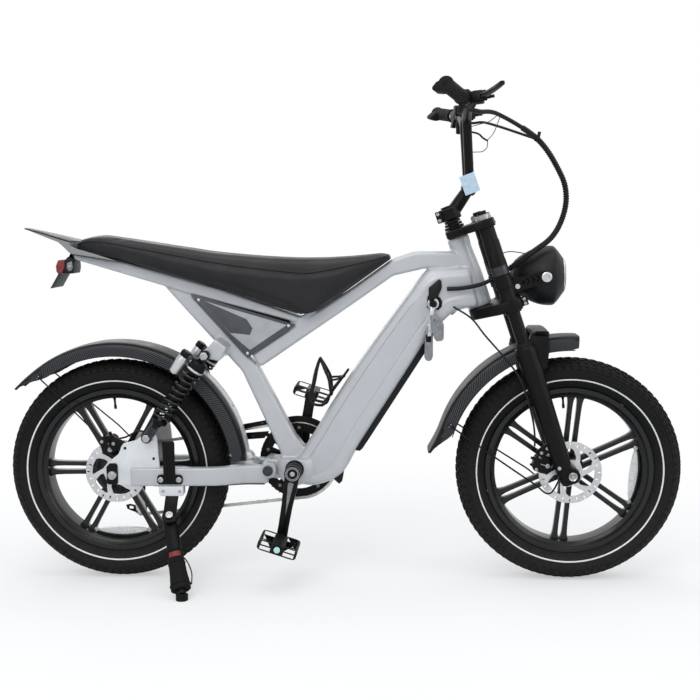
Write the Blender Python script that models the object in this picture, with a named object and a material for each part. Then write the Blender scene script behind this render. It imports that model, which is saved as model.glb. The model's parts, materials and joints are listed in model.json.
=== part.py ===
"""Electric bicycle with fat tyres, a long bench seat, a double-crown fork and twin rear shocks.

Everything is modelled in the upright bike's own axes, in metres: +X forward, +Y to the far
side, +Z up, with the rear axle at x = 0 and the tyres' lowest line at z = 0. One empty, the
bike, then leans it onto its kickstand and puts the middle of its footprint at the origin.
"""

import math

import bmesh
import bpy
from mathutils import Matrix, Vector

# Driving dimensions
TYRE_RADIUS = 0.288
TYRE_HALF_WIDTH = 0.050
LEAN = math.radians(3.0)
CASTER = math.radians(18.0)
CRANK_LENGTH = 0.170
ROTOR_RADIUS = 0.080
GAP = 0.0003

# Sides of the round pieces, by their size
FINE = 20
MEDIUM = 12
SMALL = 8

# Tyre and rim section, as radius from the axle and distance from the wheel's middle plane
RIM_OUTER = 0.2135
RIM_LIP_INNER = 0.200
RIM_BED_INNER = 0.187
RIM_HALF_WIDTH = 0.038
BEAD_HALF_WIDTH = 0.034
TREAD_FLAT = 0.014
SHOULDER_DROP = 0.007
WALL_RADIUS = 0.246
WHEEL_STEPS = 32
SPOKE_PAIRS = 6
SPOKE_WIDTH = 0.013
SPOKE_DEPTH = 0.020
SPOKE_SPREAD = 0.012
ROTOR_Y = -0.056
ROTOR_THICKNESS = 0.002
HUB_BORE = 0.0075
AXLE_RADIUS = 0.0065

# Steering line: the point where the head tube ends below, and the fork's own sizes.
# Along the fork, "up" runs up the steering axis and "ahead" is square to it.
HEAD_BASE = Vector((0.937, 0.0, 0.706))
HEAD_LENGTH = 0.1857
HEAD_RADIUS = 0.025
STEERER_RADIUS = 0.0143
FORK_AHEAD = 0.070
AXLE_AHEAD = 0.0843
FORK_LENGTH = 0.467
LEG_Y = 0.084
LEG_RADIUS = 0.026
STANCHION_RADIUS = 0.016
STANCHION_END = -0.240
LEG_TOP = -0.120
LEG_BOTTOM = -0.488
FORK_TRAVEL = 0.045
CROWN_TOP = -0.0003
CROWN_DEPTH = 0.027
TOP_CROWN_LOW = 0.186
TOP_CROWN_DEPTH = 0.020
CAP_TOP = 0.229

# Handlebar
BAR_RADIUS = 0.0115
GRIP_RADIUS = 0.0165

# Drive
CRANK_AXIS = Vector((0.462, 0.0, 0.294))
CRANK_BACK_ANGLE = math.radians(10.5)
CHAINRING_Y = 0.066
CHAINRING_ROOT = 0.0985
COG_ROOT = 0.036
CHAIN_HEIGHT = 0.008
CHAIN_HALF_WIDTH = 0.004
CHAIN_CLEARANCE = 0.0012
PEDAL_TILT = math.radians(-18.0)

# Rear suspension
PIVOT = Vector((0.394, 0.0, 0.292))
ARM_INNER = 0.064
ARM_OUTER = 0.088
PIVOT_BOLT = 0.008
SHOCK_TOP = Vector((0.246, 0.0, 0.594))
SHOCK_FOOT = Vector((0.094, 0.0, 0.386))
SHOCK_Y = 0.101
SHOCK_EYE_HALF = 0.010
SPRING_WIRE = 0.0027
SPRING_MEAN = 0.0195
SPRING_TURNS = 9
SPRING_TOP = 0.052
SPRING_FOOT = 0.200

# Kickstand
STAND_HINGE = Vector((0.145, -0.100, 0.178))
STAND_FOOT_X = 0.203
STAND_FOOT_Y = -0.248
STAND_FOLDED = Vector((-0.99, -0.12, 0.06))

# Fenders, as radii from each axle
FRONT_FENDER_RADIUS = 0.346
REAR_FENDER_RADIUS = 0.336
FENDER_HALF_WIDTH = 0.057
FENDER_DEPTH = 0.036
FENDER_WALL = 0.0026

# Frame members
BEAM_HALF = 0.026
RAIL_HALF = 0.030
STRUT_HALF = 0.024
HOUSING_HALF = 0.040
PANEL_THICKNESS = 0.004

TAU = 2 * math.pi
WHEEL_PHASE = -math.pi / 2 + math.pi / WHEEL_STEPS
X_AXIS = Vector((1, 0, 0))
Y_AXIS = Vector((0, 1, 0))
Z_AXIS = Vector((0, 0, 1))
FORK_UP = Vector((-math.sin(CASTER), 0, math.cos(CASTER)))
FORK_FORWARD = Vector((math.cos(CASTER), 0, math.sin(CASTER)))
REAR_HUB = Vector((0, 0, TYRE_RADIUS))
FRONT_HUB = HEAD_BASE - FORK_UP * FORK_LENGTH + FORK_FORWARD * AXLE_AHEAD
WORLD_UP = Vector((0, math.sin(LEAN), math.cos(LEAN)))


def clear_scene():
    for obj in list(bpy.data.objects):
        bpy.data.objects.remove(obj, do_unlink=True)


# Paints
def paint(name, colour, roughness, metallic=0.0):
    made = bpy.data.materials.new(name)
    made.use_nodes = True
    shader = made.node_tree.nodes["Principled BSDF"]
    shader.inputs["Base Color"].default_value = (*colour, 1.0)
    shader.inputs["Roughness"].default_value = roughness
    shader.inputs["Metallic"].default_value = metallic
    made.diffuse_color = (*colour, 1.0)
    return made


def make_paints():
    return {
        "silver": paint("silver_paint", (0.48, 0.50, 0.53), 0.35),
        "pale": paint("pale_paint", (0.66, 0.67, 0.69), 0.4),
        "black": paint("black_paint", (0.012, 0.012, 0.013), 0.35),
        "dark": paint("dark_plastic", (0.02, 0.02, 0.021), 0.5),
        "grey": paint("grey_plastic", (0.09, 0.09, 0.1), 0.5),
        "rubber": paint("black_rubber", (0.018, 0.018, 0.018), 0.75),
        "vinyl": paint("seat_vinyl", (0.02, 0.02, 0.021), 0.45),
        "steel": paint("brushed_steel", (0.55, 0.55, 0.56), 0.3, 1.0),
        "alloy": paint("aluminium", (0.7, 0.7, 0.71), 0.3, 1.0),
        "red": paint("red_lens", (0.45, 0.01, 0.01), 0.15),
        "lens": paint("clear_lens", (0.85, 0.87, 0.9), 0.08),
    }


# Bodies: an empty on each joint's axis
BODY_PLACES = {}


def add_body(name, place, parent):
    empty = bpy.data.objects.new(name + "_axis", None)
    bpy.context.scene.collection.objects.link(empty)
    BODY_PLACES[name] = (empty, Vector(place))
    if parent:
        empty.parent = BODY_PLACES[parent][0]
        empty.location = Vector(place) - BODY_PLACES[parent][1]
    return empty


def place_object(name, data, body, material=None, helper=False):
    """Links data made in the bike's axes, with its origin on its body's joint."""
    made = bpy.data.objects.new(name, data)
    bpy.context.scene.collection.objects.link(made)
    empty, place = BODY_PLACES[body]
    data.transform(Matrix.Translation(-place))
    made.parent = empty
    if material:
        data.materials.append(material)
    if helper:
        made.hide_render = True
        made.display_type = "WIRE"
    return made


def node(name, mesh, body, material, add=(), cut=()):
    """One piece: its mesh, joined with the shapes in add and cut by those in cut."""
    made = place_object(name, mesh, body, material)
    steps = [("UNION", shape) for shape in add] + [("DIFFERENCE", shape) for shape in cut]
    for number, (operation, shape) in enumerate(steps):
        other = place_object(f"{name}_{operation.lower()}_{number}", shape, body, helper=True)
        modifier = made.modifiers.new(f"{operation.lower()} {number}", "BOOLEAN")
        modifier.operation = operation
        modifier.solver = "EXACT"
        modifier.object = other
    return made


# Shapes, all in the bike's axes
def snug(radius, steps=MEDIUM):
    """Bore for a shaft of this radius, whichever way the sides of each are turned."""
    return (radius + GAP) / math.cos(math.pi / steps)


def to_mesh(bm, smooth=True):
    bmesh.ops.recalc_face_normals(bm, faces=bm.faces)
    mesh = bpy.data.meshes.new("shape")
    bm.to_mesh(mesh)
    bm.free()
    if smooth:
        mesh.shade_smooth()
        mesh.set_sharp_from_angle(angle=math.radians(35))
    return mesh


def side_frame(x, z):
    """Origin, the two directions of the wheel plane, and the axle's direction."""
    return Vector((x, 0, z)), X_AXIS, Z_AXIS, Y_AXIS


def axis_frame(origin, axis):
    axis = Vector(axis).normalized()
    first = axis.cross(Y_AXIS if abs(axis.y) < 0.9 else X_AXIS).normalized()
    return Vector(origin), first, axis.cross(first), axis


def lathe(frame, profile, steps=MEDIUM, start=0.0, sweep=TAU):
    """Turns a closed profile of (radius, distance along the axis) points."""
    origin, first, second, axis = frame
    full = abs(sweep - TAU) < 1e-9
    bm = bmesh.new()
    poles = [bm.verts.new(origin + axis * t) if r == 0 else None for r, t in profile]
    columns = []
    for i in range(steps if full else steps + 1):
        angle = start + sweep * i / steps
        radial = first * math.cos(angle) + second * math.sin(angle)
        column = [
            pole or bm.verts.new(origin + radial * r + axis * t)
            for pole, (r, t) in zip(poles, profile)
        ]
        columns.append(column)
    pairs = list(zip(columns, columns[1:]))
    if full:
        pairs.append((columns[-1], columns[0]))
    else:
        bm.faces.new(columns[0])
        bm.faces.new(columns[-1])
    count = len(profile)
    for here, there in pairs:
        for j in range(count):
            k = (j + 1) % count
            corners = [here[j], here[k], there[k], there[j]]
            unique = list(dict.fromkeys(corners))
            if len(unique) > 2:
                bm.faces.new(unique)
    return to_mesh(bm)


def rod(start, end, radius, steps=SMALL, bore=0.0):
    start, end = Vector(start), Vector(end)
    length = (end - start).length
    profile = [(bore, 0), (radius, 0), (radius, length), (bore, length)]
    return lathe(axis_frame(start, end - start), profile, steps)


def prism(outline, frame, low, high, bevel=0.0, segments=1):
    """Extrudes a flat outline, given along a frame's first two directions, along its third."""
    origin, first, second, axis = frame
    bm = bmesh.new()
    ring = [bm.verts.new(origin + first * a + second * b + axis * low) for a, b in outline]
    face = bm.faces.new(ring)
    grown = bmesh.ops.extrude_face_region(bm, geom=[face])
    moved = [item for item in grown["geom"] if isinstance(item, bmesh.types.BMVert)]
    bmesh.ops.translate(bm, verts=moved, vec=axis * (high - low))
    bmesh.ops.recalc_face_normals(bm, faces=bm.faces)
    if bevel:
        bmesh.ops.bevel(
            bm,
            geom=list(bm.edges),
            offset=bevel,
            segments=segments,
            profile=0.5,
            affect="EDGES",
            clamp_overlap=True,
        )
    return to_mesh(bm)


def side_prism(outline, low, high, bevel=0.0, segments=1):
    """A plate or beam drawn from the side, as x and z, between two distances from the middle."""
    return prism(outline, side_frame(0, 0), low, high, bevel, segments)


def loft(rings):
    """Joins rings of as many points each, and closes both ends."""
    bm = bmesh.new()
    made = [[bm.verts.new(point) for point in ring] for ring in rings]
    for here, there in zip(made, made[1:]):
        for j in range(len(here)):
            k = (j + 1) % len(here)
            bm.faces.new((here[j], here[k], there[k], there[j]))
    bm.faces.new(made[0])
    bm.faces.new(made[-1])
    return to_mesh(bm)


def bar(start, end, width, height, across):
    """A straight rectangular bar; its width runs along across."""
    start, end = Vector(start), Vector(end)
    along = (end - start).normalized()
    across = (Vector(across) - along * along.dot(across)).normalized()
    up = along.cross(across)
    corners = ((-1, -1), (1, -1), (1, 1), (-1, 1))
    rings = [
        [end_point + across * a * width / 2 + up * b * height / 2 for a, b in corners]
        for end_point in (start, end)
    ]
    return loft(rings)


def tube(path, radius, sides=10):
    """A round tube along points, its rings turned as little as they can be."""
    points = [Vector(point) for point in path]
    radii = radius if isinstance(radius, (list, tuple)) else [radius] * len(points)
    normal = None
    rings = []
    for i, point in enumerate(points):
        ahead = points[min(i + 1, len(points) - 1)] - point
        behind = point - points[max(i - 1, 0)]
        tangent = (ahead.normalized() + behind.normalized()).normalized()
        if normal is None:
            normal = axis_frame(point, tangent)[1]
        normal = (normal - tangent * normal.dot(tangent)).normalized()
        side = tangent.cross(normal)
        half = ahead.angle(behind) / 2 if 0 < i < len(points) - 1 else 0
        stretch = (ahead - behind).normalized() if half > 1e-6 else None
        ring = []
        for k in range(sides):
            angle = TAU * k / sides
            spoke = normal * math.cos(angle) + side * math.sin(angle)
            if stretch:
                spoke += stretch * spoke.dot(stretch) * (1 / math.cos(half) - 1)
            ring.append(point + spoke * radii[i])
        rings.append(ring)
    return loft(rings)


def smooth_path(points, per_span=4):
    """A smooth curve through the points, with the ends' own directions kept."""
    points = [Vector(point) for point in points]
    padded = [points[0] * 2 - points[1], *points, points[-1] * 2 - points[-2]]
    made = []
    for i in range(1, len(padded) - 2):
        a, b, c, d = padded[i - 1], padded[i], padded[i + 1], padded[i + 2]
        for k in range(per_span):
            t = k / per_span
            made.append(
                0.5
                * (
                    2 * b
                    + (c - a) * t
                    + (2 * a - 5 * b + 4 * c - d) * t * t
                    + (3 * b - 3 * c + d - a) * t * t * t
                )
            )
    made.append(points[-1])
    return made


def rounded_path(points, radius, steps=3):
    """The points with each corner between them rounded to this radius."""
    points = [Vector(point) for point in points]
    made = [points[0]]
    for before, corner, after in zip(points, points[1:], points[2:]):
        back = (before - corner).normalized()
        forth = (after - corner).normalized()
        half = back.angle(forth) / 2
        limit = min((before - corner).length, (after - corner).length) * 0.49
        reach = min(radius / math.tan(half), limit)
        centre = corner + (back + forth).normalized() * reach / math.cos(half)
        start, end = corner + back * reach, corner + forth * reach
        first, last = (start - centre).normalized(), (end - centre).normalized()
        turn = (start - centre).length
        made += [centre + first.slerp(last, k / steps) * turn for k in range(steps + 1)]
    made.append(points[-1])
    return made


def join(meshes):
    """One mesh from shapes that don't touch, for a Boolean to use together."""
    bm = bmesh.new()
    for mesh in meshes:
        bm.from_mesh(mesh)
    return to_mesh(bm)


def mirrored(point):
    return Vector((point[0], -point[1], point[2]))


def fork_point(up, ahead, y=0.0):
    place = HEAD_BASE + FORK_UP * up + FORK_FORWARD * ahead
    return Vector((place.x, y, place.z))


def fork_frame(ahead, y):
    """A frame along the steering axis: first direction ahead, second across."""
    return fork_point(0, ahead, y), FORK_FORWARD, Y_AXIS, FORK_UP


def turned(angle, radius, centre):
    return centre + X_AXIS * math.cos(angle) * radius + Z_AXIS * math.sin(angle) * radius


# Wheels
def tyre_profile():
    """The tyre's section: half of it from bead to tread, then the same mirrored."""
    half = [
        (RIM_OUTER + GAP, BEAD_HALF_WIDTH),
        (WALL_RADIUS, TYRE_HALF_WIDTH),
        (TYRE_RADIUS - 0.021, TYRE_HALF_WIDTH * 0.92),
        (TYRE_RADIUS - SHOULDER_DROP, TYRE_HALF_WIDTH * 0.68),
        (TYRE_RADIUS, TREAD_FLAT),
    ]
    return half + [(r, -y) for r, y in reversed(half)]


def floor_height():
    """Height of the floor under the leaned bike, along the world's up, from the origin."""
    flat = math.cos(math.pi / WHEEL_STEPS)
    lowest = [
        math.sin(LEAN) * y + math.cos(LEAN) * (TYRE_RADIUS - r * flat) for r, y in tyre_profile()
    ]
    return min(lowest)


def make_tyre(name, hub, body, paints):
    """The ring is turned half a step so that a flat of the tread lies on the floor."""
    shape = lathe(side_frame(hub.x, hub.z), tyre_profile(), WHEEL_STEPS, WHEEL_PHASE)
    node(name, shape, body, paints["rubber"])


def rim_profile():
    return [
        (RIM_OUTER, RIM_HALF_WIDTH),
        (RIM_OUTER, -RIM_HALF_WIDTH),
        (RIM_LIP_INNER, -RIM_HALF_WIDTH),
        (RIM_BED_INNER, -RIM_HALF_WIDTH + 0.010),
        (RIM_BED_INNER, RIM_HALF_WIDTH - 0.010),
        (RIM_LIP_INNER, RIM_HALF_WIDTH),
    ]


def spoke_bars(hub, inner, phase):
    bars = []
    for pair in range(SPOKE_PAIRS):
        angle = phase + TAU * pair / SPOKE_PAIRS
        along = turned(angle, 1, Vector())
        beside = turned(angle + math.pi / 2, 1, Vector())
        for side in (-1, 1):
            foot = hub + along * inner + beside * side * SPOKE_SPREAD * 0.8
            tip = hub + along * (RIM_BED_INNER + 0.004) + beside * side * SPOKE_SPREAD
            bars.append(bar(foot, tip, SPOKE_WIDTH, SPOKE_DEPTH, beside))
    return join(bars)


def make_rim(name, hub, body, paints, hub_profile, spoke_start, phase):
    frame = side_frame(hub.x, hub.z)
    hub_shape = lathe(frame, hub_profile, FINE)
    node(
        name,
        lathe(frame, rim_profile(), WHEEL_STEPS, WHEEL_PHASE),
        body,
        paints["black"],
        add=[spoke_bars(hub, spoke_start, phase), hub_shape],
    )


def make_rotor(name, hub, body, paints, bore):
    """A brake disc: outer ring, six arms and a hub flange."""
    low = ROTOR_Y - ROTOR_THICKNESS / 2
    high = ROTOR_Y + ROTOR_THICKNESS / 2
    ring_inner = ROTOR_RADIUS - 0.017
    flange = bore + 0.012
    frame = side_frame(hub.x, hub.z)
    ring = lathe(
        frame,
        [(ring_inner, low), (ROTOR_RADIUS, low), (ROTOR_RADIUS, high), (ring_inner, high)],
        FINE,
    )
    middle = lathe(frame, [(bore, low), (flange, low), (flange, high), (bore, high)], MEDIUM)
    arms = []
    for i in range(6):
        angle = TAU * i / 6
        foot = turned(angle, flange - 0.003, hub) + Y_AXIS * ROTOR_Y
        tip = turned(angle + 0.35, ring_inner + 0.003, hub) + Y_AXIS * ROTOR_Y
        arms.append(bar(foot, tip, 0.009, ROTOR_THICKNESS, (tip - foot).cross(Y_AXIS)))
    node(name, ring, body, paints["steel"], add=[join(arms), middle])


def make_front_wheel(paints):
    hub_profile = [
        (HUB_BORE, -0.0618),
        (0.017, -0.0618),
        (0.017, -0.040),
        (0.027, -0.034),
        (0.033, -0.012),
        (0.033, 0.012),
        (0.027, 0.034),
        (0.017, 0.040),
        (0.017, 0.0618),
        (HUB_BORE, 0.0618),
    ]
    make_tyre("front_tyre", FRONT_HUB, "front_wheel", paints)
    phase = math.radians(24)
    make_rim("front_rim", FRONT_HUB, "front_wheel", paints, hub_profile, 0.024, phase)
    make_rotor("front_rotor", FRONT_HUB, "front_wheel", paints, snug(0.017))


REAR_SHELL_RADIUS = 0.066
STATOR_RADIUS = 0.056
STATOR_HALF = 0.024


def make_rear_wheel(paints):
    """The rear hub is a drum round the motor's stator, open only at its bearings' bores."""
    cavity = STATOR_RADIUS + 0.0015
    cavity_half = STATOR_HALF + 0.0015
    hub_profile = [
        (HUB_BORE, -0.070),
        (0.017, -0.070),
        (0.017, -0.050),
        (REAR_SHELL_RADIUS - 0.006, -0.036),
        (REAR_SHELL_RADIUS, -0.030),
        (REAR_SHELL_RADIUS, 0.030),
        (REAR_SHELL_RADIUS - 0.006, 0.036),
        (0.017, 0.044),
        (0.017, 0.048),
        (HUB_BORE, 0.048),
        (HUB_BORE, cavity_half),
        (cavity, cavity_half),
        (cavity, -cavity_half),
        (HUB_BORE, -cavity_half),
    ]
    make_tyre("rear_tyre", REAR_HUB, "rear_wheel", paints)
    make_rim("rear_rim", REAR_HUB, "rear_wheel", paints, hub_profile, 0.063, 0.0)
    make_rotor("rear_rotor", REAR_HUB, "rear_wheel", paints, snug(0.017))
    cogs = [(HUB_BORE, 0.0485), (0.022, 0.0485), (0.022, 0.052), (0.030, 0.052)]
    cogs += [(0.030, 0.058), (COG_ROOT, 0.060), (COG_ROOT, 0.072), (HUB_BORE, 0.072)]
    node("cassette", lathe(side_frame(0, TYRE_RADIUS), cogs, MEDIUM), "freewheel", paints["steel"])


# Fork, crowns and lowers
def make_fork_upper(paints):
    """Steerer, lower crown and both stanchions, with the lamp's arms clamped to them."""
    steerer = lathe(
        fork_frame(0, 0),
        [(0, CROWN_TOP - 0.004), (STEERER_RADIUS, CROWN_TOP - 0.004), (STEERER_RADIUS, 0.262), (0, 0.262)],
        MEDIUM,
    )
    outline = [
        (-0.030, -0.030),
        (-0.030, 0.030),
        (0.030, 0.108),
        (0.085, 0.108),
        (0.098, 0.092),
        (0.088, 0.0),
        (0.098, -0.092),
        (0.085, -0.108),
        (0.030, -0.108),
    ]
    crown = prism(outline, fork_frame(0, 0), CROWN_TOP - CROWN_DEPTH, CROWN_TOP, 0.003)
    legs = [
        lathe(
            fork_frame(FORK_AHEAD, side * LEG_Y),
            [
                (0, STANCHION_END),
                (STANCHION_RADIUS, STANCHION_END),
                (STANCHION_RADIUS, CAP_TOP - 0.010),
                (STANCHION_RADIUS - 0.003, CAP_TOP),
                (0, CAP_TOP),
            ],
            MEDIUM,
        )
        for side in (-1, 1)
    ]
    arms, holes = lamp_arms()
    node(
        "fork_crown",
        crown,
        "steering",
        paints["black"],
        add=[steerer, join(legs), *arms],
        cut=[join(holes)],
    )


def make_top_crown(paints):
    """The upper crown clamps round both stanchions and the steerer."""
    outline = [
        (-0.026, -0.028),
        (-0.026, 0.028),
        (0.035, 0.108),
        (0.083, 0.108),
        (0.094, 0.092),
        (0.060, 0.0),
        (0.094, -0.092),
        (0.083, -0.108),
        (0.035, -0.108),
    ]
    high = TOP_CROWN_LOW + TOP_CROWN_DEPTH
    plate = prism(outline, fork_frame(0, 0), TOP_CROWN_LOW, high, 0.003)
    holes = [
        lathe(
            fork_frame(ahead, y),
            [(0, TOP_CROWN_LOW - 0.01), (r, TOP_CROWN_LOW - 0.01), (r, high + 0.01), (0, high + 0.01)],
            MEDIUM,
        )
        for ahead, y, r in (
            (0, 0, snug(STEERER_RADIUS)),
            (FORK_AHEAD, LEG_Y, snug(STANCHION_RADIUS)),
            (FORK_AHEAD, -LEG_Y, snug(STANCHION_RADIUS)),
        )
    ]
    node("top_crown", plate, "steering", paints["black"], cut=[join(holes)])


def sleeve_outline(grow=0.0):
    """The fork leg's outside, as radius and height along the steering axis."""
    return [
        (0, LEG_BOTTOM - grow),
        (LEG_RADIUS * 0.6 + grow, LEG_BOTTOM - grow),
        (LEG_RADIUS * 0.8 + grow, LEG_BOTTOM + 0.02),
        (LEG_RADIUS * 0.92 + grow, LEG_BOTTOM + 0.14),
        (LEG_RADIUS + grow, LEG_TOP - 0.04),
        (LEG_RADIUS + grow, LEG_TOP - 0.004),
        (LEG_RADIUS - 0.004 + grow, LEG_TOP + grow),
    ]


def sleeve_cutters():
    return [
        lathe(fork_frame(FORK_AHEAD, side * LEG_Y), sleeve_outline(GAP) + [(0, LEG_TOP + GAP)], MEDIUM)
        for side in (-1, 1)
    ]


def make_fork_lowers(paints):
    """One casting: two sleeves, the arch over the tyre and the axle lugs."""
    bore = snug(STANCHION_RADIUS)
    bore_end = STANCHION_END - FORK_TRAVEL - 0.006
    sleeves = [
        lathe(
            fork_frame(FORK_AHEAD, side * LEG_Y),
            sleeve_outline() + [(bore, LEG_TOP), (bore, bore_end), (0, bore_end)],
            MEDIUM,
        )
        for side in (-1, 1)
    ]
    lug_hole = snug(AXLE_RADIUS)
    lugs = [
        lathe(
            side_frame(FRONT_HUB.x, FRONT_HUB.z),
            [(lug_hole, low), (0.019, low), (0.019, high), (lug_hole, high)],
            MEDIUM,
        )
        for low, high in ((-0.1053, -0.0625), (0.0625, 0.1053))
    ]
    arch_top = 0.650
    arch_low = TYRE_RADIUS + FRONT_FENDER_RADIUS + 0.003
    sides = [(1.046, 0.585), (1.060, 0.560), (1.100, 0.555), (1.102, arch_top), (1.062, arch_top)]
    bridge = [(1.062, arch_low), (1.102, arch_low), (1.102, arch_top), (1.062, arch_top)]
    arch = side_prism(bridge, -LEG_Y, LEG_Y)
    arch_inner = FENDER_HALF_WIDTH + 0.003
    legs = [side_prism(sides, arch_inner, LEG_Y), side_prism(sides, -LEG_Y, -arch_inner)]
    hole = [
        rod((FRONT_HUB.x, -0.12, FRONT_HUB.z), (FRONT_HUB.x, 0.12, FRONT_HUB.z), lug_hole, MEDIUM)
    ]
    bores = [
        lathe(
            fork_frame(FORK_AHEAD, side * LEG_Y),
            [(0, bore_end), (bore, bore_end), (bore, 0), (0, 0)],
            MEDIUM,
        )
        for side in (-1, 1)
    ]
    node(
        "fork_lowers",
        arch,
        "fork_lower",
        paints["black"],
        add=[join(legs), join(sleeves), join(lugs)],
        cut=[join(hole), join(bores)],
    )


def make_front_axle(paints):
    """A through axle with a head at each end; the hub turns on it."""
    profile = [
        (0, -0.1110),
        (0.011, -0.1110),
        (0.011, -0.1056),
        (AXLE_RADIUS, -0.1056),
        (AXLE_RADIUS, 0.1056),
        (0.011, 0.1056),
        (0.011, 0.1110),
        (0, 0.1110),
    ]
    frame = side_frame(FRONT_HUB.x, FRONT_HUB.z)
    node("front_axle", lathe(frame, profile, MEDIUM), "fork_lower", paints["steel"])


def make_caliper(name, hub, body, paints, angle, reach=0.064):
    """Two halves over the disc's edge, joined outside it."""
    frame_origin = turned(angle, reach, hub)
    outward = turned(angle, 1, Vector())
    beside = turned(angle + math.pi / 2, 1, Vector())
    frame = (frame_origin, outward, beside, Y_AXIS)
    low, high = ROTOR_Y - 0.0135, ROTOR_Y + 0.014
    body_shape = prism(
        [(-0.012, -0.022), (0.034, -0.022), (0.034, 0.022), (-0.012, 0.022)], frame, low, high, 0.003
    )
    slot_end = ROTOR_RADIUS - reach + 0.003
    slot = prism(
        [(-0.05, -0.05), (slot_end, -0.05), (slot_end, 0.05), (-0.05, 0.05)],
        frame,
        ROTOR_Y - 0.0025,
        ROTOR_Y + 0.0025,
    )
    return body_shape, slot, frame


def make_front_caliper(paints):
    """Bolted to the back of the near sleeve by a bracket that reaches it."""
    shape, slot, frame = make_caliper(
        "front_caliper", FRONT_HUB, "fork_lower", paints, math.radians(162)
    )
    start = turned(math.radians(150), 0.094, FRONT_HUB) + Y_AXIS * (ROTOR_Y - 0.011)
    leg_centre = fork_point(-0.375, FORK_AHEAD, -LEG_Y)
    towards = (leg_centre - start).normalized()
    reach = (leg_centre - start).length - LEG_RADIUS * 0.6
    bracket = bar(start, start + towards * reach, 0.008, 0.024, Y_AXIS)
    node("front_caliper", shape, "fork_lower", paints["dark"], add=[bracket], cut=[slot, sleeve_cutters()[0]])


# Fenders
def fender_shell(hub, radius, start, end, steps):
    """A bent channel: crown, rounded shoulders and two side walls, all one wall thick."""
    outer = [
        (radius - FENDER_DEPTH, -FENDER_HALF_WIDTH),
        (radius - 0.014, -FENDER_HALF_WIDTH),
        (radius - 0.004, -FENDER_HALF_WIDTH + 0.012),
        (radius, -FENDER_HALF_WIDTH * 0.45),
        (radius, FENDER_HALF_WIDTH * 0.45),
        (radius - 0.004, FENDER_HALF_WIDTH - 0.012),
        (radius - 0.014, FENDER_HALF_WIDTH),
        (radius - FENDER_DEPTH, FENDER_HALF_WIDTH),
    ]
    inner = [
        (r - (FENDER_WALL if r > radius - FENDER_DEPTH else 0), y * (1 - FENDER_WALL / FENDER_HALF_WIDTH))
        for r, y in reversed(outer)
    ]
    frame = side_frame(hub.x, hub.z)
    return lathe(frame, outer + inner, steps, start, end - start)


def make_front_fender(paints):
    start, end = math.radians(86.6), math.radians(172.3)
    shell = fender_shell(FRONT_HUB, FRONT_FENDER_RADIUS, start, end, SMALL)
    wall = FENDER_HALF_WIDTH - FENDER_WALL / 2
    rods = []
    for side in (-1, 1):
        tip = turned(math.radians(164), FRONT_FENDER_RADIUS - 0.020, FRONT_HUB)
        tip += Y_AXIS * side * wall
        knee = turned(math.radians(166), 0.200, FRONT_HUB) + Y_AXIS * side * 0.075
        foot = fork_point(-0.440, FORK_AHEAD, side * LEG_Y)
        rods.append(tube([tip, knee, foot], 0.003, 6))
    stay_top = side_prism(
        [(1.066, 0.6150), (1.098, 0.6230), (1.098, 0.6367), (1.066, 0.6367)], -0.020, 0.020
    )
    node(
        "front_fender",
        shell,
        "fork_lower",
        paints["black"],
        add=[join(rods), stay_top],
        cut=[join(sleeve_cutters())],
    )


def make_rear_fender(paints):
    """The shell, its rear stay rod and the arched strip that holds its front to the arm."""
    start, end = math.radians(4.8), math.radians(141.2)
    shell = fender_shell(REAR_HUB, REAR_FENDER_RADIUS, start, end, 13)
    wall = FENDER_HALF_WIDTH - FENDER_WALL / 2
    rods = []
    for side in (-1, 1):
        tip = turned(math.radians(128), REAR_FENDER_RADIUS - 0.022, REAR_HUB)
        tip += Y_AXIS * side * wall
        knee = turned(math.radians(126), 0.150, REAR_HUB) + Y_AXIS * side * 0.089
        foot = REAR_HUB + Vector((0.008, side * 0.0895, 0.060))
        rods.append(tube([tip, knee, foot], 0.0025, 6))
    strip_low, strip_high = REAR_FENDER_RADIUS - 0.001, REAR_FENDER_RADIUS + 0.004
    strip = lathe(
        side_frame(REAR_HUB.x, REAR_HUB.z),
        [(strip_low, -0.02), (strip_high, -0.02), (strip_high, 0.02), (strip_low, 0.02)],
        10,
        math.radians(4.8),
        math.radians(48),
    )
    tab = side_prism(
        [(0.318, 0.3125), (0.342, 0.3125), (0.342, 0.330), (0.326, 0.330)], -0.020, 0.020
    )
    node(
        "rear_fender",
        shell,
        "swingarm",
        paints["black"],
        add=[strip, tab, join(rods)],
    )


# Frame members
RAIL_TOP = [(-0.099, 0.849), (0.030, 0.828), (0.269, 0.760), (0.500, 0.690)]


def line_height(points, x):
    for (x0, z0), (x1, z1) in zip(points, points[1:]):
        if x <= x1:
            return z0 + (z1 - z0) * (x - x0) / (x1 - x0)
    return points[-1][1]


def make_head_tube(paints):
    """The steerer turns in its bore, on the bearing cups at both ends."""
    bore = snug(STEERER_RADIUS)
    shape = lathe(
        fork_frame(0, 0),
        [
            (bore, 0.000),
            (HEAD_RADIUS, 0.000),
            (HEAD_RADIUS + 0.003, 0.004),
            (HEAD_RADIUS + 0.003, 0.016),
            (HEAD_RADIUS, 0.022),
            (HEAD_RADIUS, HEAD_LENGTH - 0.022),
            (HEAD_RADIUS + 0.003, HEAD_LENGTH - 0.016),
            (HEAD_RADIUS + 0.003, HEAD_LENGTH - 0.004),
            (HEAD_RADIUS - 0.002, HEAD_LENGTH),
            (bore, HEAD_LENGTH),
        ],
        FINE,
    )
    node("head_tube", shape, "frame", paints["silver"])


def head_cut():
    """The head tube's place, cut out of each member that meets it, with the usual gap."""
    radius = snug(HEAD_RADIUS + 0.003, FINE)
    return lathe(
        fork_frame(0, 0), [(0, -0.03), (radius, -0.03), (radius, 0.21), (0, 0.21)], FINE
    )


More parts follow.
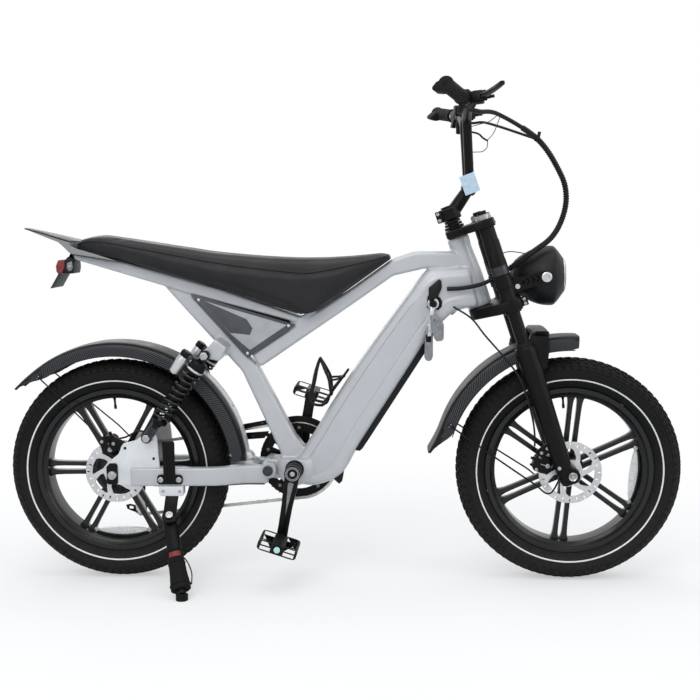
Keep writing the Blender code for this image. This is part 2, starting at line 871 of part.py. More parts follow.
def make_upper_beam(paints):
    """From the middle joint up to the head tube, its upper edge under the seat's nose."""
    upper = [(0.350, 0.588), (0.494, 0.6805), (0.608, 0.7535), (0.717, 0.830), (0.772, 0.847)]
    outline = upper + [(0.880, 0.846), (0.914, 0.800), (0.800, 0.8045)]
    outline += [(0.717, 0.786), (0.607, 0.710), (0.3745, 0.5535)]
    shape = side_prism(outline, -BEAM_HALF, BEAM_HALF, 0.006)
    node("upper_beam", shape, "frame", paints["silver"], cut=[head_cut()])


def make_seat_rail(paints):
    """From the tail to where the beam's edge takes over, under the whole seat."""
    outline = RAIL_TOP[:-1] + [(0.486, 0.6815), (0.470, 0.6700), (0.200, 0.7430)]
    outline += [(0.130, 0.7655), (-0.100, 0.835)]
    shape = side_prism(outline, -RAIL_HALF, RAIL_HALF, 0.004)
    node("seat_rail", shape, "frame", paints["silver"])


def make_strut(paints):
    """From the seat rail down to the crank, with the ears that hold the shocks' tops."""
    outline = [(0.131, 0.7648), (0.200, 0.7423), (0.370, 0.5530), (0.474, 0.352)]
    outline += [(0.478, 0.325), (0.428, 0.3185), (0.327, 0.544)]
    shape = side_prism(outline, -STRUT_HALF, STRUT_HALF, 0.005)
    ear_inner, ear_outer = STRUT_HALF - 0.004, SHOCK_Y - SHOCK_EYE_HALF - GAP
    ear_outline = [(0.300, 0.612), (0.280, 0.578), (0.252, 0.5835), (0.2405, 0.586), (0.235, 0.594)]
    ear_outline += [(0.2375, 0.602), (0.2445, 0.607), (0.272, 0.634)]
    ears = [
        side_prism(ear_outline, ear_inner, ear_outer, 0.002),
        side_prism(ear_outline, -ear_outer, -ear_inner, 0.002),
    ]
    studs = [shock_stud(SHOCK_TOP, side, ear_outer - 0.006) for side in (-1, 1)]
    node("strut_tube", shape, "frame", paints["silver"], add=[join(ears), join(studs)])


SHOCK_STUD = 0.005
SHOCK_EYE_BORE = 0.0075


def shock_stud(place, side, start):
    """A stud through a shock's eye, with its nut outside the eye."""
    nut_start = SHOCK_Y + SHOCK_EYE_HALF + GAP
    profile = [
        (0, start),
        (SHOCK_STUD, start),
        (SHOCK_STUD, nut_start),
        (0.011, nut_start),
        (0.011, nut_start + 0.006),
        (0, nut_start + 0.006),
    ]
    frame = (Vector((place.x, 0, place.z)), X_AXIS, Z_AXIS, Y_AXIS * side)
    return lathe(frame, profile, SMALL)


def make_down_tube(paints):
    """A moulded housing, open along its lower face for the battery."""
    upper = [(0.777, 0.779), (0.620, 0.567), (0.520, 0.432), (0.4868, 0.372), (0.4828, 0.3185)]
    lower = [(0.500, 0.243), (0.548, 0.250), (0.582, 0.272), (0.613, 0.334)]
    head = [(0.796, 0.616), (0.842, 0.660), (0.8905, 0.6945), (0.925, 0.7060), (0.912, 0.7998), (0.8, 0.8041)]
    outline = upper + lower + head
    shape = side_prism(outline, -HOUSING_HALF, HOUSING_HALF, 0.010)
    pocket = side_prism(battery_outline(GAP * 2), -BATTERY_HALF - GAP * 2, BATTERY_HALF + GAP * 2)
    middle = (CRANK_AXIS.x, CRANK_AXIS.z)
    shell = rod((middle[0], -0.08, middle[1]), (middle[0], 0.08, middle[1]), snug(BB_RADIUS, FINE), FINE)
    node(
        "down_tube",
        shape,
        "frame",
        paints["silver"],
        add=[lock_collar()],
        cut=[head_cut(), pocket, shell],
    )


BATTERY_HALF = 0.030


def battery_outline(grow=0.0):
    """The pack's side outline: it shows as a strip along the housing's lower edge."""
    axis = Vector((0.796 - 0.613, 0.616 - 0.334)).normalized()
    out = Vector((axis.y, -axis.x))
    low = Vector((0.628, 0.342))
    length, depth, proud = 0.330, 0.070, 0.004 + grow * 40
    corners = (
        low - out * depth - axis * grow - out * grow,
        low + out * proud - axis * grow,
        low + out * proud + axis * (length + grow),
        low - out * depth + axis * (length + grow) - out * grow,
    )
    return [tuple(corner) for corner in corners]


def make_battery(paints):
    shape = side_prism(battery_outline(), -BATTERY_HALF, BATTERY_HALF, 0.003)
    node("battery_pack", shape, "frame", paints["dark"])


BB_RADIUS = 0.046
LUG_HALF = 0.0354


def make_bb_shell(paints):
    """The crank's shell and the swingarm's lug in one piece, with the pivot's end bolts."""
    bore = snug(0.012)
    low, high = -0.052, 0.052
    shell = lathe(
        side_frame(CRANK_AXIS.x, CRANK_AXIS.z),
        [
            (bore, low),
            (0.030, low),
            (BB_RADIUS, low + 0.010),
            (BB_RADIUS, high - 0.010),
            (0.030, high),
            (bore, high),
        ],
        FINE,
    )
    link = side_prism(
        [(0.394, 0.268), (0.460, 0.262), (0.460, 0.3165), (0.394, 0.316)], -LUG_HALF, LUG_HALF
    )
    pivot_profile = [
        (0, -0.067),
        (0.012, -0.067),
        (0.012, -0.0603),
        (PIVOT_BOLT, -0.0603),
        (PIVOT_BOLT, -LUG_HALF),
        (0.022, -LUG_HALF),
        (0.022, LUG_HALF),
        (PIVOT_BOLT, LUG_HALF),
        (PIVOT_BOLT, 0.0597),
        (0, 0.0597),
    ]
    pivot = lathe(side_frame(PIVOT.x, PIVOT.z), pivot_profile, MEDIUM)
    hole = rod(CRANK_AXIS - Y_AXIS * 0.08, CRANK_AXIS + Y_AXIS * 0.08, bore, MEDIUM)
    strut_gap = side_prism(
        [(0.43, 0.3182), (0.60, 0.3182), (0.60, 0.40), (0.38, 0.40), (0.418, 0.3182)], -0.06, 0.06
    )
    node("bb_shell", shell, "frame", paints["silver"], add=[link, pivot], cut=[hole, strut_gap])


# Seat, panels and lights
SEAT_STATIONS = [
    # x, height of the crown, half-width
    (-0.086, 0.874, 0.044),
    (-0.074, 0.884, 0.056),
    (-0.050, 0.890, 0.064),
    (-0.020, 0.891, 0.069),
    (0.030, 0.884, 0.0735),
    (0.120, 0.870, 0.080),
    (0.200, 0.857, 0.084),
    (0.269, 0.846, 0.0865),
    (0.380, 0.835, 0.087),
    (0.440, 0.831, 0.0855),
    (0.486, 0.829, 0.0840),
    (0.540, 0.829, 0.080),
    (0.610, 0.832, 0.073),
    (0.660, 0.836, 0.064),
    (0.695, 0.840, 0.054),
    (0.712, 0.8425, 0.044),
]
PAN_THICKNESS = 0.004


def seat_floor(x):
    """Height of what the seat rests on: the rail, and then the beam's upper edge."""
    beam = [(0.494, 0.6905), (0.608, 0.7605), (0.717, 0.8365), (0.772, 0.850)]
    rail = [(-0.099, 0.8495), (0.030, 0.8285), (0.269, 0.7605), (0.486, 0.6915)]
    return line_height(rail + beam, x) + PAN_THICKNESS + 2 * GAP


def make_seat(paints):
    """A cushion with a low crown, drawn-in lower sides and a sewn seam round its upper edge."""
    rings = []
    for x, top, half in SEAT_STATIONS:
        low = min(seat_floor(x), top - 0.012)
        height = top - low
        right = [
            (half * 0.84, low),
            (half * 0.93, low + height * 0.22),
            (half, low + height * 0.55),
            (half * 0.985, low + height * 0.74),
            (half * 0.955, low + height * 0.765),
            (half * 0.965, low + height * 0.80),
            (half * 0.90, low + height * 0.91),
            (half * 0.62, top - 0.002),
            (half * 0.30, top + 0.001),
        ]
        left = [(-y, z) for y, z in reversed(right)]
        middle_top = [(0, top + 0.002)]
        ring = [Vector((x, y, z)) for y, z in right + middle_top + left + [(0, low)]]
        rings.append(ring)
    node("seat", loft(rings), "frame", paints["vinyl"])


def make_seat_base(paints):
    """The pan under the cushion and the plate that runs on behind it."""
    floor_points = [(-0.099, 0.8495), (0.030, 0.8285), (0.269, 0.7605), (0.486, 0.6915)]
    under = [(x, z + GAP) for x, z in floor_points]
    over = [(x, z + GAP + PAN_THICKNESS) for x, z in reversed(floor_points)]
    pan = side_prism(under + over, -0.052, 0.052)
    tail = side_prism(
        [(-0.205, 0.912), (-0.210, 0.917), (-0.160, 0.893), (-0.094, 0.8545), (-0.092, 0.8500)],
        -0.070,
        0.070,
        0.0012,
    )
    hanger = side_prism(
        [(-0.1035, 0.858), (-0.1035, 0.846), (-0.150, 0.765), (-0.154, 0.767), (-0.1075, 0.860)],
        -0.038,
        0.038,
    )
    node("seat_base", pan, "frame", paints["dark"], add=[tail, hanger])


def make_tail_light(paints):
    outline = [(-0.1125, 0.8515), (-0.137, 0.8088), (-0.158, 0.813), (-0.150, 0.840), (-0.128, 0.856)]
    shape = side_prism(outline, -0.036, 0.036, 0.003)
    node("tail_light", shape, "frame", paints["red"])


PANEL_BOLTS = [(0.285, 0.688), (0.400, 0.655), (0.345, 0.628)]


def make_side_panels(paints):
    """A near and a far cover, held together by three spacer bolts through the open triangle."""
    outline = [
        (0.203, 0.7410),
        (0.216, 0.7490),
        (0.471, 0.6780),
        (0.474, 0.6640),
        (0.350, 0.5830),
        (0.338, 0.5840),
    ]
    low, high = RAIL_HALF + GAP, RAIL_HALF + GAP + PANEL_THICKNESS
    far = side_prism(outline, low, high)
    near = side_prism(outline, -high, -low)
    bolts = [
        rod((x, -high - 0.002, z), (x, high + 0.002, z), 0.005, 10) for x, z in PANEL_BOLTS
    ]
    node("side_panels", near, "frame", paints["pale"], add=[join(bolts), far])


def make_bottle_cage(paints):
    """A foot strip on the housing's upper edge, with a bent rod that rings the bottle."""
    along = Vector((0.620 - 0.520, 0, 0.567 - 0.432)).normalized()
    out = Vector((-along.z, 0, along.x))
    foot = Vector((0.520, 0, 0.432)) + out * GAP
    strip = bar(
        foot + along * 0.020 + out * 0.003, foot + along * 0.140 + out * 0.003, 0.018, 0.006, Y_AXIS
    )
    loops = []
    for side in (-1, 1):
        path = [
            foot + along * 0.030 + out * 0.005 + Y_AXIS * side * 0.006,
            foot + along * 0.028 + out * 0.022 + Y_AXIS * side * 0.034,
            foot + along * 0.034 + out * 0.058 + Y_AXIS * side * 0.034,
            foot + along * 0.120 + out * 0.074 + Y_AXIS * side * 0.022,
            foot + along * 0.132 + out * 0.074,
        ]
        loops.append(tube(smooth_path(path, 3), 0.003, 6))
        brace = [
            foot + along * 0.132 + out * 0.005 + Y_AXIS * side * 0.006,
            foot + along * 0.128 + out * 0.030 + Y_AXIS * side * 0.036,
            foot + along * 0.090 + out * 0.068 + Y_AXIS * side * 0.028,
        ]
        loops.append(tube(smooth_path(brace, 3), 0.003, 6))
    node("bottle_cage", strip, "frame", paints["dark"], add=loops)


LOCK_PLACE = Vector((0.817, -HOUSING_HALF, 0.716))


def lock_collar():
    """A raised collar on the housing; the key turns in its bore."""
    profile = [(0.0053, -0.001), (0.0150, -0.001), (0.0140, 0.004), (0.0053, 0.004)]
    return lathe((LOCK_PLACE, X_AXIS, Z_AXIS, -Y_AXIS), profile, MEDIUM)


def make_key(paints):
    """A key with its bow outside the collar, and two fobs on a strap below it."""
    stem = lathe(
        (LOCK_PLACE, X_AXIS, Z_AXIS, -Y_AXIS),
        [(0, 0.0008), (0.005, 0.0008), (0.005, 0.010), (0.009, 0.010), (0.009, 0.020), (0, 0.020)],
        SMALL,
    )
    low, high = LOCK_PLACE.y - 0.016, LOCK_PLACE.y - 0.012
    strap = side_prism(
        [(0.811, 0.712), (0.822, 0.712), (0.812, 0.635), (0.802, 0.635)], low, high
    )
    fob = side_prism(
        [(0.806, 0.690), (0.830, 0.684), (0.843, 0.668), (0.841, 0.626), (0.824, 0.622), (0.812, 0.650)],
        low - 0.006,
        low + 0.001,
        0.002,
    )
    tag = side_prism(
        [(0.796, 0.645), (0.816, 0.648), (0.815, 0.580), (0.806, 0.572), (0.794, 0.580)],
        high - 0.001,
        high + 0.007,
        0.002,
    )
    node("key", stem, "key", paints["dark"], add=[strap, fob, tag])


# Drive
CRANK_INNER = 0.092
CRANK_OUTER = 0.107
PEDAL_LOW = 0.113
PEDAL_HIGH = 0.203


def crank_end(side):
    angle = CRANK_BACK_ANGLE
    down = Vector((-math.sin(angle), 0, -math.cos(angle)))
    return CRANK_AXIS + down * CRANK_LENGTH * (1 if side < 0 else -1)


def crank_arm(side):
    """An arm from the axle to the pedal's spindle, drawn in the plane of the wheels."""
    end = crank_end(side)
    along = (end - CRANK_AXIS).normalized()
    across = along.cross(Y_AXIS)
    outline = []
    for distance, half in ((-0.018, 0.010), (-0.010, 0.018), (0.030, 0.017), (0.150, 0.012)):
        outline.append((distance, half))
    outline += [(CRANK_LENGTH + 0.012, 0.010), (CRANK_LENGTH + 0.016, 0.005)]
    ring = outline + [(a, -b) for a, b in reversed(outline)]
    low, high = sorted((side * CRANK_INNER, side * CRANK_OUTER))
    return prism(ring, (CRANK_AXIS, along, across, Y_AXIS), low, high, 0.002)


def spindle(side):
    end = crank_end(side)
    frame = (Vector((end.x, 0, end.z)), X_AXIS, Z_AXIS, Y_AXIS * side)
    profile = [
        (0, CRANK_INNER + 0.003),
        (0.006, CRANK_INNER + 0.003),
        (0.006, PEDAL_HIGH + GAP),
        (0.008, PEDAL_HIGH + GAP),
        (0.008, PEDAL_HIGH + 0.004),
        (0, PEDAL_HIGH + 0.004),
    ]
    return lathe(frame, profile, SMALL)


def make_cranks(paints):
    """The far arm carries the axle; the near arm's boss is bored for its end."""
    frame = side_frame(CRANK_AXIS.x, CRANK_AXIS.z)
    axle_end = -CRANK_OUTER - 0.003
    axle = [(0, axle_end), (0.0085, axle_end), (0.0085, -0.0582), (0.0120, -0.0582)]
    axle += [(0.0120, 0.098), (0, 0.098)]
    node(
        "crank_far",
        crank_arm(1),
        "crank",
        paints["black"],
        add=[lathe(frame, axle, MEDIUM), spindle(1)],
    )
    hub = [(0.007, -0.108), (0.021, -0.108), (0.021, -0.0585), (0.007, -0.0585)]
    bore = rod(CRANK_AXIS - Y_AXIS * 0.13, CRANK_AXIS - Y_AXIS * 0.0500, snug(0.0085), MEDIUM)
    node(
        "crank_near",
        crank_arm(-1),
        "crank",
        paints["black"],
        add=[lathe(frame, hub, MEDIUM), spindle(-1)],
        cut=[bore],
    )


def make_chainring(paints):
    """Toothless ring inside a guard, on five arms from a boss round the axle."""
    frame = side_frame(CRANK_AXIS.x, CRANK_AXIS.z)
    low, high = CHAINRING_Y - 0.002, CHAINRING_Y + 0.002
    root = CHAINRING_ROOT
    ring = [
        (root - 0.020, low),
        (root, low),
        (root, high),
        (root - 0.004, high),
        (root - 0.004, high + 0.002),
        (root + 0.006, high + 0.0035),
        (root + 0.006, high + 0.006),
        (root - 0.020, high + 0.006),
    ]
    boss = [(snug(0.012), low), (0.024, low), (0.024, high + 0.012), (snug(0.012), high + 0.012)]
    arms = []
    for i in range(5):
        angle = TAU * i / 5 + 0.3
        foot = turned(angle, 0.020, CRANK_AXIS) + Y_AXIS * (CHAINRING_Y + 0.004)
        tip = turned(angle, root - 0.016, CRANK_AXIS) + Y_AXIS * (CHAINRING_Y + 0.004)
        arms.append(bar(foot, tip, 0.018, 0.006, (tip - foot).cross(Y_AXIS)))
    middle = lathe(frame, boss, MEDIUM)
    node("chainring", lathe(frame, ring, FINE), "crank", paints["steel"], add=[join(arms), middle])


def make_pedal(name, side, body, paints):
    """A barrel round the spindle inside a rectangular cage."""
    end = crank_end(side)
    tilt = PEDAL_TILT
    along = X_AXIS * math.cos(tilt) + Z_AXIS * math.sin(tilt)
    up = Y_AXIS.cross(along) * -1
    frame = (Vector((end.x, 0, end.z)), along, up, Y_AXIS)
    low, high = sorted((side * PEDAL_LOW, side * PEDAL_HIGH))
    barrel = lathe(frame, [(0.004, low), (0.0135, low), (0.0135, high), (0.004, high)], SMALL)
    outer = [(-0.050, -0.006), (-0.044, -0.013), (0.044, -0.013), (0.050, -0.006)]
    outer += [(0.050, 0.006), (0.044, 0.013), (-0.044, 0.013), (-0.050, 0.006)]
    cage = prism(outer, frame, low, high, 0.0015)
    window = [(-0.040, -0.02), (-0.016, -0.02), (-0.016, 0.02), (-0.040, 0.02)]
    other = [(-a, b) for a, b in reversed(window)]
    wall = 0.008
    windows = [
        prism(window, frame, low + wall, high - wall),
        prism(other, frame, low + wall, high - wall),
    ]
    side_window = [(-0.042, -0.008), (-0.016, -0.008), (-0.016, 0.008), (-0.042, 0.008)]
    other_side = [(-a, b) for a, b in reversed(side_window)]
    windows_side = [
        prism(side_window, frame, low - 0.01, high + 0.01),
        prism(other_side, frame, low - 0.01, high + 0.01),
    ]
    bore = rod((end.x, low - 0.01, end.z), (end.x, high + 0.01, end.z), snug(0.006, SMALL), SMALL)
    node(
        name, cage, body, paints["dark"], add=[barrel], cut=[join(windows), join(windows_side), bore]
    )


def arc_points(centre, radius, start, end, steps):
    return [turned(start + (end - start) * i / steps, radius, centre) for i in range(steps + 1)]


GUIDE_PULLEY = Vector((0.022, 0, 0.196))
TENSION_PULLEY = Vector((0.034, 0, 0.160))
PULLEY_ROOT = 0.011


def chain_path():
    """The chain's middle line: chainring, cog, then forward of one pulley and behind the other."""
    offset = CHAIN_CLEARANCE + CHAIN_HEIGHT / 2
    ring, cog, pulley = CHAINRING_ROOT + offset, COG_ROOT + offset, PULLEY_ROOT + offset
    rad = math.radians
    return (
        arc_points(CRANK_AXIS, ring, rad(-78), rad(99), 18)
        + arc_points(REAR_HUB, cog, rad(99), rad(330), SMALL)
        + arc_points(GUIDE_PULLEY, pulley, rad(140), rad(-20), 5)[1:]
        + arc_points(TENSION_PULLEY, pulley, rad(170), rad(285), 6)
    )


def make_chain(paints):
    """A closed band of one section, swept round the path."""
    path = chain_path()
    count = len(path)
    rings = []
    for i, point in enumerate(path):
        tangent = (path[(i + 1) % count] - path[i - 1]).normalized()
        out = tangent.cross(Y_AXIS)
        middle = point + Y_AXIS * CHAINRING_Y
        corners = ((-1, -1), (1, -1), (1, 1), (-1, 1))
        rings.append(
            [middle + out * a * CHAIN_HEIGHT / 2 + Y_AXIS * b * CHAIN_HALF_WIDTH for a, b in corners]
        )
    bm = bmesh.new()
    made = [[bm.verts.new(corner) for corner in ring] for ring in rings]
    for here, there in zip(made, made[1:] + made[:1]):
        for j in range(4):
            k = (j + 1) % 4
            bm.faces.new((here[j], here[k], there[k], there[j]))
    node("chain", to_mesh(bm), "swingarm", paints["steel"])


def make_derailleur(paints):
    """The fixed arm hangs from the far dropout; the cage with both pulleys swings on it."""
    outline = [(0.004, 0.285), (0.026, 0.285), (0.040, 0.230), (0.034, 0.190), (0.012, 0.186), (0.004, 0.230)]
    shape = side_prism(outline, 0.0890, 0.0985, 0.002)
    pin = lathe(
        (Vector((GUIDE_PULLEY.x, 0, GUIDE_PULLEY.z)), X_AXIS, Z_AXIS, Y_AXIS),
        [(0, 0.0785), (0.004, 0.0785), (0.004, 0.090), (0, 0.090)],
        SMALL,
    )
    screw = lathe(
        (Vector((0.015, 0, 0.2755)), X_AXIS, Z_AXIS, Y_AXIS),
        [(0, 0.0868), (0.007, 0.0868), (0.007, 0.0975), (0, 0.0975)],
        SMALL,
    )
    node("derailleur_body", shape, "swingarm", paints["dark"], add=[pin, screw])
    low = CHAINRING_Y - CHAIN_HALF_WIDTH - 0.0035
    high = CHAINRING_Y + CHAIN_HALF_WIDTH + 0.0015
    thick = 0.002
    plate = [(0.010, 0.204), (0.030, 0.210), (0.036, 0.200), (0.047, 0.164)]
    plate += [(0.044, 0.149), (0.030, 0.147), (0.020, 0.158)]
    outer = side_prism(plate, high, high + thick)
    inner = side_prism(plate, low, low + thick)
    middles = []
    for pulley in (GUIDE_PULLEY, TENSION_PULLEY):
        profile = [
            (0, low + 0.001),
            (0.004, low + 0.001),
            (0.004, CHAINRING_Y - 0.002),
            (PULLEY_ROOT - 0.0008, CHAINRING_Y - 0.002),
            (PULLEY_ROOT - 0.0008, CHAINRING_Y + 0.002),
            (0.004, CHAINRING_Y + 0.002),
            (0.004, high + 0.001),
            (0, high + 0.001),
        ]
        middles.append(lathe(side_frame(pulley.x, pulley.z), profile, SMALL))
    bore = snug(0.0040, SMALL)
    collar = lathe(
        side_frame(GUIDE_PULLEY.x, GUIDE_PULLEY.z),
        [(bore, high + 0.001), (0.008, high + 0.001), (0.008, 0.0885), (bore, 0.0885)],
        SMALL,
    )
    socket = rod(
        GUIDE_PULLEY + Y_AXIS * 0.0780, GUIDE_PULLEY + Y_AXIS * 0.10, bore, SMALL
    )
    node(
        "derailleur_cage",
        outer,
        "derailleur",
        paints["dark"],
        add=[collar, join(middles), inner],
        cut=[socket],
    )


# Swingarm
def arm_side(side):
    """One arm: narrow beside the pivot, spread round the tyre, seen from above."""
    frame = (Vector((0, 0, 0)), X_AXIS, Y_AXIS * side, Z_AXIS)
    outline = [
        (0.394, 0.0360),
        (0.322, 0.0360),
        (0.262, ARM_INNER),
        (0.090, ARM_INNER),
        (0.060, 0.0790),
        (0.045, 0.0790),
        (0.045, 0.0925),
        (0.090, 0.0925),
        (0.270, ARM_OUTER),
        (0.332, 0.0600),
        (0.394, 0.0600),
    ]
    return prism(outline, frame, 0.2580, 0.3050, 0.003)


def dropout_plate(side):
    low, high = sorted((side * 0.0785, side * 0.0865))
    outline = [
        (-0.016, 0.276),
        (-0.016, 0.302),
        (0.000, 0.330),
        (0.018, 0.345),
        (0.026, 0.368),
        (0.062, 0.374),
        (0.082, 0.392),
        (0.106, 0.396),
        (0.116, 0.381),
        (0.124, 0.2595),
        (0.017, 0.2595),
        (0.000, 0.2680),
    ]
    return side_prism(outline, low, high, 0.0012)


def make_arm(name, side, paints, more=(), less=()):
    """The arm with its pivot boss, its dropout plate and the stud of its shock."""
    boss_low, boss_high = sorted((side * 0.0360, side * 0.0600))
    frame = side_frame(PIVOT.x, PIVOT.z)
    bore = snug(PIVOT_BOLT)
    boss = lathe(frame, [(0, boss_low), (0.0205, boss_low), (0.0205, boss_high), (0, boss_high)], MEDIUM)
    stud = shock_stud(SHOCK_FOOT, side, 0.080)
    hole = rod((PIVOT.x, boss_low - 0.01, PIVOT.z), (PIVOT.x, boss_high + 0.01, PIVOT.z), bore, MEDIUM)
    axle_low, axle_high = sorted((side * 0.06, side * 0.10))
    axle_hole = rod((0, axle_low, TYRE_RADIUS), (0, axle_high, TYRE_RADIUS), snug(AXLE_RADIUS), MEDIUM)
    node(
        name,
        arm_side(side),
        "swingarm",
        paints["silver"],
        add=[boss, dropout_plate(side), stud, *more],
        cut=[hole, axle_hole, *less],
    )


def stand_axis():
    down = (stand_foot() - STAND_HINGE).normalized()
    return down.cross(STAND_FOLDED).normalized()


def stand_foot():
    """Middle of the pad's lower face, on the floor of the leaned bike."""
    height = (floor_height() - math.sin(LEAN) * STAND_FOOT_Y) / math.cos(LEAN)
    return Vector((STAND_FOOT_X, STAND_FOOT_Y, height))


def stand_bracket():
    """The bolted block under the near arm and the hinge plate below it."""
    block = side_prism(
        [(0.120, 0.2600), (0.118, 0.240), (0.124, 0.232), (0.178, 0.232), (0.182, 0.240), (0.182, 0.2600)],
        -0.0945,
        -0.066,
    )
    axis = stand_axis()
    outer = STAND_HINGE - axis * 0.006
    top = Vector((0.152, -0.0875, 0.240))
    cheek = bar(top, outer + (top - outer).normalized() * 0.008, 0.036, 0.009, X_AXIS)
    boss = lathe(
        axis_frame(STAND_HINGE, -axis), [(0, 0.0015), (0.018, 0.0015), (0.018, 0.0115), (0, 0.0115)], MEDIUM
    )
    return [block, cheek, boss]


def make_swingarm(paints):
    axis = stand_axis()
    hinge_hole = rod(STAND_HINGE + axis * 0.01, STAND_HINGE - axis * 0.03, snug(0.006), MEDIUM)
    make_arm("swingarm_near", -1, paints, more=stand_bracket(), less=[hinge_hole])
    make_arm("swingarm_far", 1, paints)
    yoke = [(0.346, 0.268), (0.364, 0.268), (0.364, 0.300), (0.350, 0.3122)]
    yoke += [(0.318, 0.3122), (0.318, 0.306), (0.346, 0.298)]
    node("swingarm_yoke", side_prism(yoke, -0.0357, 0.0357), "swingarm", paints["silver"])


def make_motor(paints):
    """The fixed axle with the stator on it, and a nut outside each dropout."""
    nut = 0.0930
    profile = [
        (0, -0.104),
        (AXLE_RADIUS, -0.104),
        (AXLE_RADIUS, -nut - 0.008),
        (0.011, -nut - 0.008),
        (0.011, -0.0868),
        (AXLE_RADIUS, -0.0868),
        (AXLE_RADIUS, -STATOR_HALF),
        (STATOR_RADIUS, -STATOR_HALF),
        (STATOR_RADIUS, STATOR_HALF),
        (AXLE_RADIUS, STATOR_HALF),
        (AXLE_RADIUS, 0.0868),
        (0.011, 0.0868),
        (0.011, 0.0878),
        (AXLE_RADIUS, 0.0878),
        (AXLE_RADIUS, 0.0885),
        (0, 0.0885),
    ]
    node("motor_core", lathe(side_frame(0, TYRE_RADIUS), profile, MEDIUM), "swingarm", paints["steel"])


def make_rear_caliper(paints):
    shape, slot, _ = make_caliper("rear_caliper", REAR_HUB, "swingarm", paints, math.radians(100))
    bracket = side_prism(
        [(-0.010, 0.360), (0.012, 0.348), (0.052, 0.330), (0.060, 0.345), (0.044, 0.362), (0.004, 0.384)],
        -0.0782,
        -0.0660,
        0.001,
    )
    node("rear_caliper", shape, "swingarm", paints["dark"], add=[bracket], cut=[slot])


def make_kickstand(paints):
    """Hinge stud and eye, leg, flared boot and a pad that lies flat on the floor."""
    axis = stand_axis()
    foot = stand_foot()
    ring = [(0, 0.0012), (0.015, 0.0012), (0.015, 0.0225), (0, 0.0225)]
    eye = lathe(axis_frame(STAND_HINGE, axis), ring, MEDIUM)
    stud = lathe(
        axis_frame(STAND_HINGE, -axis),
        [(0, -0.003), (0.006, -0.003), (0.006, 0.0162), (0.0095, 0.0162), (0.0095, 0.0187), (0, 0.0187)],
        SMALL,
    )
    start = STAND_HINGE + axis * 0.0121
    pad_top = foot + WORLD_UP * 0.014
    along = (pad_top - start).normalized()
    leg = tube([start, start + (pad_top - start) * 0.55, pad_top], [0.0105, 0.0095, 0.009], SMALL)
    across = (X_AXIS - along * along.x).normalized()
    thick = along.cross(across)
    rings = []
    stations = [(0.50, 0.013, 0.012), (0.54, 0.018, 0.015), (0.90, 0.025, 0.018), (0.945, 0.024, 0.017)]
    for part, wide, deep in stations:
        middle = start + (pad_top - start) * part
        ring = []
        for i in range(12):
            angle = TAU * i / 12
            ring.append(middle + across * math.cos(angle) * wide + thick * math.sin(angle) * deep)
        rings.append(ring)
    disc = [(0, 0), (0.014, 0), (0.015, 0.002), (0.015, 0.016), (0, 0.016)]
    pad = lathe(axis_frame(foot, WORLD_UP), disc, SMALL)
    node("kickstand", eye, "kickstand", paints["black"], add=[leg, stud, loft(rings), pad])


# Shocks
def shock_frame(side):
    origin = Vector((SHOCK_TOP.x, side * SHOCK_Y, SHOCK_TOP.z))
    foot = Vector((SHOCK_FOOT.x, side * SHOCK_Y, SHOCK_FOOT.z))
    axis = (foot - origin).normalized()
    return origin, Y_AXIS, axis.cross(Y_AXIS), axis


SHOCK_LENGTH = (SHOCK_FOOT - SHOCK_TOP).length


def eye_ring(centre, side, bore, radius):
    low, high = SHOCK_Y - SHOCK_EYE_HALF, SHOCK_Y + SHOCK_EYE_HALF
    frame = (Vector((centre.x, 0, centre.z)), X_AXIS, Z_AXIS, Y_AXIS * side)
    return lathe(frame, [(bore, low), (radius, low), (radius, high), (bore, high)], MEDIUM)


def make_shock(tag, side, paints):
    frame = shock_frame(side)
    body = "shock_" + tag
    bore_top = snug(SHOCK_STUD)
    cylinder = [
        (0, 0.009),
        (0.0085, 0.009),
        (0.0085, 0.016),
        (0.0225, 0.020),
        (0.0225, SPRING_TOP - GAP),
        (0.0125, SPRING_TOP - GAP),
        (0.0125, 0.150),
        (0.0066, 0.150),
        (0.0066, 0.048),
        (0, 0.048),
    ]
    origin, _, second, axis = frame
    beside = second if second.x < 0 else -second
    can_start = origin + beside * 0.040 + axis * 0.018
    can = rod(can_start, can_start + axis * 0.064, 0.014, SMALL)
    neck = bar(origin + axis * 0.030, can_start + axis * 0.012, 0.022, 0.020, Y_AXIS)
    eye = eye_ring(SHOCK_TOP, side, bore_top, 0.013)
    hole = rod(
        Vector((SHOCK_TOP.x, side * (SHOCK_Y - 0.03), SHOCK_TOP.z)),
        Vector((SHOCK_TOP.x, side * (SHOCK_Y + 0.03), SHOCK_TOP.z)),
        bore_top,
        MEDIUM,
    )
    shell = lathe(frame, cylinder, MEDIUM)
    node(body + "_body", shell, body, paints["black"], add=[eye, can, neck], cut=[hole])
    rod_profile = [
        (0, 0.097),
        (0.0060, 0.097),
        (0.0060, SPRING_FOOT),
        (0.0220, SPRING_FOOT),
        (0.0220, SPRING_FOOT + 0.006),
        (0.0100, SPRING_FOOT + 0.012),
        (0.0090, SHOCK_LENGTH - 0.008),
        (0, SHOCK_LENGTH - 0.008),
    ]
    foot_eye = eye_ring(SHOCK_FOOT, side, SHOCK_EYE_BORE, 0.0135)
    foot_hole = rod(
        Vector((SHOCK_FOOT.x, side * (SHOCK_Y - 0.03), SHOCK_FOOT.z)),
        Vector((SHOCK_FOOT.x, side * (SHOCK_Y + 0.03), SHOCK_FOOT.z)),
        SHOCK_EYE_BORE,
        MEDIUM,
    )
    stem = lathe(frame, rod_profile, MEDIUM)
    node(body + "_rod", stem, body + "_rod", paints["steel"], add=[foot_eye], cut=[foot_hole])
    node(body + "_spring", coil(frame), body, paints["black"])


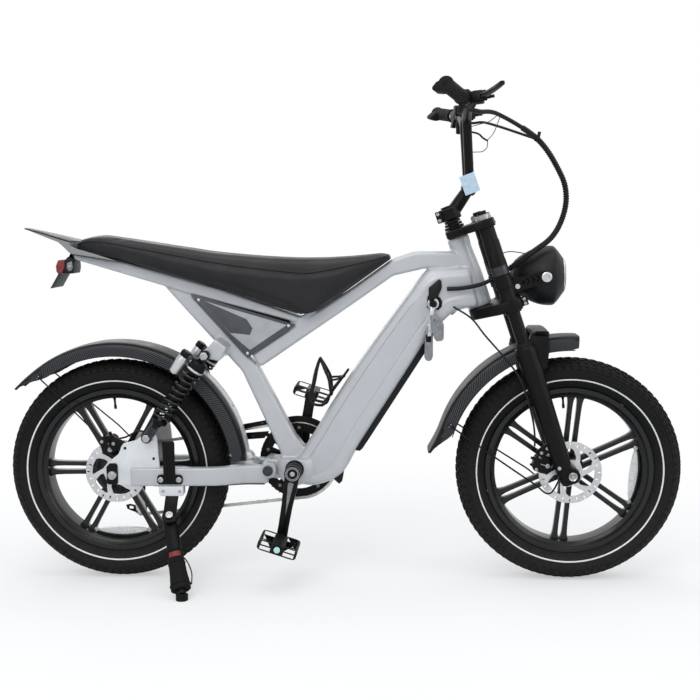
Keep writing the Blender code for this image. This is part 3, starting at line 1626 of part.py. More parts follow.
def coil(frame):
    """One wire from the upper seat to the lower, its ends straight for one wire's width."""
    origin, first, second, axis = frame
    low = SPRING_TOP + SPRING_WIRE
    high = SPRING_FOOT - GAP - SPRING_WIRE
    steps = SPRING_TURNS * 8
    points = []
    for i in range(steps + 1):
        angle = TAU * i / 8
        radial = first * math.cos(angle) + second * math.sin(angle)
        points.append(origin + radial * SPRING_MEAN + axis * (low + (high - low) * i / steps))
    for end, inner in ((0, 1), (-1, -2)):
        step = (points[end] - points[inner]).normalized()
        step = (step - axis * step.dot(axis)).normalized() * SPRING_WIRE * 2
        points.insert(0 if end == 0 else len(points), points[end] + step)
    spring_gap(points)
    return tube(points, SPRING_WIRE, 6)


def spring_gap(points):
    """Prints the least space between one turn of the wire and the next."""
    apart = [
        (point - other).length
        for i, point in enumerate(points)
        for other in points[i + 5 :]
    ]
    print("least gap between the spring's turns", round(min(apart) - 2 * SPRING_WIRE, 5), "m")


# Handlebar and controls
BAR_MIDDLE = Vector((0.908, 0.0, 1.003))
BAR_BEND = Vector((0.896, 0.180, 1.197))
BAR_END = Vector((0.839, 0.330, 1.221))


def bar_point(part, side):
    point = BAR_BEND.lerp(BAR_END, part)
    return Vector((point.x, point.y * side, point.z))


def bar_frame(part, side):
    """A frame along the grip's line: outwards, with its first direction ahead of the bar."""
    axis = bar_point(1, side) - bar_point(0, side)
    axis.normalize()
    ahead = (X_AXIS - axis * axis.x).normalized()
    return bar_point(part, side), ahead, axis.cross(ahead) * -side, axis


def make_handlebar(paints):
    """One bent tube, with the clamp of each brake lever cast round it."""
    corners = [(0.908, 0.047, 1.003), (0.899, 0.064, 1.170), BAR_BEND]
    far = [Vector(point) for point in corners] + [BAR_END]
    near = [mirrored(point) for point in reversed(far)]
    curve = rounded_path(near + far, 0.022)
    clamps = []
    pins = []
    for side in (-1, 1):
        origin, ahead, up, axis = bar_frame(LEVER_PART, side)
        band = [(0.008, -0.009), (0.0165, -0.009), (0.0165, 0.009), (0.008, 0.009)]
        clamps.append(lathe((origin, ahead, up, axis), band, SMALL))
        arm = [(0.010, -0.007), (0.054, -0.007), (0.054, -0.0045), (0.010, -0.0045)]
        for flip in (-1, 1):
            cheek = [(a, b * flip) for a, b in arm]
            if flip < 0:
                cheek.reverse()
            clamps.append(prism(cheek, (origin, ahead, up, axis), -0.0082, 0.014))
        reach = snug(PIN_RADIUS, SMALL)
        hole = [(0, -0.02), (reach, -0.02), (reach, 0.02), (0, 0.02)]
        pins.append(lathe((lever_hinge(side), ahead, axis, ahead.cross(axis)), hole, SMALL))
    shape = tube(curve, BAR_RADIUS, 10)
    node("handlebar", shape, "steering", paints["black"], add=clamps, cut=[join(pins)])


LEVER_PART = 0.19
GRIP_PART = 0.30
LEVER_REACH = 0.046
THUMB_PART = 0.08
PIN_RADIUS = 0.0022


def lever_hinge(side):
    origin, ahead, _, axis = bar_frame(LEVER_PART, side)
    return origin + ahead * LEVER_REACH + axis * 0.006


def make_brake_lever(name, side, body, paints):
    """A blade between the clamp's cheeks, on a pin through its root."""
    hinge = lever_hinge(side)
    _, ahead, up, axis = bar_frame(LEVER_PART, side)
    outline = [
        (-0.006, -0.004),
        (0.004, -0.006),
        (0.014, 0.004),
        (0.034, 0.026),
        (0.056, 0.054),
        (0.076, 0.083),
        (0.074, 0.090),
        (0.066, 0.088),
        (0.044, 0.060),
        (0.018, 0.030),
        (-0.004, 0.008),
    ]
    frame = (hinge, ahead, axis, ahead.cross(axis))
    blade = prism(outline, frame, -0.0041, 0.0041, 0.001)
    pin = lathe(frame, [(0, -0.0068), (PIN_RADIUS, -0.0068), (PIN_RADIUS, 0.0068), (0, 0.0068)], SMALL)
    node(name, blade, body, paints["dark"], add=[pin])


def make_grip(name, side, paints):
    origin, ahead, up, axis = bar_frame(GRIP_PART, side)
    length = (bar_point(1, side) - origin).length
    bore = snug(BAR_RADIUS)
    profile = [
        (bore, 0),
        (0.0185, 0),
        (0.0185, 0.004),
        (GRIP_RADIUS, 0.006),
        (GRIP_RADIUS, length - 0.004),
        (0.0185, length - 0.002),
        (0.0185, length + 0.003),
        (0, length + 0.003),
        (0, length + GAP),
        (bore, length + GAP),
    ]
    node(name, lathe((origin, ahead, up, axis), profile, MEDIUM), "steering", paints["rubber"])


def make_thumb_control(name, side, body, paints):
    """A ring that turns round the bar, with its paddle below and behind it."""
    origin, ahead, up, axis = bar_frame(THUMB_PART, side)
    bore = snug(BAR_RADIUS)
    ring = [(bore, -0.008), (0.0175, -0.008), (0.0175, 0.008), (bore, 0.008)]
    frame = (origin, ahead, up, axis)
    outline = [(-0.016, -0.004), (-0.022, -0.028), (-0.012, -0.030), (-0.004, -0.0145)]
    paddle = prism(outline, frame, -0.0065, 0.0065, 0.001)
    node(name, lathe(frame, ring, MEDIUM), body, paints["dark"], add=[paddle])


def make_stem(paints):
    """A clamp on the steerer and one round the bar, joined by a rising arm."""
    low, high = 0.2303, 0.262
    clamp = lathe(
        fork_frame(0, 0),
        [(0.010, low), (0.023, low), (0.023, high), (0.010, high)],
        MEDIUM,
    )
    middle = side_frame(BAR_MIDDLE.x, BAR_MIDDLE.z)
    bore = snug(BAR_RADIUS)
    ring = lathe(middle, [(bore, -0.024), (0.019, -0.024), (0.019, 0.024), (bore, 0.024)], MEDIUM)
    base = fork_point((low + high) / 2, 0.016)
    arm = bar(base, BAR_MIDDLE, 0.036, 0.024, Y_AXIS)
    hole = rod(BAR_MIDDLE - Y_AXIS * 0.04, BAR_MIDDLE + Y_AXIS * 0.04, bore, MEDIUM)
    reach = snug(STEERER_RADIUS)
    steerer = lathe(fork_frame(0, 0), [(0, 0.2), (reach, 0.2), (reach, 0.30), (0, 0.30)], MEDIUM)
    node("stem", clamp, "steering", paints["dark"], add=[ring, arm], cut=[hole, steerer])


# Headlight
LAMP_PIVOT = Vector((1.095, 0.0, 0.783))


def lamp_frame():
    return Vector((0, 0, LAMP_PIVOT.z)), Y_AXIS, Z_AXIS, X_AXIS


def make_headlight(paints):
    """A deep bucket, open in front, with a pivot boss on each side."""
    profile = [
        (0, 1.014),
        (0.024, 1.014),
        (0.040, 1.024),
        (0.056, 1.048),
        (0.068, 1.072),
        (0.0745, 1.095),
        (0.0740, 1.112),
        (0.066, 1.128),
        (0.050, 1.138),
        (0.0455, 1.141),
        (0.0445, 1.139),
        (0.0445, 1.131),
        (0.040, 1.126),
        (0.040, 1.100),
        (0.020, 1.070),
        (0, 1.070),
    ]
    bosses = []
    for side in (-1, 1):
        frame = (Vector((LAMP_PIVOT.x, 0, LAMP_PIVOT.z)), X_AXIS, Z_AXIS, Y_AXIS * side)
        boss = [(0, 0.066), (0.012, 0.066), (0.012, 0.0777), (0.0055, 0.0777), (0.0055, 0.0835), (0, 0.0835)]
        bosses.append(lathe(frame, boss, SMALL))
    node("headlight_shell", lathe(lamp_frame(), profile, FINE), "headlight", paints["black"], add=bosses)
    lens = [(0, 1.1315), (0.0442, 1.1315), (0.0442, 1.1375), (0.030, 1.1405), (0, 1.1415)]
    node("headlight_lens", lathe(lamp_frame(), lens, FINE), "headlight", paints["lens"])


def lamp_arms():
    """The lamp's side arms, clamped round the stanchions."""
    shapes = []
    outline = [
        (0.978, 0.752),
        (1.020, 0.744),
        (1.080, 0.7685),
        (1.097, 0.770),
        (1.108, 0.778),
        (1.108, 0.788),
        (1.097, 0.796),
        (1.030, 0.782),
        (0.978, 0.790),
    ]
    for side in (-1, 1):
        low, high = sorted((side * 0.0780, side * 0.0830))
        shapes.append(side_prism(outline, low, high))
        shapes.append(
            lathe(
                fork_frame(FORK_AHEAD, side * LEG_Y),
                [(0, 0.030), (0.0200, 0.030), (0.0200, 0.060), (0, 0.060)],
                MEDIUM,
            )
        )
    holes = [
        rod(LAMP_PIVOT + Y_AXIS * side * 0.07, LAMP_PIVOT + Y_AXIS * side * 0.09, snug(0.0055, SMALL), SMALL)
        for side in (-1, 1)
    ]
    return shapes, holes


# Cables
def cable(name, route, radius, body, material, spacing):
    """A curve with filled ends, on points read at even steps from a smooth line."""
    line = smooth_path(route, 12)
    lengths = [0.0]
    for before, after in zip(line, line[1:]):
        lengths.append(lengths[-1] + (after - before).length)
    count = max(2, round(lengths[-1] / spacing))
    points = []
    for i in range(count + 1):
        wanted = lengths[-1] * i / count
        k = min(j for j in range(1, len(line)) if lengths[j] >= wanted - 1e-9)
        share = (wanted - lengths[k - 1]) / (lengths[k] - lengths[k - 1])
        points.append(line[k - 1].lerp(line[k], share))
    curve = bpy.data.curves.new(name, "CURVE")
    curve.dimensions = "3D"
    curve.bevel_depth = radius
    curve.bevel_resolution = 2
    curve.use_fill_caps = True
    curve.materials.append(material)
    spline = curve.splines.new("POLY")
    spline.points.add(len(points) - 1)
    place = BODY_PLACES[body][1]
    for target, point in zip(spline.points, points):
        target.co = (*(point - place), 1)
    made = bpy.data.objects.new(name, curve)
    bpy.context.scene.collection.objects.link(made)
    made.parent = BODY_PLACES[body][0]
    print(name, "is", round(lengths[-1], 3), "m long")


LOOM_RADIUS = 0.0055
HOSE_RADIUS = 0.0024
LOOM_ROUTE = [
    (0.925, -0.150, 1.178),
    (0.975, -0.100, 1.175),
    (1.077, -0.030, 1.119),
    (1.135, 0.000, 1.040),
    (1.151, 0.000, 0.985),
    (1.142, -0.010, 0.930),
    (1.112, -0.035, 0.880),
    (1.060, -0.056, 0.842),
    (1.002, -0.056, 0.801),
    (0.945, -0.053, 0.768),
    (0.895, -0.052, 0.756),
    (0.852, -0.0458, 0.753),
]
FRONT_HOSE_ROUTE = [
    (0.868, -0.0430, 0.708),
    (0.912, -0.060, 0.680),
    (0.944, -0.085, 0.640),
    (0.985, -0.116, 0.594),
    (1.022, -0.118, 0.545),
    (1.045, -0.113, 0.490),
    (1.062, -0.098, 0.430),
    (1.070, -0.072, 0.385),
    (1.0718, -0.058, 0.3560),
]
REAR_HOSE_ROUTE = [
    (0.0078, -0.0560, 0.3746),
    (0.030, -0.0585, 0.380),
    (0.066, -0.0600, 0.396),
    (0.090, -0.0605, 0.380),
    (0.094, -0.0608, 0.330),
    (0.095, -0.0608, 0.280),
    (0.104, -0.0610, 0.2545),
    (0.140, -0.0620, 0.2550),
    (0.200, -0.0640, 0.2550),
    (0.262, -0.0660, 0.2550),
    (0.330, -0.0480, 0.2552),
    (0.384, -0.0480, 0.2552),
]


def make_cables(paints):
    cable("loom", LOOM_ROUTE, LOOM_RADIUS, "steering", paints["rubber"], 0.026)
    hose = paints["rubber"]
    cable("front_brake_hose", FRONT_HOSE_ROUTE, HOSE_RADIUS, "steering", hose, 0.014)
    cable("rear_brake_hose", REAR_HOSE_ROUTE, HOSE_RADIUS, "swingarm", hose, 0.014)


def add_bodies():
    add_body("bike", (0, 0, 0), None)
    add_body("frame", (0, 0, 0), "bike")
    add_body("key", LOCK_PLACE, "frame")
    add_body("crank", CRANK_AXIS, "frame")
    add_body("pedal_near", crank_end(-1), "crank")
    add_body("pedal_far", crank_end(1), "crank")
    add_body("swingarm", PIVOT, "frame")
    add_body("rear_wheel", REAR_HUB, "swingarm")
    add_body("freewheel", REAR_HUB, "swingarm")
    add_body("derailleur", GUIDE_PULLEY, "swingarm")
    add_body("kickstand", STAND_HINGE, "swingarm")
    for tag, side in (("near", -1), ("far", 1)):
        top = Vector((SHOCK_TOP.x, side * SHOCK_Y, SHOCK_TOP.z))
        foot = Vector((SHOCK_FOOT.x, side * SHOCK_Y, SHOCK_FOOT.z))
        add_body("shock_" + tag, top, "frame")
        add_body("shock_" + tag + "_rod", foot, "shock_" + tag)
    add_body("steering", HEAD_BASE, "frame")
    add_body("fork_lower", FRONT_HUB, "steering")
    add_body("front_wheel", FRONT_HUB, "fork_lower")
    add_body("headlight", LAMP_PIVOT, "steering")
    for tag, side in (("near", -1), ("far", 1)):
        add_body("lever_" + tag, lever_hinge(side), "steering")
        add_body("thumb_" + tag, bar_point(THUMB_PART, side), "steering")


def lean_and_place():
    """Leans the bike onto its stand, then centres its footprint with the floor at z = 0."""
    root = BODY_PLACES["bike"][0]
    root.rotation_euler = (LEAN, 0, 0)
    bpy.context.view_layer.update()
    graph = bpy.context.evaluated_depsgraph_get()
    low, high = Vector((9, 9, 9)), Vector((-9, -9, -9))
    for obj in bpy.context.scene.objects:
        if obj.type != "MESH" or obj.hide_render:
            continue
        evaluated = obj.evaluated_get(graph)
        for vertex in evaluated.to_mesh().vertices:
            place = evaluated.matrix_world @ vertex.co
            low = Vector(min(a, b) for a, b in zip(low, place))
            high = Vector(max(a, b) for a, b in zip(high, place))
        evaluated.to_mesh_clear()
    root.location = (-(low.x + high.x) / 2, -(low.y + high.y) / 2, -low.z)
    bpy.context.view_layer.update()
    print("moved by", [round(value, 6) for value in root.location])


def main():
    clear_scene()
    paints = make_paints()
    add_bodies()
    for build in (
        make_head_tube,
        make_upper_beam,
        make_seat_rail,
        make_strut,
        make_down_tube,
        make_battery,
        make_bb_shell,
        make_seat,
        make_seat_base,
        make_tail_light,
        make_side_panels,
        make_bottle_cage,
        make_key,
        make_cranks,
        make_chainring,
        make_swingarm,
        make_motor,
        make_rear_wheel,
        make_rear_caliper,
        make_rear_fender,
        make_derailleur,
        make_chain,
        make_kickstand,
        make_fork_upper,
        make_top_crown,
        make_stem,
        make_handlebar,
        make_headlight,
        make_fork_lowers,
        make_front_axle,
        make_front_caliper,
        make_front_fender,
        make_front_wheel,
        make_cables,
    ):
        build(paints)
    for tag, side in (("near", -1), ("far", 1)):
        make_pedal("pedal_" + tag, side, "pedal_" + tag, paints)
        make_shock(tag, side, paints)
        make_grip("grip_" + tag, side, paints)
        make_brake_lever("brake_lever_" + tag, side, "lever_" + tag, paints)
    make_thumb_control("shifter", -1, "thumb_near", paints)
    make_thumb_control("throttle", 1, "thumb_far", paints)
    lean_and_place()


main()
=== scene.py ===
"""Finished looks for an electric bicycle with fat tyres, a bench seat, a double-crown fork
and twin rear shocks.

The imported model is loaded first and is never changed. Each piece made here is drawn in the
upright bicycle's own axes: +X forwards, +Y to the chain side, +Z up, the rear axle over
x = 0 and the floor near z = 0, in metres. BIKE then leans it onto its kickstand, where the
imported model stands.
"""

import json
from math import atan2, copysign, cos, hypot, pi, radians, sin

import bpy
from bpy.props import FloatProperty, FloatVectorProperty, IntProperty, PointerProperty
from mathutils import Matrix, Vector, noise

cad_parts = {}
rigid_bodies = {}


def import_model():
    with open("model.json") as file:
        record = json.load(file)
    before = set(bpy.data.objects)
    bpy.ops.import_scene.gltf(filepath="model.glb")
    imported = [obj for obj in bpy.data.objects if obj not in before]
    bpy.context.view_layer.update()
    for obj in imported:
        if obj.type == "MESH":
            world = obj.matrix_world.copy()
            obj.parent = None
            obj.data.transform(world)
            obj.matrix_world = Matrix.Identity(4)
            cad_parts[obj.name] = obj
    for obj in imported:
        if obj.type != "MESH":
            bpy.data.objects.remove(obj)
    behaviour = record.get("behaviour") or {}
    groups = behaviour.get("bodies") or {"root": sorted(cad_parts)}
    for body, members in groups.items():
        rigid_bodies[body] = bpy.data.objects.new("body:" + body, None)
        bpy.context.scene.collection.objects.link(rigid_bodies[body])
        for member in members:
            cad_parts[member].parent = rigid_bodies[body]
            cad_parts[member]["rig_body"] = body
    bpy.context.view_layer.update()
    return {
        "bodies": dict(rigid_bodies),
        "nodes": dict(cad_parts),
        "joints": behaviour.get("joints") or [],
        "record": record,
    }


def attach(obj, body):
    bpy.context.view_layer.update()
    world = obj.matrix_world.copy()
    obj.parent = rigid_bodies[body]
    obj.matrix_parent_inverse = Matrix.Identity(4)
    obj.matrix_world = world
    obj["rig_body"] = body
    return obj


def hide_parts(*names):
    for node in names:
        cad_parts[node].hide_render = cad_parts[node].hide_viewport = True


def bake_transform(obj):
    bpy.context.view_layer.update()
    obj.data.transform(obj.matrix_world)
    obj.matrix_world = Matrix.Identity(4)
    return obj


bl_info = {
    "name": "Electric Bicycle",
    "version": (1, 0, 0),
    "blender": (4, 5, 0),
    "location": "View3D > Sidebar > Bicycle",
    "description": "Builds the finished looks of an electric bicycle round its packed model",
    "category": "Object",
}

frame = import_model()
NODES = frame["nodes"]

TAU = 2 * pi
POINT, PACKED_MERGE = 0.00001, 0.00002
X, Y, Z = Vector((1, 0, 0)), Vector((0, 1, 0)), Vector((0, 0, 1))
moved = Matrix.Translation

# Where the leaned bicycle stands
LEAN = radians(3.0)
BIKE = moved((-0.580742, 0.063494, -0.000559)) @ Matrix.Rotation(LEAN, 4, "X")

# The points that the pieces are placed by
REAR_HUB = Vector((0, 0, 0.288))
FRONT_HUB = Vector((1.161485, 0, 0.287907))
CRANK_AXIS = Vector((0.462, 0, 0.294))
PIVOT = Vector((0.394, 0, 0.292))
HEAD_BASE = Vector((0.937, 0, 0.706))
CASTER = radians(18)
FORK_UP = Vector((-sin(CASTER), 0, cos(CASTER)))
FORK_AHEAD = Vector((cos(CASTER), 0, sin(CASTER)))
LEG_AHEAD, LEG_Y = 0.07, 0.084
SHOCK_TOP = Vector((0.246, 0, 0.594))
SHOCK_FOOT = Vector((0.094, 0, 0.386))
SHOCK_Y = 0.101
LAMP_PIVOT = Vector((1.095, 0, 0.783))


# The materials that many pieces wear
BLACK, PLASTIC, ENAMEL = "satin_black_alloy", "moulded_black_plastic", "gloss_black_enamel"
SILVER, PALE_PLATE, ALLOY = "silver_powder_coat", "pale_silver_plate", "satin_alloy"
ZINC, NICKEL, BLUE_STEEL = "zinc_plate", "chain_nickel", "blue_grey_steel"
TYRE, GRIP, SLEEVE, VINYL = "tyre_rubber", "grip_rubber", "cable_sleeve", "seat_vinyl"
FOB_ALLOY = "fob_alloy"

# The numbers that several pieces share
TYRE_STEPS = 128
FRONT_FENDER, REAR_FENDER = 0.346, 0.336
CALIPER_REACH = 0.064
GUARD_FACES = 0.0588, 0.0604
WELD_VOXEL, PAD_VOXEL = 0.0026, 0.0052


# Selecting and editing
def pick(*objects):
    """Leaves edit mode and selects only these objects, the first of them active."""
    if bpy.context.mode != "OBJECT":
        bpy.ops.object.mode_set(mode="OBJECT")
    bpy.ops.object.select_all(action="DESELECT")
    for obj in objects:
        obj.select_set(True)
    if objects:
        bpy.context.view_layer.objects.active = objects[0]


def edit(obj, mode="VERT"):
    """Opens the object in edit mode with everything in it selected."""
    pick(obj)
    bpy.ops.object.mode_set(mode="EDIT")
    bpy.ops.mesh.select_mode(type=mode)
    bpy.ops.mesh.select_all(action="SELECT")


def close_edit(merge=POINT * 3):
    """Merges doubles, turns every face outwards and goes back to object mode."""
    bpy.ops.mesh.select_all(action="SELECT")
    if merge:
        bpy.ops.mesh.remove_doubles(threshold=merge)
    bpy.ops.mesh.normals_make_consistent(inside=False)
    bpy.ops.object.mode_set(mode="OBJECT")
    return bpy.context.object


def modified(obj, kind, **settings):
    """Adds one modifier with its settings and applies it."""
    pick(obj)
    modifier = obj.modifiers.new(kind, kind)
    for key, value in settings.items():
        setattr(modifier, key, value)
    bpy.ops.object.modifier_apply(modifier=modifier.name)
    return obj


def rounded(obj, width, segments=2, angle=35):
    """Rounds the edges that are sharper than the angle."""
    return modified(
        obj,
        "BEVEL",
        width=width,
        segments=segments,
        limit_method="ANGLE",
        angle_limit=radians(angle),
        use_clamp_overlap=True,
    )


def joined(parts):
    """Makes one object of several; each part keeps its own material."""
    pick(*parts)
    if len(parts) > 1:
        bpy.ops.object.join()
    return parts[0]


def placed(obj, matrix):
    pick(obj)
    obj.matrix_world = matrix @ obj.matrix_world
    bpy.ops.object.transform_apply(location=True, rotation=True, scale=True)
    return obj


def painted(obj, look):
    """Gives the piece one material, by the material's name."""
    obj.data.materials.clear()
    obj.data.materials.append(PAINTS[look])
    return obj


class Parts(list):
    """The painted parts of one finished piece"""

    def add(self, obj, look):
        self.append(painted(obj, look))


def frame_at(origin, along, across=None):
    """A matrix whose Z runs along a direction, with its X near a second one."""
    z = Vector(along).normalized()
    hint = Vector(across) if across else (X if abs(z.x) < 0.9 else Y)
    x = (hint - z * hint.dot(z)).normalized()
    y = z.cross(x)
    return moved(origin) @ Matrix((x, y, z)).transposed().to_4x4()


def smoothed(obj, name, crease, leaned=False):
    """Names a piece, leans it with the bicycle and smooths it up to an angle in degrees."""
    obj.name = name
    obj.data.name = name
    if not leaned:
        placed(obj, BIKE)
    pick(obj)
    bpy.ops.object.shade_smooth_by_angle(angle=radians(crease))
    return obj


def settle(obj, name, body, stands_for=(), crease=35, leaned=False):
    """Finishes a piece and joins it to its body."""
    smoothed(obj, name, crease, leaned)
    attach(obj, body)
    if stands_for:
        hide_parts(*stands_for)
    return obj


def finish(parts, node, body, crease=40):
    """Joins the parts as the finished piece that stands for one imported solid."""
    return settle(joined(parts), node + "_finish", body, (node,), crease)


def stretched(obj, first, last, start, end, stands_for=()):
    """Fixes a finished piece where it stands and hides the solids that it stands for; the two
    bodies and the two points are not used.
    """
    start, end = (tuple(BIKE @ Vector(point)) for point in (start, end))
    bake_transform(obj)
    if stands_for:
        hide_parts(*stands_for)


# Shapes
def mm(*points):
    """Points given in millimetres, in metres."""
    return [tuple(round(value / 1000, 7) for value in point) for point in points]


def mirrored(half):
    """A section's half, then the same mirrored: it closes itself."""
    return half + [(across, -y) for across, y in reversed(half) if y]


def both_sides(half):
    """The same, begun with the first point's mirror image."""
    points = mirrored(half)
    return points[-1:] + points[:-1]


def oblong(near, far, low, high, cut=0, rise=0):
    """An oblong's corners from millimetres; the two at its far side may be cut."""
    if not cut:
        return mm((near, low), (far, low), (far, high), (near, high))
    return mm((near, low), (far - cut, low), (far, low + rise), (far, high - rise),
        (far - cut, high), (near, high))


def rolled(degrees, axis):
    """A turn about a named axis."""
    return Matrix.Rotation(radians(degrees), 4, axis)


def outward(angle):
    """The direction at an angle round the cross axis, from ahead towards up."""
    return Vector((cos(angle), 0, sin(angle)))


def wire(points, closed=True):
    """A chain of edges through the points."""
    pick()
    bpy.ops.mesh.primitive_circle_add(vertices=len(points), radius=1, location=(0, 0, 0))
    obj = bpy.context.object
    for vertex, point in zip(obj.data.vertices, points):
        vertex.co = point
    if not closed:
        last = len(points) - 1
        for edge in obj.data.edges:
            edge.select = set(edge.vertices) == {0, last}
        for vertex in obj.data.vertices:
            vertex.select = vertex.index in (0, last)
        bpy.ops.object.mode_set(mode="EDIT")
        bpy.ops.mesh.select_mode(type="EDGE")
        bpy.ops.mesh.delete(type="EDGE")
        bpy.ops.object.mode_set(mode="OBJECT")
    return obj


def turned(profile, at=None, steps=48):
    """A turned shape: the profile of (radius, height) is spun round the Z of its place.

    A profile that starts on the axis also ends there; any other is closed.
    """
    points = [(max(radius, POINT * 0.5), 0, height) for radius, height in profile]
    obj = wire(points, profile[0][0] > 0)
    edit(obj)
    bpy.ops.mesh.spin(steps=steps, angle=TAU, center=(0, 0, 0), axis=(0, 0, 1))
    close_edit()
    return placed(obj, at) if at else obj


def across_at(centre):
    """The place of a shape turned round the bicycle's cross axis."""
    return frame_at(centre, Y, X)


def plate(outline, low, high, at=None, edge=0.0, segments=2):
    """A flat piece: an outline drawn in X and Z, thickened along Y from low to high."""
    pick()
    bpy.ops.mesh.primitive_circle_add(
        vertices=len(outline), radius=1, fill_type="NGON", location=(0, 0, 0)
    )
    obj = bpy.context.object
    for vertex, (x, z) in zip(obj.data.vertices, outline):
        vertex.co = (x, low, z)
    edit(obj)
    bpy.ops.mesh.extrude_region_move(TRANSFORM_OT_translate={"value": (0, high - low, 0)})
    close_edit()
    if edge:
        rounded(obj, edge, segments)
    return placed(obj, at) if at else obj


def block(size, at, edge=0.0, segments=2):
    """A box of this size at its place, with rounded edges."""
    pick()
    bpy.ops.mesh.primitive_cube_add(size=1, location=(0, 0, 0), scale=size)
    obj = bpy.context.object
    bpy.ops.object.transform_apply(location=False, rotation=False, scale=True)
    if edge:
        rounded(obj, edge, segments)
    return placed(obj, at)


def bar_between(start, end, width, height, across, edge=0.0, taper=1.0):
    """A straight bar from one point to another; its end may be narrower than its start."""
    start, end = Vector(start), Vector(end)
    length = (end - start).length
    obj = block((width, height, length), moved((0, 0, length / 2)))
    if taper != 1.0:
        for vertex in obj.data.vertices:
            vertex.select = vertex.co.z > length / 2
        bpy.ops.object.mode_set(mode="EDIT")
        bpy.ops.transform.resize(value=(taper, taper, 1), center_override=(0, 0, length))
        bpy.ops.object.mode_set(mode="OBJECT")
    if edge:
        rounded(obj, edge)
    return placed(obj, frame_at(start, end - start, across))


def smooth_line(points, per_span=6):
    """Points on a smooth line through the given ones."""
    points = [Vector(point) for point in points]
    ends = [points[0] * 2 - points[1]] + points + [points[-1] * 2 - points[-2]]
    line = []
    for before, a, b, after in zip(ends, ends[1:], ends[2:], ends[3:]):
        for i in range(per_span):
            t = i / per_span
            line.append(
                (
                    a * 2
                    + (b - before) * t
                    + (before * 2 - a * 5 + b * 4 - after) * t * t
                    + (a * 3 - before - b * 3 + after) * t**3
                )
                / 2
            )
    return line + [points[-1]]


def marks(line):
    """How far along a line each of its points is."""
    lengths = [0.0]
    for before, after in zip(line, line[1:]):
        lengths.append(lengths[-1] + (after - before).length)
    return lengths


def evenly(line, count):
    """Points at equal steps along a line, from its start to its end."""
    lengths = marks(line)
    points, k = [], 1
    for i in range(count + 1):
        wanted = lengths[-1] * i / count
        while k < len(line) - 1 and lengths[k] < wanted:
            k += 1
        share = (wanted - lengths[k - 1]) / (lengths[k] - lengths[k - 1])
        points.append(line[k - 1].lerp(line[k], share))
    return points


def pipe(points, radius, sides=3, per_span=6, radii=None, closed=False):
    """A round tube along a smooth line, filled at both ends."""
    line = smooth_line(points, per_span) if per_span > 1 else [Vector(p) for p in points]
    pick()
    bpy.ops.curve.primitive_bezier_curve_add(location=(0, 0, 0))
    obj = bpy.context.object
    curve = obj.data
    curve.splines.clear()
    spline = curve.splines.new("POLY")
    spline.points.add(len(line) - 1)
    for i, point in enumerate(line):
        spline.points[i].co = (*point, 1)
        if radii:
            spline.points[i].radius = radii(i / (len(line) - 1))
    spline.use_cyclic_u = closed
    curve.dimensions = "3D"
    curve.bevel_depth = radius
    curve.bevel_resolution = sides
    curve.use_fill_caps = not closed
    pick(obj)
    bpy.ops.object.convert(target="MESH")
    edit(bpy.context.object)
    return close_edit()


def swept(section, centre, start, end, steps):
    """A bent bar: a closed section of (radius, y) spun part of the way round an axle."""
    ahead = outward(start)
    obj = wire([centre + ahead * radius + Y * y for radius, y in section])
    edit(obj)
    bpy.ops.mesh.spin(steps=steps, angle=end - start, center=centre, axis=(0, 1, 0))
    bpy.ops.mesh.select_all(action="SELECT")
    bpy.ops.mesh.remove_doubles(threshold=POINT)
    bpy.ops.mesh.select_all(action="DESELECT")
    bpy.ops.mesh.select_non_manifold(extend=False)
    bpy.ops.mesh.fill_holes(sides=0)
    return close_edit()


def lofted(rings, capped=True):
    """A skin over rings of equally many points, bridged one to the next."""
    parts = [wire(ring) for ring in rings]
    obj = joined(parts)
    edit(obj, "EDGE")
    bpy.ops.mesh.bridge_edge_loops()
    if capped:
        bpy.ops.mesh.select_all(action="DESELECT")
        bpy.ops.mesh.select_mode(type="VERT")
        bpy.ops.mesh.select_non_manifold(extend=False)
        bpy.ops.mesh.fill_holes(sides=0)
    return close_edit()


def cut_by(obj, cutters):
    """Cuts the shapes of the cutters out of a piece and removes them."""
    cutter = joined(cutters)
    modified(obj, "BOOLEAN", operation="DIFFERENCE", solver="EXACT", object=cutter)
    bpy.data.objects.remove(cutter, do_unlink=True)
    return obj


def around(count, phase=0.0):
    """The outward directions of equal steps round an axle."""
    return [outward(phase + TAU * i / count) for i in range(count)]


def copied(obj, matrix):
    """A copy with its own mesh, moved by a matrix."""
    pick(obj)
    bpy.ops.object.duplicate(linked=False)
    return placed(bpy.context.object, matrix)


def removed(*objects):
    pick(*objects)
    bpy.ops.object.delete()


def turn_about(centre, angle, axis=Y):
    """A turn round an axle; a positive angle goes from +X towards +Z."""
    turn = Matrix.Rotation(-angle, 4, axis)
    return moved(centre) @ turn @ moved(-Vector(centre))


def bolt(centre, axis, radius, height, look, socket=True, sides=20):
    """A turned bolt head, with a round socket in it."""
    rim = [(0, -height), (radius, -height), (radius, height * 0.7), (radius * 0.86, height)]
    if socket:
        rim += [(radius * 0.5, height), (radius * 0.45, height * 0.25), (0, height * 0.25)]
    else:
        rim += [(radius * 0.5, height * 1.12), (0, height * 1.15)]
    return painted(turned(rim, frame_at(centre, axis), sides), look)


def hex_nut(centre, axis, radius, height, look):
    """A six-sided nut with chamfered corners and a stud's end in it."""
    ring = [(radius * cos(a), radius * sin(a)) for a in (TAU * i / 6 for i in range(6))]
    nut = plate(ring, 0, height, edge=height * 0.12)
    stud = turned([(0, 0), (radius * 0.5, 0), (radius * 0.5, height * 1.3), (0, height * 1.4)],
        steps=16)
    placed(nut, rolled(90, "X"))
    placed(nut, frame_at(centre, axis))
    placed(stud, frame_at(centre, axis))
    return painted(joined([nut, stud]), look)


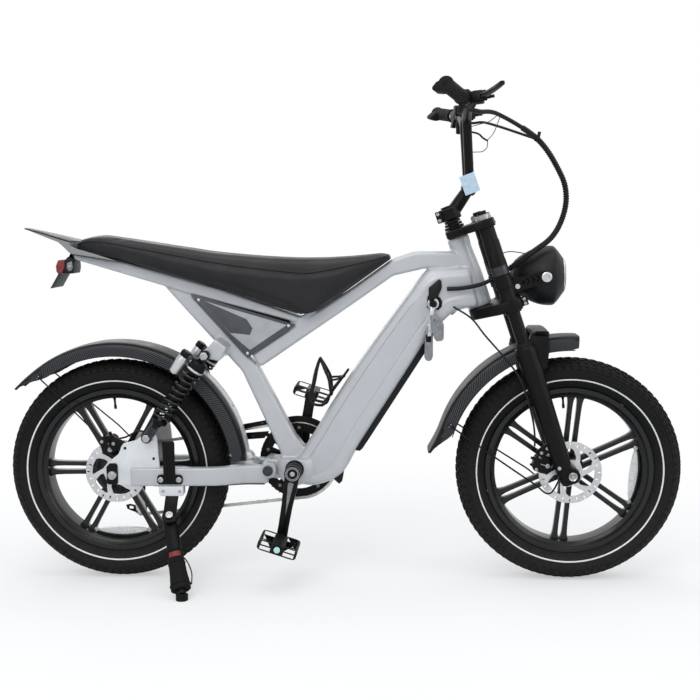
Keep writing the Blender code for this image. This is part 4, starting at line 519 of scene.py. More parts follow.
def lifted(node):
    """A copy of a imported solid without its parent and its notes."""
    source = NODES[node]
    source.hide_viewport = False
    pick(source)
    bpy.ops.object.duplicate(linked=False)
    obj = bpy.context.object
    for key in list(obj.keys()):
        del obj[key]
    obj.parent = None
    return obj


def packed_copy(node):
    """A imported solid's own shape as one merged mesh, back in the bicycle's axes."""
    obj = lifted(node)
    edit(obj)
    close_edit(PACKED_MERGE)
    obj.data.materials.clear()
    return placed(obj, BIKE.inverted())


def refined(node, look, edge=0.0008):
    """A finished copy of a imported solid: merged, with its hard edges rounded."""
    obj = lifted(node)
    edit(obj)
    bpy.ops.mesh.remove_doubles(threshold=PACKED_MERGE)
    bpy.ops.mesh.dissolve_limited(angle_limit=radians(0.6))
    close_edit(0)
    painted(rounded(obj, edge, 2, 40), look)
    return settle(obj, node + "_finish", NODES[node]["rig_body"], (node,), 40, leaned=True)


# Materials
PAINTS = {}


def linear(colour):
    """An sRGB hex colour as the linear values that a shader takes."""
    parts = [int(colour[i : i + 2], 16) / 255 for i in (1, 3, 5)]
    return [c / 12.92 if c <= 0.04045 else ((c + 0.055) / 1.055) ** 2.4 for c in parts]


def add(tree, kind, inputs=None, **settings):
    """Adds one node with its settings; an input is a value or another node's output."""
    node = tree.nodes.new("ShaderNode" + kind)
    for key, value in settings.items():
        setattr(node, key, value)
    for socket, value in (inputs or {}).items():
        if isinstance(value, bpy.types.NodeSocket):
            tree.links.new(value, node.inputs[socket])
        elif value is not None:
            node.inputs[socket].default_value = value
    return node


def blended(tree, share, first, second):
    """A colour between two others."""
    inputs = {0: share, 6: first, 7: second}
    return add(tree, "Mix", inputs, data_type="RGBA").outputs[2]


def calculated(tree, operation, first, second=None, third=None):
    inputs = {0: first, 1: second, 2: third}
    return add(tree, "Math", inputs, operation=operation).outputs[0]


def surface(name, colour, other, patch, rough, grain, height, pattern=None, **shader_inputs):
    """A material whose colour and roughness drift between two values over patches.

    patch, grain and height are real millimetres: the size of the patches, the size of the
    fine grain and how high the grain stands. pattern may change the colour and the height.
    """
    material = bpy.data.materials.new(name)
    material.use_nodes = True
    tree = material.node_tree
    shader = tree.nodes["Principled BSDF"]
    place = add(tree, "TexCoord").outputs["Object"]
    first, second = ((*(linear(c) if isinstance(c, str) else c), 1) for c in (colour, other))
    drift = add(
        tree, "TexNoise", {"Vector": place, "Scale": 1000 / patch, "Detail": 4, "Roughness": 0.6}
    ).outputs["Fac"]
    share = add(tree, "MapRange", {0: drift, 1: 0.35, 2: 0.7}).outputs[0]
    tint = blended(tree, share, first, second)
    fine = add(
        tree, "TexNoise", {"Vector": place, "Scale": 1000 / grain, "Detail": 2}
    ).outputs["Fac"]
    if pattern:
        tint, fine = pattern(tree, place, tint, fine)
    gloss = add(tree, "MapRange", {0: drift, 1: 0.3, 2: 0.7, 3: rough[0], 4: rough[1]})
    bump = add(tree, "Bump", {"Strength": 1.0, "Distance": height / 1000, "Height": fine})
    tree.links.new(tint, shader.inputs["Base Color"])
    tree.links.new(gloss.outputs[0], shader.inputs["Roughness"])
    tree.links.new(bump.outputs[0], shader.inputs["Normal"])
    for key, value in shader_inputs.items():
        shader.inputs[key.replace("_", " ")].default_value = value
    PAINTS[name] = material


def dusty(amount, colour, low, high):
    """Dust that gathers towards the floor, between two heights in metres."""

    def pattern(tree, place, tint, fine):
        height = add(tree, "SeparateXYZ", {0: place}).outputs["Z"]
        cover = add(tree, "MapRange", {0: height, 1: low, 2: high, 3: amount, 4: 0.0}).outputs[0]
        specks = add(tree, "TexNoise", {"Vector": place, "Scale": 90, "Detail": 5}).outputs["Fac"]
        share = calculated(tree, "MULTIPLY", cover, specks)
        return blended(tree, share, tint, (*linear(colour), 1)), fine

    return pattern


def woven(cell, dark, light):
    """A twill weave over the piece's own UV map, which is in metres."""

    def pattern(tree, place, tint, fine):
        uv = add(tree, "UVMap", uv_map="weave").outputs[0]
        split = add(tree, "SeparateXYZ", {0: uv})
        u = calculated(tree, "DIVIDE", split.outputs["X"], cell / 1000)
        v = calculated(tree, "DIVIDE", split.outputs["Y"], cell / 1000)
        step = calculated(tree, "ADD", calculated(tree, "FLOOR", u), calculated(tree, "FLOOR", v))
        over = calculated(tree, "LESS_THAN", calculated(tree, "FLOORED_MODULO", step, 4.0), 2.0)
        tow_u = calculated(tree, "PINGPONG", u, 0.5)
        tow_v = calculated(tree, "PINGPONG", v, 0.5)
        rise = add(tree, "Mix", {0: over, 2: tow_v, 3: tow_u}, data_type="FLOAT").outputs[0]
        sheen = blended(tree, over, (*linear(dark), 1), (*linear(light), 1))
        return blended(tree, 0.9, tint, sheen), calculated(tree, "MULTIPLY", rise, 2.0)

    return pattern


def brushed(centre):
    """Fine rings round an axle, as a turned disc has."""

    def pattern(tree, place, tint, fine):
        arm = add(tree, "VectorMath", {0: place, 1: tuple(centre)}, operation="SUBTRACT").outputs[0]
        reach = add(tree, "VectorMath", {0: arm}, operation="LENGTH").outputs["Value"]
        rings = add(tree, "TexNoise", {"W": calculated(tree, "MULTIPLY", reach, 2200.0),
            "Scale": 1.0, "Detail": 3}, noise_dimensions="1D").outputs["Fac"]
        shade = add(tree, "MapRange", {0: rings, 1: 0.3, 2: 0.7, 3: 0.0, 4: 0.5}).outputs[0]
        return blended(tree, shade, tint, (0.16, 0.165, 0.17, 1)), rings

    return pattern


def make_materials(looks):
    """Every material of the bicycle, from the colours of the settings."""
    body, trim, seat = tuple(looks.body_colour), tuple(looks.trim_colour), tuple(looks.seat_colour)
    dust = dusty(0.16, "#6E6B66", 0.0, 0.4)
    # powder-coated steel: a soft even silver with a faint orange peel and soft highlights
    surface("silver_powder_coat", body, [c * 0.95 for c in body], 60, (0.36, 0.44), 1.4, 0.005,
        Metallic=0.12, Coat_Weight=0.35, Coat_Roughness=0.12)
    # gloss enamel: near black with sharp reflections, as on the cast wheels
    surface("gloss_black_enamel", trim, [c * 1.5 for c in trim], 40, (0.2, 0.3), 2.0, 0.004,
        pattern=dusty(0.1, "#4A4845", 0.02, 0.5), Specular_IOR_Level=0.25, Coat_Weight=0.12,
        Coat_Roughness=0.1)
    # satin anodised alloy: black with a soft grey sheen along the edges
    surface("satin_black_alloy", "#070708", "#0C0C0D", 50, (0.32, 0.44), 0.8, 0.004,
        Specular_IOR_Level=0.14)
    # moulded plastic: charcoal, with the fine spark grain of its mould
    surface("moulded_black_plastic", "#0D0E0F", "#131415", 35, (0.38, 0.5), 0.7, 0.02,
        Specular_IOR_Level=0.2)
    # carbon-look film under clear plastic: a twill weave that catches the light in turns
    surface("weave_film", "#0C0D0E", "#121315", 60, (0.3, 0.38), 1.0, 0.05,
        pattern=woven(1.7, "#050607", "#46484C"), Specular_IOR_Level=0.15, Coat_Weight=0.06,
        Coat_Roughness=0.1)
    # tyre rubber: dull black with a grey bloom and a little floor dust
    surface("tyre_rubber", "#0E0E0F", "#151516", 45, (0.62, 0.8), 0.6, 0.03, pattern=dust, IOR=1.52,
        Specular_IOR_Level=0.14)
    # reflective band: a retroreflective ribbon moulded into the wall, pale grey-white
    surface("reflective_band", "#E4E6E6", "#D2D5D6", 18, (0.3, 0.45), 0.5, 0.01)
    # soft grip rubber: deep matt black
    surface("grip_rubber", "#0E0E0F", "#141415", 12, (0.6, 0.75), 0.5, 0.03, IOR=1.52,
        Specular_IOR_Level=0.16)
    # grained vinyl: charcoal with a leather pebble and a soft broad shine
    surface("seat_vinyl", seat, [c * 0.8 for c in seat], 70, (0.42, 0.55), 1.6, 0.16,
        Specular_IOR_Level=0.22, Sheen_Weight=0.04, Sheen_Roughness=0.4)
    # brushed stainless steel: bright grey with fine rings from turning
    surface("rear_brushed_steel", "#DDDEDF", "#C8CACC", 30, (0.26, 0.4), 0.4, 0.008,
        pattern=brushed(BIKE @ (REAR_HUB - Y * 0.056)), Metallic=1.0)
    surface("front_brushed_steel", "#DDDEDF", "#C8CACC", 30, (0.26, 0.4), 0.4, 0.008,
        pattern=brushed(BIKE @ (FRONT_HUB - Y * 0.056)), Metallic=1.0)
    # hard chrome: mirror bright, with the faintest waviness
    surface("hard_chrome", "#DADCDE", "#CFD2D5", 25, (0.06, 0.12), 2.0, 0.003, Metallic=1.0)
    # bare cast alloy: light grey with a fine satin tooth
    surface("satin_alloy", "#C6C8CA", "#B4B6B9", 20, (0.3, 0.42), 0.5, 0.01, Metallic=0.9)
    # carbon-look film in pale silver: the same twill on the tail's skirt
    surface("pale_weave_film", "#4A4B4D", "#58595B", 60, (0.3, 0.38), 1.0, 0.05,
        pattern=woven(3.0, "#1A1B1D", "#8E9092"), Specular_IOR_Level=0.2)
    # painted plate: pale silver, smoother than the frame
    surface("pale_silver_plate", "#D5D8DA", "#C9CCCF", 40, (0.36, 0.46), 1.0, 0.006, Metallic=0.3)
    # zinc-plated steel: small bright bolts with a slightly cloudy shine
    surface("zinc_plate", "#B3B5B6", "#8F9193", 6, (0.28, 0.42), 0.6, 0.01, Metallic=1.0)
    # oiled chain steel: mid grey, browner and duller in the joints
    surface("oiled_steel", "#8A8A8A", "#5A5754", 5, (0.3, 0.5), 0.8, 0.02, Metallic=1.0)
    # spring steel under gloss paint: black with thin highlights along the wire
    surface("painted_spring", "#0C0D0E", "#131415", 20, (0.18, 0.28), 1.5, 0.006,
        Specular_IOR_Level=0.3, Coat_Weight=0.2, Coat_Roughness=0.08)
    # cable sleeve: black vinyl with a soft shine
    surface("cable_sleeve", "#0D0D0F", "#141416", 15, (0.4, 0.52), 0.6, 0.02,
        Specular_IOR_Level=0.2)
    # tinted lens: deep red acrylic with a clear gloss surface
    surface("red_lens", "#7A0B0E", "#930F13", 10, (0.08, 0.14), 2.0, 0.02, IOR=1.49,
        Coat_Weight=0.5, Coat_Roughness=0.04, Transmission_Weight=0.25)
    # clear polycarbonate lens: water-clear, faint edge tint
    surface("clear_lens", "#F4F6F7", "#ECEFF1", 20, (0.02, 0.05), 4.0, 0.004, IOR=1.58,
        Transmission_Weight=1.0)
    # prismatic reflector: milky clear acrylic, with a fine cube pattern
    surface("wheel_reflector", "#DCDDDC", "#B9BCBE", 6, (0.12, 0.25), 1.6, 0.25, IOR=1.49,
        Coat_Weight=0.5)
    # vacuum-plated reflector: silver mirror inside the lamp
    surface("mirror_plating", "#D8DADC", "#C7CACC", 12, (0.08, 0.16), 2.0, 0.004, Metallic=1.0)
    # dark cast frame insert: side panel border, charcoal with light texture
    surface("charcoal_panel", "#3A3C3F", "#444649", 25, (0.4, 0.5), 0.8, 0.02)
    # painted panel: plain mid grey under a satin lacquer
    surface("grey_panel", "#A5A9AC", "#989CA0", 40, (0.36, 0.46), 1.2, 0.01, Metallic=0.3)
    # boot rubber: matt black, moulded with a coarse tooth
    surface("stand_rubber", "#0C0C0D", "#121212", 20, (0.62, 0.8), 0.9, 0.05,
        Specular_IOR_Level=0.15)
    # card: pale blue, uncoated, with a soft fibre surface
    surface("tag_card", "#B7CDDE", "#A9C0D2", 12, (0.5, 0.6), 0.5, 0.01)
    # nylon: pale blue-green, moulded smooth
    surface("blue_nylon", "#BFE3E4", "#A9D3D6", 8, (0.3, 0.42), 0.5, 0.01)
    # nickel-plated steel: warm bright grey, worn a little dull
    surface("chain_nickel", "#C9C7C2", "#A5A29C", 10, (0.26, 0.4), 0.8, 0.012, Metallic=0.9)
    # enamel: dark red, fired smooth with a soft gloss
    surface("red_enamel", "#7E1518", "#6A1113", 10, (0.3, 0.4), 1.0, 0.01)
    # the key's fobs: dull grey alloy
    surface("fob_alloy", "#85878A", "#6C6E71", 12, (0.34, 0.46), 0.6, 0.012, Metallic=0.55)
    # blued steel: dark blue-grey with an oily satin finish
    surface("blue_grey_steel", "#3E4144", "#2C2E31", 12, (0.3, 0.42), 0.8, 0.01, Metallic=0.8)


# Wheels
def repeated(obj, centre, count):
    """The piece and its copies at equal steps round an axle."""
    pick()
    bpy.ops.object.empty_add(location=(0, 0, 0))
    guide = bpy.context.object
    guide.matrix_world = turn_about(centre, TAU / count)
    bpy.context.view_layer.update()
    modified(
        obj, "ARRAY", count=count, use_relative_offset=False, use_object_offset=True,
        offset_object=guide,
    )
    bpy.data.objects.remove(guide, do_unlink=True)
    return obj


def tread_block(hub, angle, radius, y, size, turn, depth, tilt=0.0):
    """One block of the tread: its long side lies turned across the tyre."""
    out = outward(angle)
    lean = (out * cos(tilt) + Y * sin(tilt)).normalized()
    beside = Vector((-sin(angle), 0, cos(angle)))
    place = frame_at(hub + out * radius + Y * y, lean, beside) @ Matrix.Rotation(turn, 4, "Z")
    return block((size[0], size[1], depth * 2), place, 0.0007, 1)


TYRE_HALF = mm((213.8, 33.3), (216.5, 36.2), (222.5, 41.5), (230, 46.2), (238.5, 49), (246, 49.8),
    (255, 49), (261.5, 46.2), (267.5, 41.2), (273.5, 35), (278, 28), (281.5, 19), (283.5, 10),
    (284.2, 0))
RIM_HALF = mm((213.4, 35.5), (213.4, 37), (212.4, 37.8), (206, 37.9), (201.5, 37.4), (199.5, 35.5),
    (197.5, 32), (191, 28.5), (187.8, 25.5), (187.2, 18), (187.2, 0))


def make_tyre(name, hub, body, looks):
    at = across_at(hub)
    carcass = painted(turned(mirrored(TYRE_HALF), at, TYRE_STEPS), TYRE)
    parts = Parts([carcass])
    for side in (-1, 1):
        for radius, y, width, tall in (
            (0.2195, 0.0388, 0.0012, 0.0006), (0.224, 0.0424, 0.0008, 0.0005),
            (0.242, 0.0494, 0.001, 0.0004), (0.254, 0.0492, 0.0014, 0.0003),
            (0.261, 0.0476, 0.0009, 0.0005),
        ):
            rib = [
                (radius - width, side * (y - 0.001)), (radius - width * 0.6, side * (y + tall)),
                (radius + width * 0.6, side * (y + tall)), (radius + width, side * (y - 0.001)),
            ]
            parts.add(turned(rib, at, TYRE_STEPS), TYRE)
        band = [
            (0.2334, side * 0.0465), (0.2336, side * 0.04785), (0.2352, side * 0.0487),
            (0.2369, side * 0.0492), (0.2371, side * 0.0475),
        ]
        parts.add(turned(band, at, TYRE_STEPS), "reflective_band")
    depth, count = looks.tread_depth, looks.tread_blocks
    step = TAU / count
    row = []
    for side in (-1, 1):
        for y, radius, size, turn, shift, tilt in (
            (0.0065, 0.2842, (0.013, 0.0095), 0.5, 0.0, 0.0),
            (0.0175, 0.2822, (0.0135, 0.008), -0.4, 0.5, 0.15),
            (0.0275, 0.2785, (0.013, 0.0085), 0.3, 0.0, 0.42),
            (0.0365, 0.2722, (0.0145, 0.011), 0.0, 0.5, 0.78),
            (0.044, 0.2642, (0.0125, 0.0105), 0.0, 0.5, 1.12),
            (0.0375, 0.2706, (0.0065, 0.008), 0.0, 0.0, 0.85),
        ):
            place = (hub, shift * step, radius, side * y, size, side * turn, depth, side * tilt)
            row.append(tread_block(*place))
    tread = painted(repeated(joined(row), hub, count), TYRE)
    row = []
    for side in (-1, 1):
        rib = block((0.0007, 0.0012, 0.0115), Matrix())
        place = frame_at(hub + X * 0.2478 + Y * side * 0.0497, X, Y)
        row.append(placed(rib, place))
    ribs = painted(repeated(joined(row), hub, 180), TYRE)
    finish([*parts, tread, ribs], name, body)


def make_valve(hub, angle):
    out = outward(angle)
    stem = turned(mm((0, 0), (4.2, 0), (4.2, 6), (2.8, 9), (2.8, 22), (3.6, 22.5), (3.6, 31),
        (3, 33), (0, 33.2)), frame_at(hub + out * 0.1885, -out), 20)
    return painted(stem, GRIP)


def bulged(hub, middle, spread, top, radius, low, high):
    """A lens along the rim whose inner edge bulges towards the hub."""
    outline = []
    for i in range(17):
        angle = middle - spread + 2 * spread * i / 16
        outline.append((hub.x + radius * cos(angle), hub.z + radius * sin(angle)))
    for i in range(17):
        share = 1 - i / 8
        angle = middle + spread * share
        inner = radius - 0.006 - (radius - 0.006 - top) * cos(share * pi / 2) ** 0.7
        outline.append((hub.x + inner * cos(angle), hub.z + inner * sin(angle)))
    return plate(outline, low, high, edge=0.001)


def make_cast_wheel(name, hub, body, hub_profile, start, phase, reflector):
    at = across_at(hub)
    parts = [turned(mirrored(RIM_HALF), at, TYRE_STEPS), turned(hub_profile, at, 72)]
    half = [
        (start, 0.0082), (start + 0.02, 0.0066), (0.11, 0.0058), (0.15, 0.006),
        (0.17, 0.0068), (0.18, 0.0086), (0.1855, 0.0112), (0.1895, 0.015),
    ]
    outline = mirrored(half)
    spokes = []
    for side in (-1, 1):
        leg = plate([(x, z + side * (0.0098 + 0.0022 * x / 0.19)) for x, z in outline], -0.0098,
            0.0098)
        rounded(leg, 0.0028, 3)
        spokes.append(leg)
    web = plate(
        [(start, -0.008), (start + 0.018, -0.006), (start + 0.018, 0.006), (start, 0.008)],
        -0.007, 0.007, edge=0.001,
    )
    pair = placed(joined([*spokes, web]), turn_about((0, 0, 0), phase))
    placed(pair, moved(hub))
    parts.append(repeated(pair, hub, 6))
    wheel = painted(joined(parts), ENAMEL)
    extras = Parts([wheel, make_valve(hub, radians(94))])
    middle = radians(reflector)
    spread = radians(21.5)
    extras.add(bulged(hub, middle, spread, 0.16, 0.1845, -0.006, 0.006), "wheel_reflector")
    extras.add(bulged(hub, middle, spread * 1.05, 0.179, 0.1875, -0.0075, 0.0075), ENAMEL)
    for end in (-1.07, 1.07):
        turn = middle + spread * end
        spot = hub + outward(turn) * 0.18
        extras.append(bolt(spot - Y * 0.0085, -Y, 0.006, 0.0022, ZINC))
    finish(extras, name, body, 35)


def make_rotor(name, hub, body, look):
    """A brake disc with a scalloped edge, drilled slots and open windows."""
    low, high = -0.057, -0.055
    count = 144
    outline = []
    for i in range(count):
        angle = TAU * i / count
        radius = 0.0796 - 0.0011 * (1 + cos(angle * 12)) ** 2 / 4
        outline.append((radius * cos(angle), radius * sin(angle)))
    disc = plate(outline, low, high)
    cutters = []
    deep = (low - 0.002, high + 0.002)
    for i in range(6):
        base = TAU * i / 6
        corners = []
        for radius, turn in (
            (0.033, 0.14), (0.033, 0.62), (0.0345, 0.78), (0.048, 1.02), (0.06, 1.16),
            (0.0618, 1.1), (0.062, 0.8), (0.0618, 0.48), (0.056, 0.36), (0.042, 0.18),
        ):
            corners.append((radius * cos(base + turn), radius * sin(base + turn)))
        cutters.append(plate(corners, *deep))
    for i in range(24):
        base = TAU * i / 24
        radius = 0.069 if i % 2 else 0.0725
        centre = Vector((radius * cos(base), 0, radius * sin(base)))
        ring = []
        for k in range(10):
            t = TAU * k / 10
            along = centre.normalized() * cos(t) * 0.0042
            across = Vector((-centre.z, 0, centre.x)).normalized() * sin(t) * 0.0019
            point = centre + along + across
            ring.append((point.x, point.z))
        cutters.append(plate(ring, *deep))
    cut_by(disc, cutters)
    modified(
        disc, "BEVEL", width=0.0003, segments=1, limit_method="ANGLE", angle_limit=radians(50)
    )
    collar = turned(mm((0, -58.8), (25.5, -58.8), (26.2, -57.6), (26.2, -55), (0, -55)))
    placed(collar, across_at(Vector()))
    parts = [painted(joined([disc, collar]), look)]
    for out in around(6, 0.3):
        parts.append(bolt(out * 0.0215 + Y * -0.0588, -Y, 0.0034, 0.0012, ZINC, sides=14))
    settle(placed(joined(parts), moved(hub)), name + "_finish", body, (name,), 30)


def make_wheels(looks):
    front_hub = mirrored(mm((7.4, -61.6), (16.4, -61.6), (17, -61), (17, -42), (26.2, -35),
        (31, -20), (32.5, -11)))
    rear_hub = mm((7.4, -69.8), (16.4, -69.8), (17, -69), (17, -49), (33, -44), (56, -37.5),
        (62, -35.2), (65.5, -30.5), (66, -28), (66, 28), (65.5, 30.5), (62, 35.2), (56, 37.5),
        (33, 41), (17, 44), (17, 47.5), (7.4, 47.8))
    for end, hub, profile, start, phase, reflector in (
        ("rear", REAR_HUB, rear_hub, 0.06, 0.0, 270.0),
        ("front", FRONT_HUB, front_hub, 0.024, radians(24), -6.0),
    ):
        body = end + "_wheel"
        make_tyre(end + "_tyre", hub, body, looks)
        make_cast_wheel(end + "_rim", hub, body, profile, start, phase, reflector)
        make_rotor(end + "_rotor", hub, body, end + "_brushed_steel")
    make_cogs()


def toothed(teeth, root, tip, low, high):
    """A toothed disc's outline: each tooth is a short flank, a top and a flank."""
    ring = []
    for i in range(teeth):
        for share, radius in ((0.0, root), (0.22, root), (0.4, tip), (0.58, tip), (0.78, root)):
            angle = TAU * (i + share) / teeth
            ring.append((radius * cos(angle), radius * sin(angle)))
    return plate(ring, low, high)


def make_cogs():
    """The cogs of the rear wheel, smallest outermost, with a lock ring."""
    parts = Parts()
    for teeth, root, y in ((18, 0.0345, 0.0608), (16, 0.0315, 0.0648), (14, 0.0285, 0.0688)):
        parts.add(toothed(teeth, root, root + 0.0012 * 2.2, y, y + 0.0019), "oiled_steel")
    for radius, low, high in ((0.0285, 0.0487, 0.072), (0.0215, 0.0487, 0.0718)):
        ring = [(0.0078, low), (radius, low), (radius, high), (0.0078, high)]
        parts.add(turned(ring, across_at(Vector()), 40), "oiled_steel")
    settle(placed(joined(parts), moved(REAR_HUB)), "cassette_finish", "freewheel", ("cassette",),
        30)


# Fenders
def mapped_round(obj, hub, radius):
    """Gives the piece a UV map in metres: along its arc and outwards from the axle."""
    layer = obj.data.uv_layers.new(name="weave")
    for loop in obj.data.loops:
        arm = obj.data.vertices[loop.vertex_index].co - hub
        angle = atan2(arm.z, arm.x)
        layer.data[loop.index].uv = (angle * radius, hypot(arm.x, arm.z))
    return obj


def fender_section(radius, half, depth, wall=0.0024):
    """A closed section: the outside from one lower edge to the other, then the inside back."""
    share = [
        (1.0, 1.0), (0.62, 1.004), (0.36, 0.992), (0.2, 0.955), (0.1, 0.89), (0.04, 0.79),
        (0.01, 0.62), (0.0, 0.4), (0.0, 0.2),
    ]
    outer = [(radius - depth * down, half * out) for down, out in share]
    outer = [(r, -y) for r, y in outer] + [(radius + 0.0002, 0)] + list(reversed(outer))
    inner = [(r - (wall if i not in (0, len(outer) - 1) else 0), y * (1 - wall / half))
             for i, (r, y) in enumerate(outer)]
    return outer + list(reversed(inner))


def fender_shell(hub, radius, start, end, tail, tail_half, tail_lift, steps=44):
    """A bent channel whose last part narrows to a lip; tail is how far along that starts."""
    rings = []
    for i in range(steps + 1):
        t = i / steps
        angle = start + (end - start) * t
        late = max(0.0, (t - tail) / (1 - tail))
        early = max(0.0, 1 - t * 24)
        ease = late * late * (3 - 2 * late)
        half = 0.057 - (0.057 - tail_half) * ease - 0.004 * early
        depth = 0.036 - 0.029 * ease - 0.006 * early
        reach = radius + tail_lift * late * late
        along = outward(angle)
        rings.append([hub + along * r + Y * y for r, y in fender_section(reach, half, depth)])
    shell = mapped_round(lofted(rings), hub, radius)
    for look in (PLASTIC, "weave_film"):
        shell.data.materials.append(PAINTS[look])
    for face in shell.data.polygons:
        y = face.center.y
        if 0.0555 * 0.7 < abs(y) and (hub - face.center).length < radius - 0.005:
            face.material_index = 1
    return shell


def make_fender_edge(hub, radius, start, end, side):
    """The folded bead along a side wall's lower edge."""
    points = []
    for i in range(41):
        angle = start + (end - start) * i / 40
        along = outward(angle)
        points.append(hub + along * (radius - 0.0358) + Y * side * 0.0566)
    return painted(pipe(points, 0.0013, 1, 1), PLASTIC)


def stay_clip(centre, along, look):
    clip = block((0.012, 0.006, 0.01), frame_at(centre, Y, along), 0.0012)
    return painted(clip, look)


def make_front_fender():
    start, end = radians(86.6), radians(172.3)
    parts = Parts([fender_shell(FRONT_HUB, FRONT_FENDER, start, end, 0.86, 0.05, 0.016)])
    for side in (-1, 1):
        parts.append(make_fender_edge(FRONT_HUB, FRONT_FENDER, start + 0.03, end - 0.16, side))
        tip = FRONT_HUB + outward(2.763) * 0.326 + Y * side * 0.0585
        knee, low, bend = (Vector((x, side * y, z)) for x, y, z in ((0.958, 0.074, 0.3394),
            (1.063, 0.0915, 0.2695), (1.107, 0.0925, 0.2429)))
        foot = HEAD_BASE - FORK_UP * 0.44 + FORK_AHEAD * LEG_AHEAD + Y * side * LEG_Y
        parts.add(pipe([tip, knee, low, bend, foot + Y * side * 0.021], 0.0022, 3, 6), BLACK)
        parts.append(stay_clip(tip, knee - tip, PLASTIC))
        parts.append(bolt(tip + Y * side * 0.003, Y * side, 0.0042, 0.0014, ZINC))
        parts.append(bolt(foot + Y * side * 0.0235 - X * 0.012, Y * side, 0.0045, 0.0016, ZINC))
    bridge = plate(mm((1064, 615), (1098, 622.8), (1100, 630), (1098, 636.7), (1068, 636.7),
        (1064, 630)), -0.02, 0.02, edge=0.0016)
    parts.add(bridge, BLACK)
    finish(parts, "front_fender", "fork_lower")


def make_rear_fender():
    start, end = radians(4.8), radians(141.2)
    parts = Parts([fender_shell(REAR_HUB, REAR_FENDER, start, end, 0.87, 0.036, 0.006, 60)])
    for side in (-1, 1):
        parts.append(make_fender_edge(REAR_HUB, REAR_FENDER, start + 0.03, end - 0.34, side))
        tip = REAR_HUB + outward(2.234) * 0.314 + Y * side * 0.0585
        bend = REAR_HUB + Vector((-0.03, side * 0.0875, 0.098))
        foot = REAR_HUB + Vector((0.006, side * 0.0897, 0.06))
        rod = [tip.lerp(bend, i / 6) for i in range(6)] + [bend, bend.lerp(foot, 0.5), foot]
        parts.add(pipe(rod, 0.0019, 3, 2), BLACK)
        parts.append(stay_clip(tip, bend - tip, PLASTIC))
        parts.append(bolt(tip + Y * side * 0.003, Y * side, 0.004, 0.0014, ZINC))
    strip = mirrored(mm((335, -19), (339.2, -20), (340, -18)))
    parts.add(swept(strip, REAR_HUB, radians(4.8), radians(52.8), 30), PALE_PLATE)
    for share in (0.12, 0.5, 0.88):
        angle = radians(4.8 + 48 * share)
        out = outward(angle)
        parts.append(bolt(REAR_HUB + out * 0.3398, out, 0.0045, 0.0014, ZINC))
    tab = plate(mm((318, 312.5), (344, 312.5), (352, 318), (344, 330), (326, 332)), -0.02, 0.02,
        edge=0.0014)
    parts.add(tab, PALE_PLATE)
    finish(parts, "rear_fender", "swingarm")


def make_fenders(looks):
    make_front_fender()
    make_rear_fender()


# Frame and seat
HOUSING_STATIONS = [
    # upper edge (x, z) and lower edge (x, z) in mm, from the head tube down to the crank
    (905, 812, 930, 704), (868, 808, 905, 703), (835, 806, 885, 698), (806, 802, 863, 688),
    (782, 779, 843, 670), (760, 748, 826, 655), (735, 715, 812, 638), (700, 667, 796, 616),
    (662, 615, 762, 562), (604, 532, 703, 470), (550, 449, 648, 385), (530, 415, 627, 352),
    (513, 388, 611, 324), (499, 367, 598, 299), (489, 351, 583, 279), (480, 338, 563, 264),
    (471, 327, 535, 252), (462, 319, 505, 246), (448, 316, 478, 249),
]
HOUSING_SECTION = [
    # share of the way from the upper edge to the lower one, and half-width in mm
    (0.0, 14), (0.012, 22), (0.045, 29.5), (0.1, 34), (0.17, 36), (0.19, 36.4),
    (0.212, 38.4), (0.235, 38.9), (0.42, 38.6), (0.62, 37.6), (0.685, 37.2), (0.703, 37.6),
    (0.722, 39.6), (0.76, 40), (0.88, 39.2), (0.945, 36), (0.982, 30), (1.0, 22),
]


def between(values, t):
    """The value at t along evenly spaced ones, on a smooth line."""
    place = min(t, 0.99999) * (len(values) - 1)
    i = int(place)
    t = place - i
    a, b = values[i], values[i + 1]
    before = values[i - 1] if i else a
    after = values[i + 2] if i + 2 < len(values) else b
    return (2 * a + (b - before) * t + (2 * before - 5 * a + 4 * b - after) * t * t
            + (3 * a - before - 3 * b + after) * t**3) / 2


def housing_edges(t):
    """The upper and the lower edge's point, a share of the way from the head to the crank."""
    x0, z0, x1, z1 = (between([s[k] / 1000 for s in HOUSING_STATIONS], t) for k in range(4))
    return Vector((x0, z0)), Vector((x1, z1))


def make_housing():
    """The moulded tube from the head to the crank, with a raised band along each side."""
    rings = []
    count = 64
    for i in range(count + 1):
        t = i / count
        upper, lower = housing_edges(t)
        ring = []
        for side in (1, -1):
            section = HOUSING_SECTION if side == 1 else list(reversed(HOUSING_SECTION))
            for share, half in section:
                at = upper.lerp(lower, share)
                ring.append((at.x, side * half / 1000, at.y))
        rings.append(ring)
    return lofted(rings)


def side_band(side):
    """The raised band that runs along one side of the moulded tube, sunk in at its ends."""
    rings = []
    for i in range(57):
        t = 0.25 + 0.7 * i / 56
        upper, lower = housing_edges(t)
        sink = 4.5 * max(0.0, 1 - i / 5, (i - 50) / 6)
        ring = []
        for share, half in ((0.206, 30), (0.206, 37.4), (0.226, 40.5), (0.42, 40.4), (0.62, 39.5),
                (0.672, 39.0), (0.694, 36.0), (0.694, 30)):
            at = upper.lerp(lower, share)
            ring.append((at.x, side * (half - sink) / 1000, at.y))
        rings.append(ring)
    return lofted(rings)


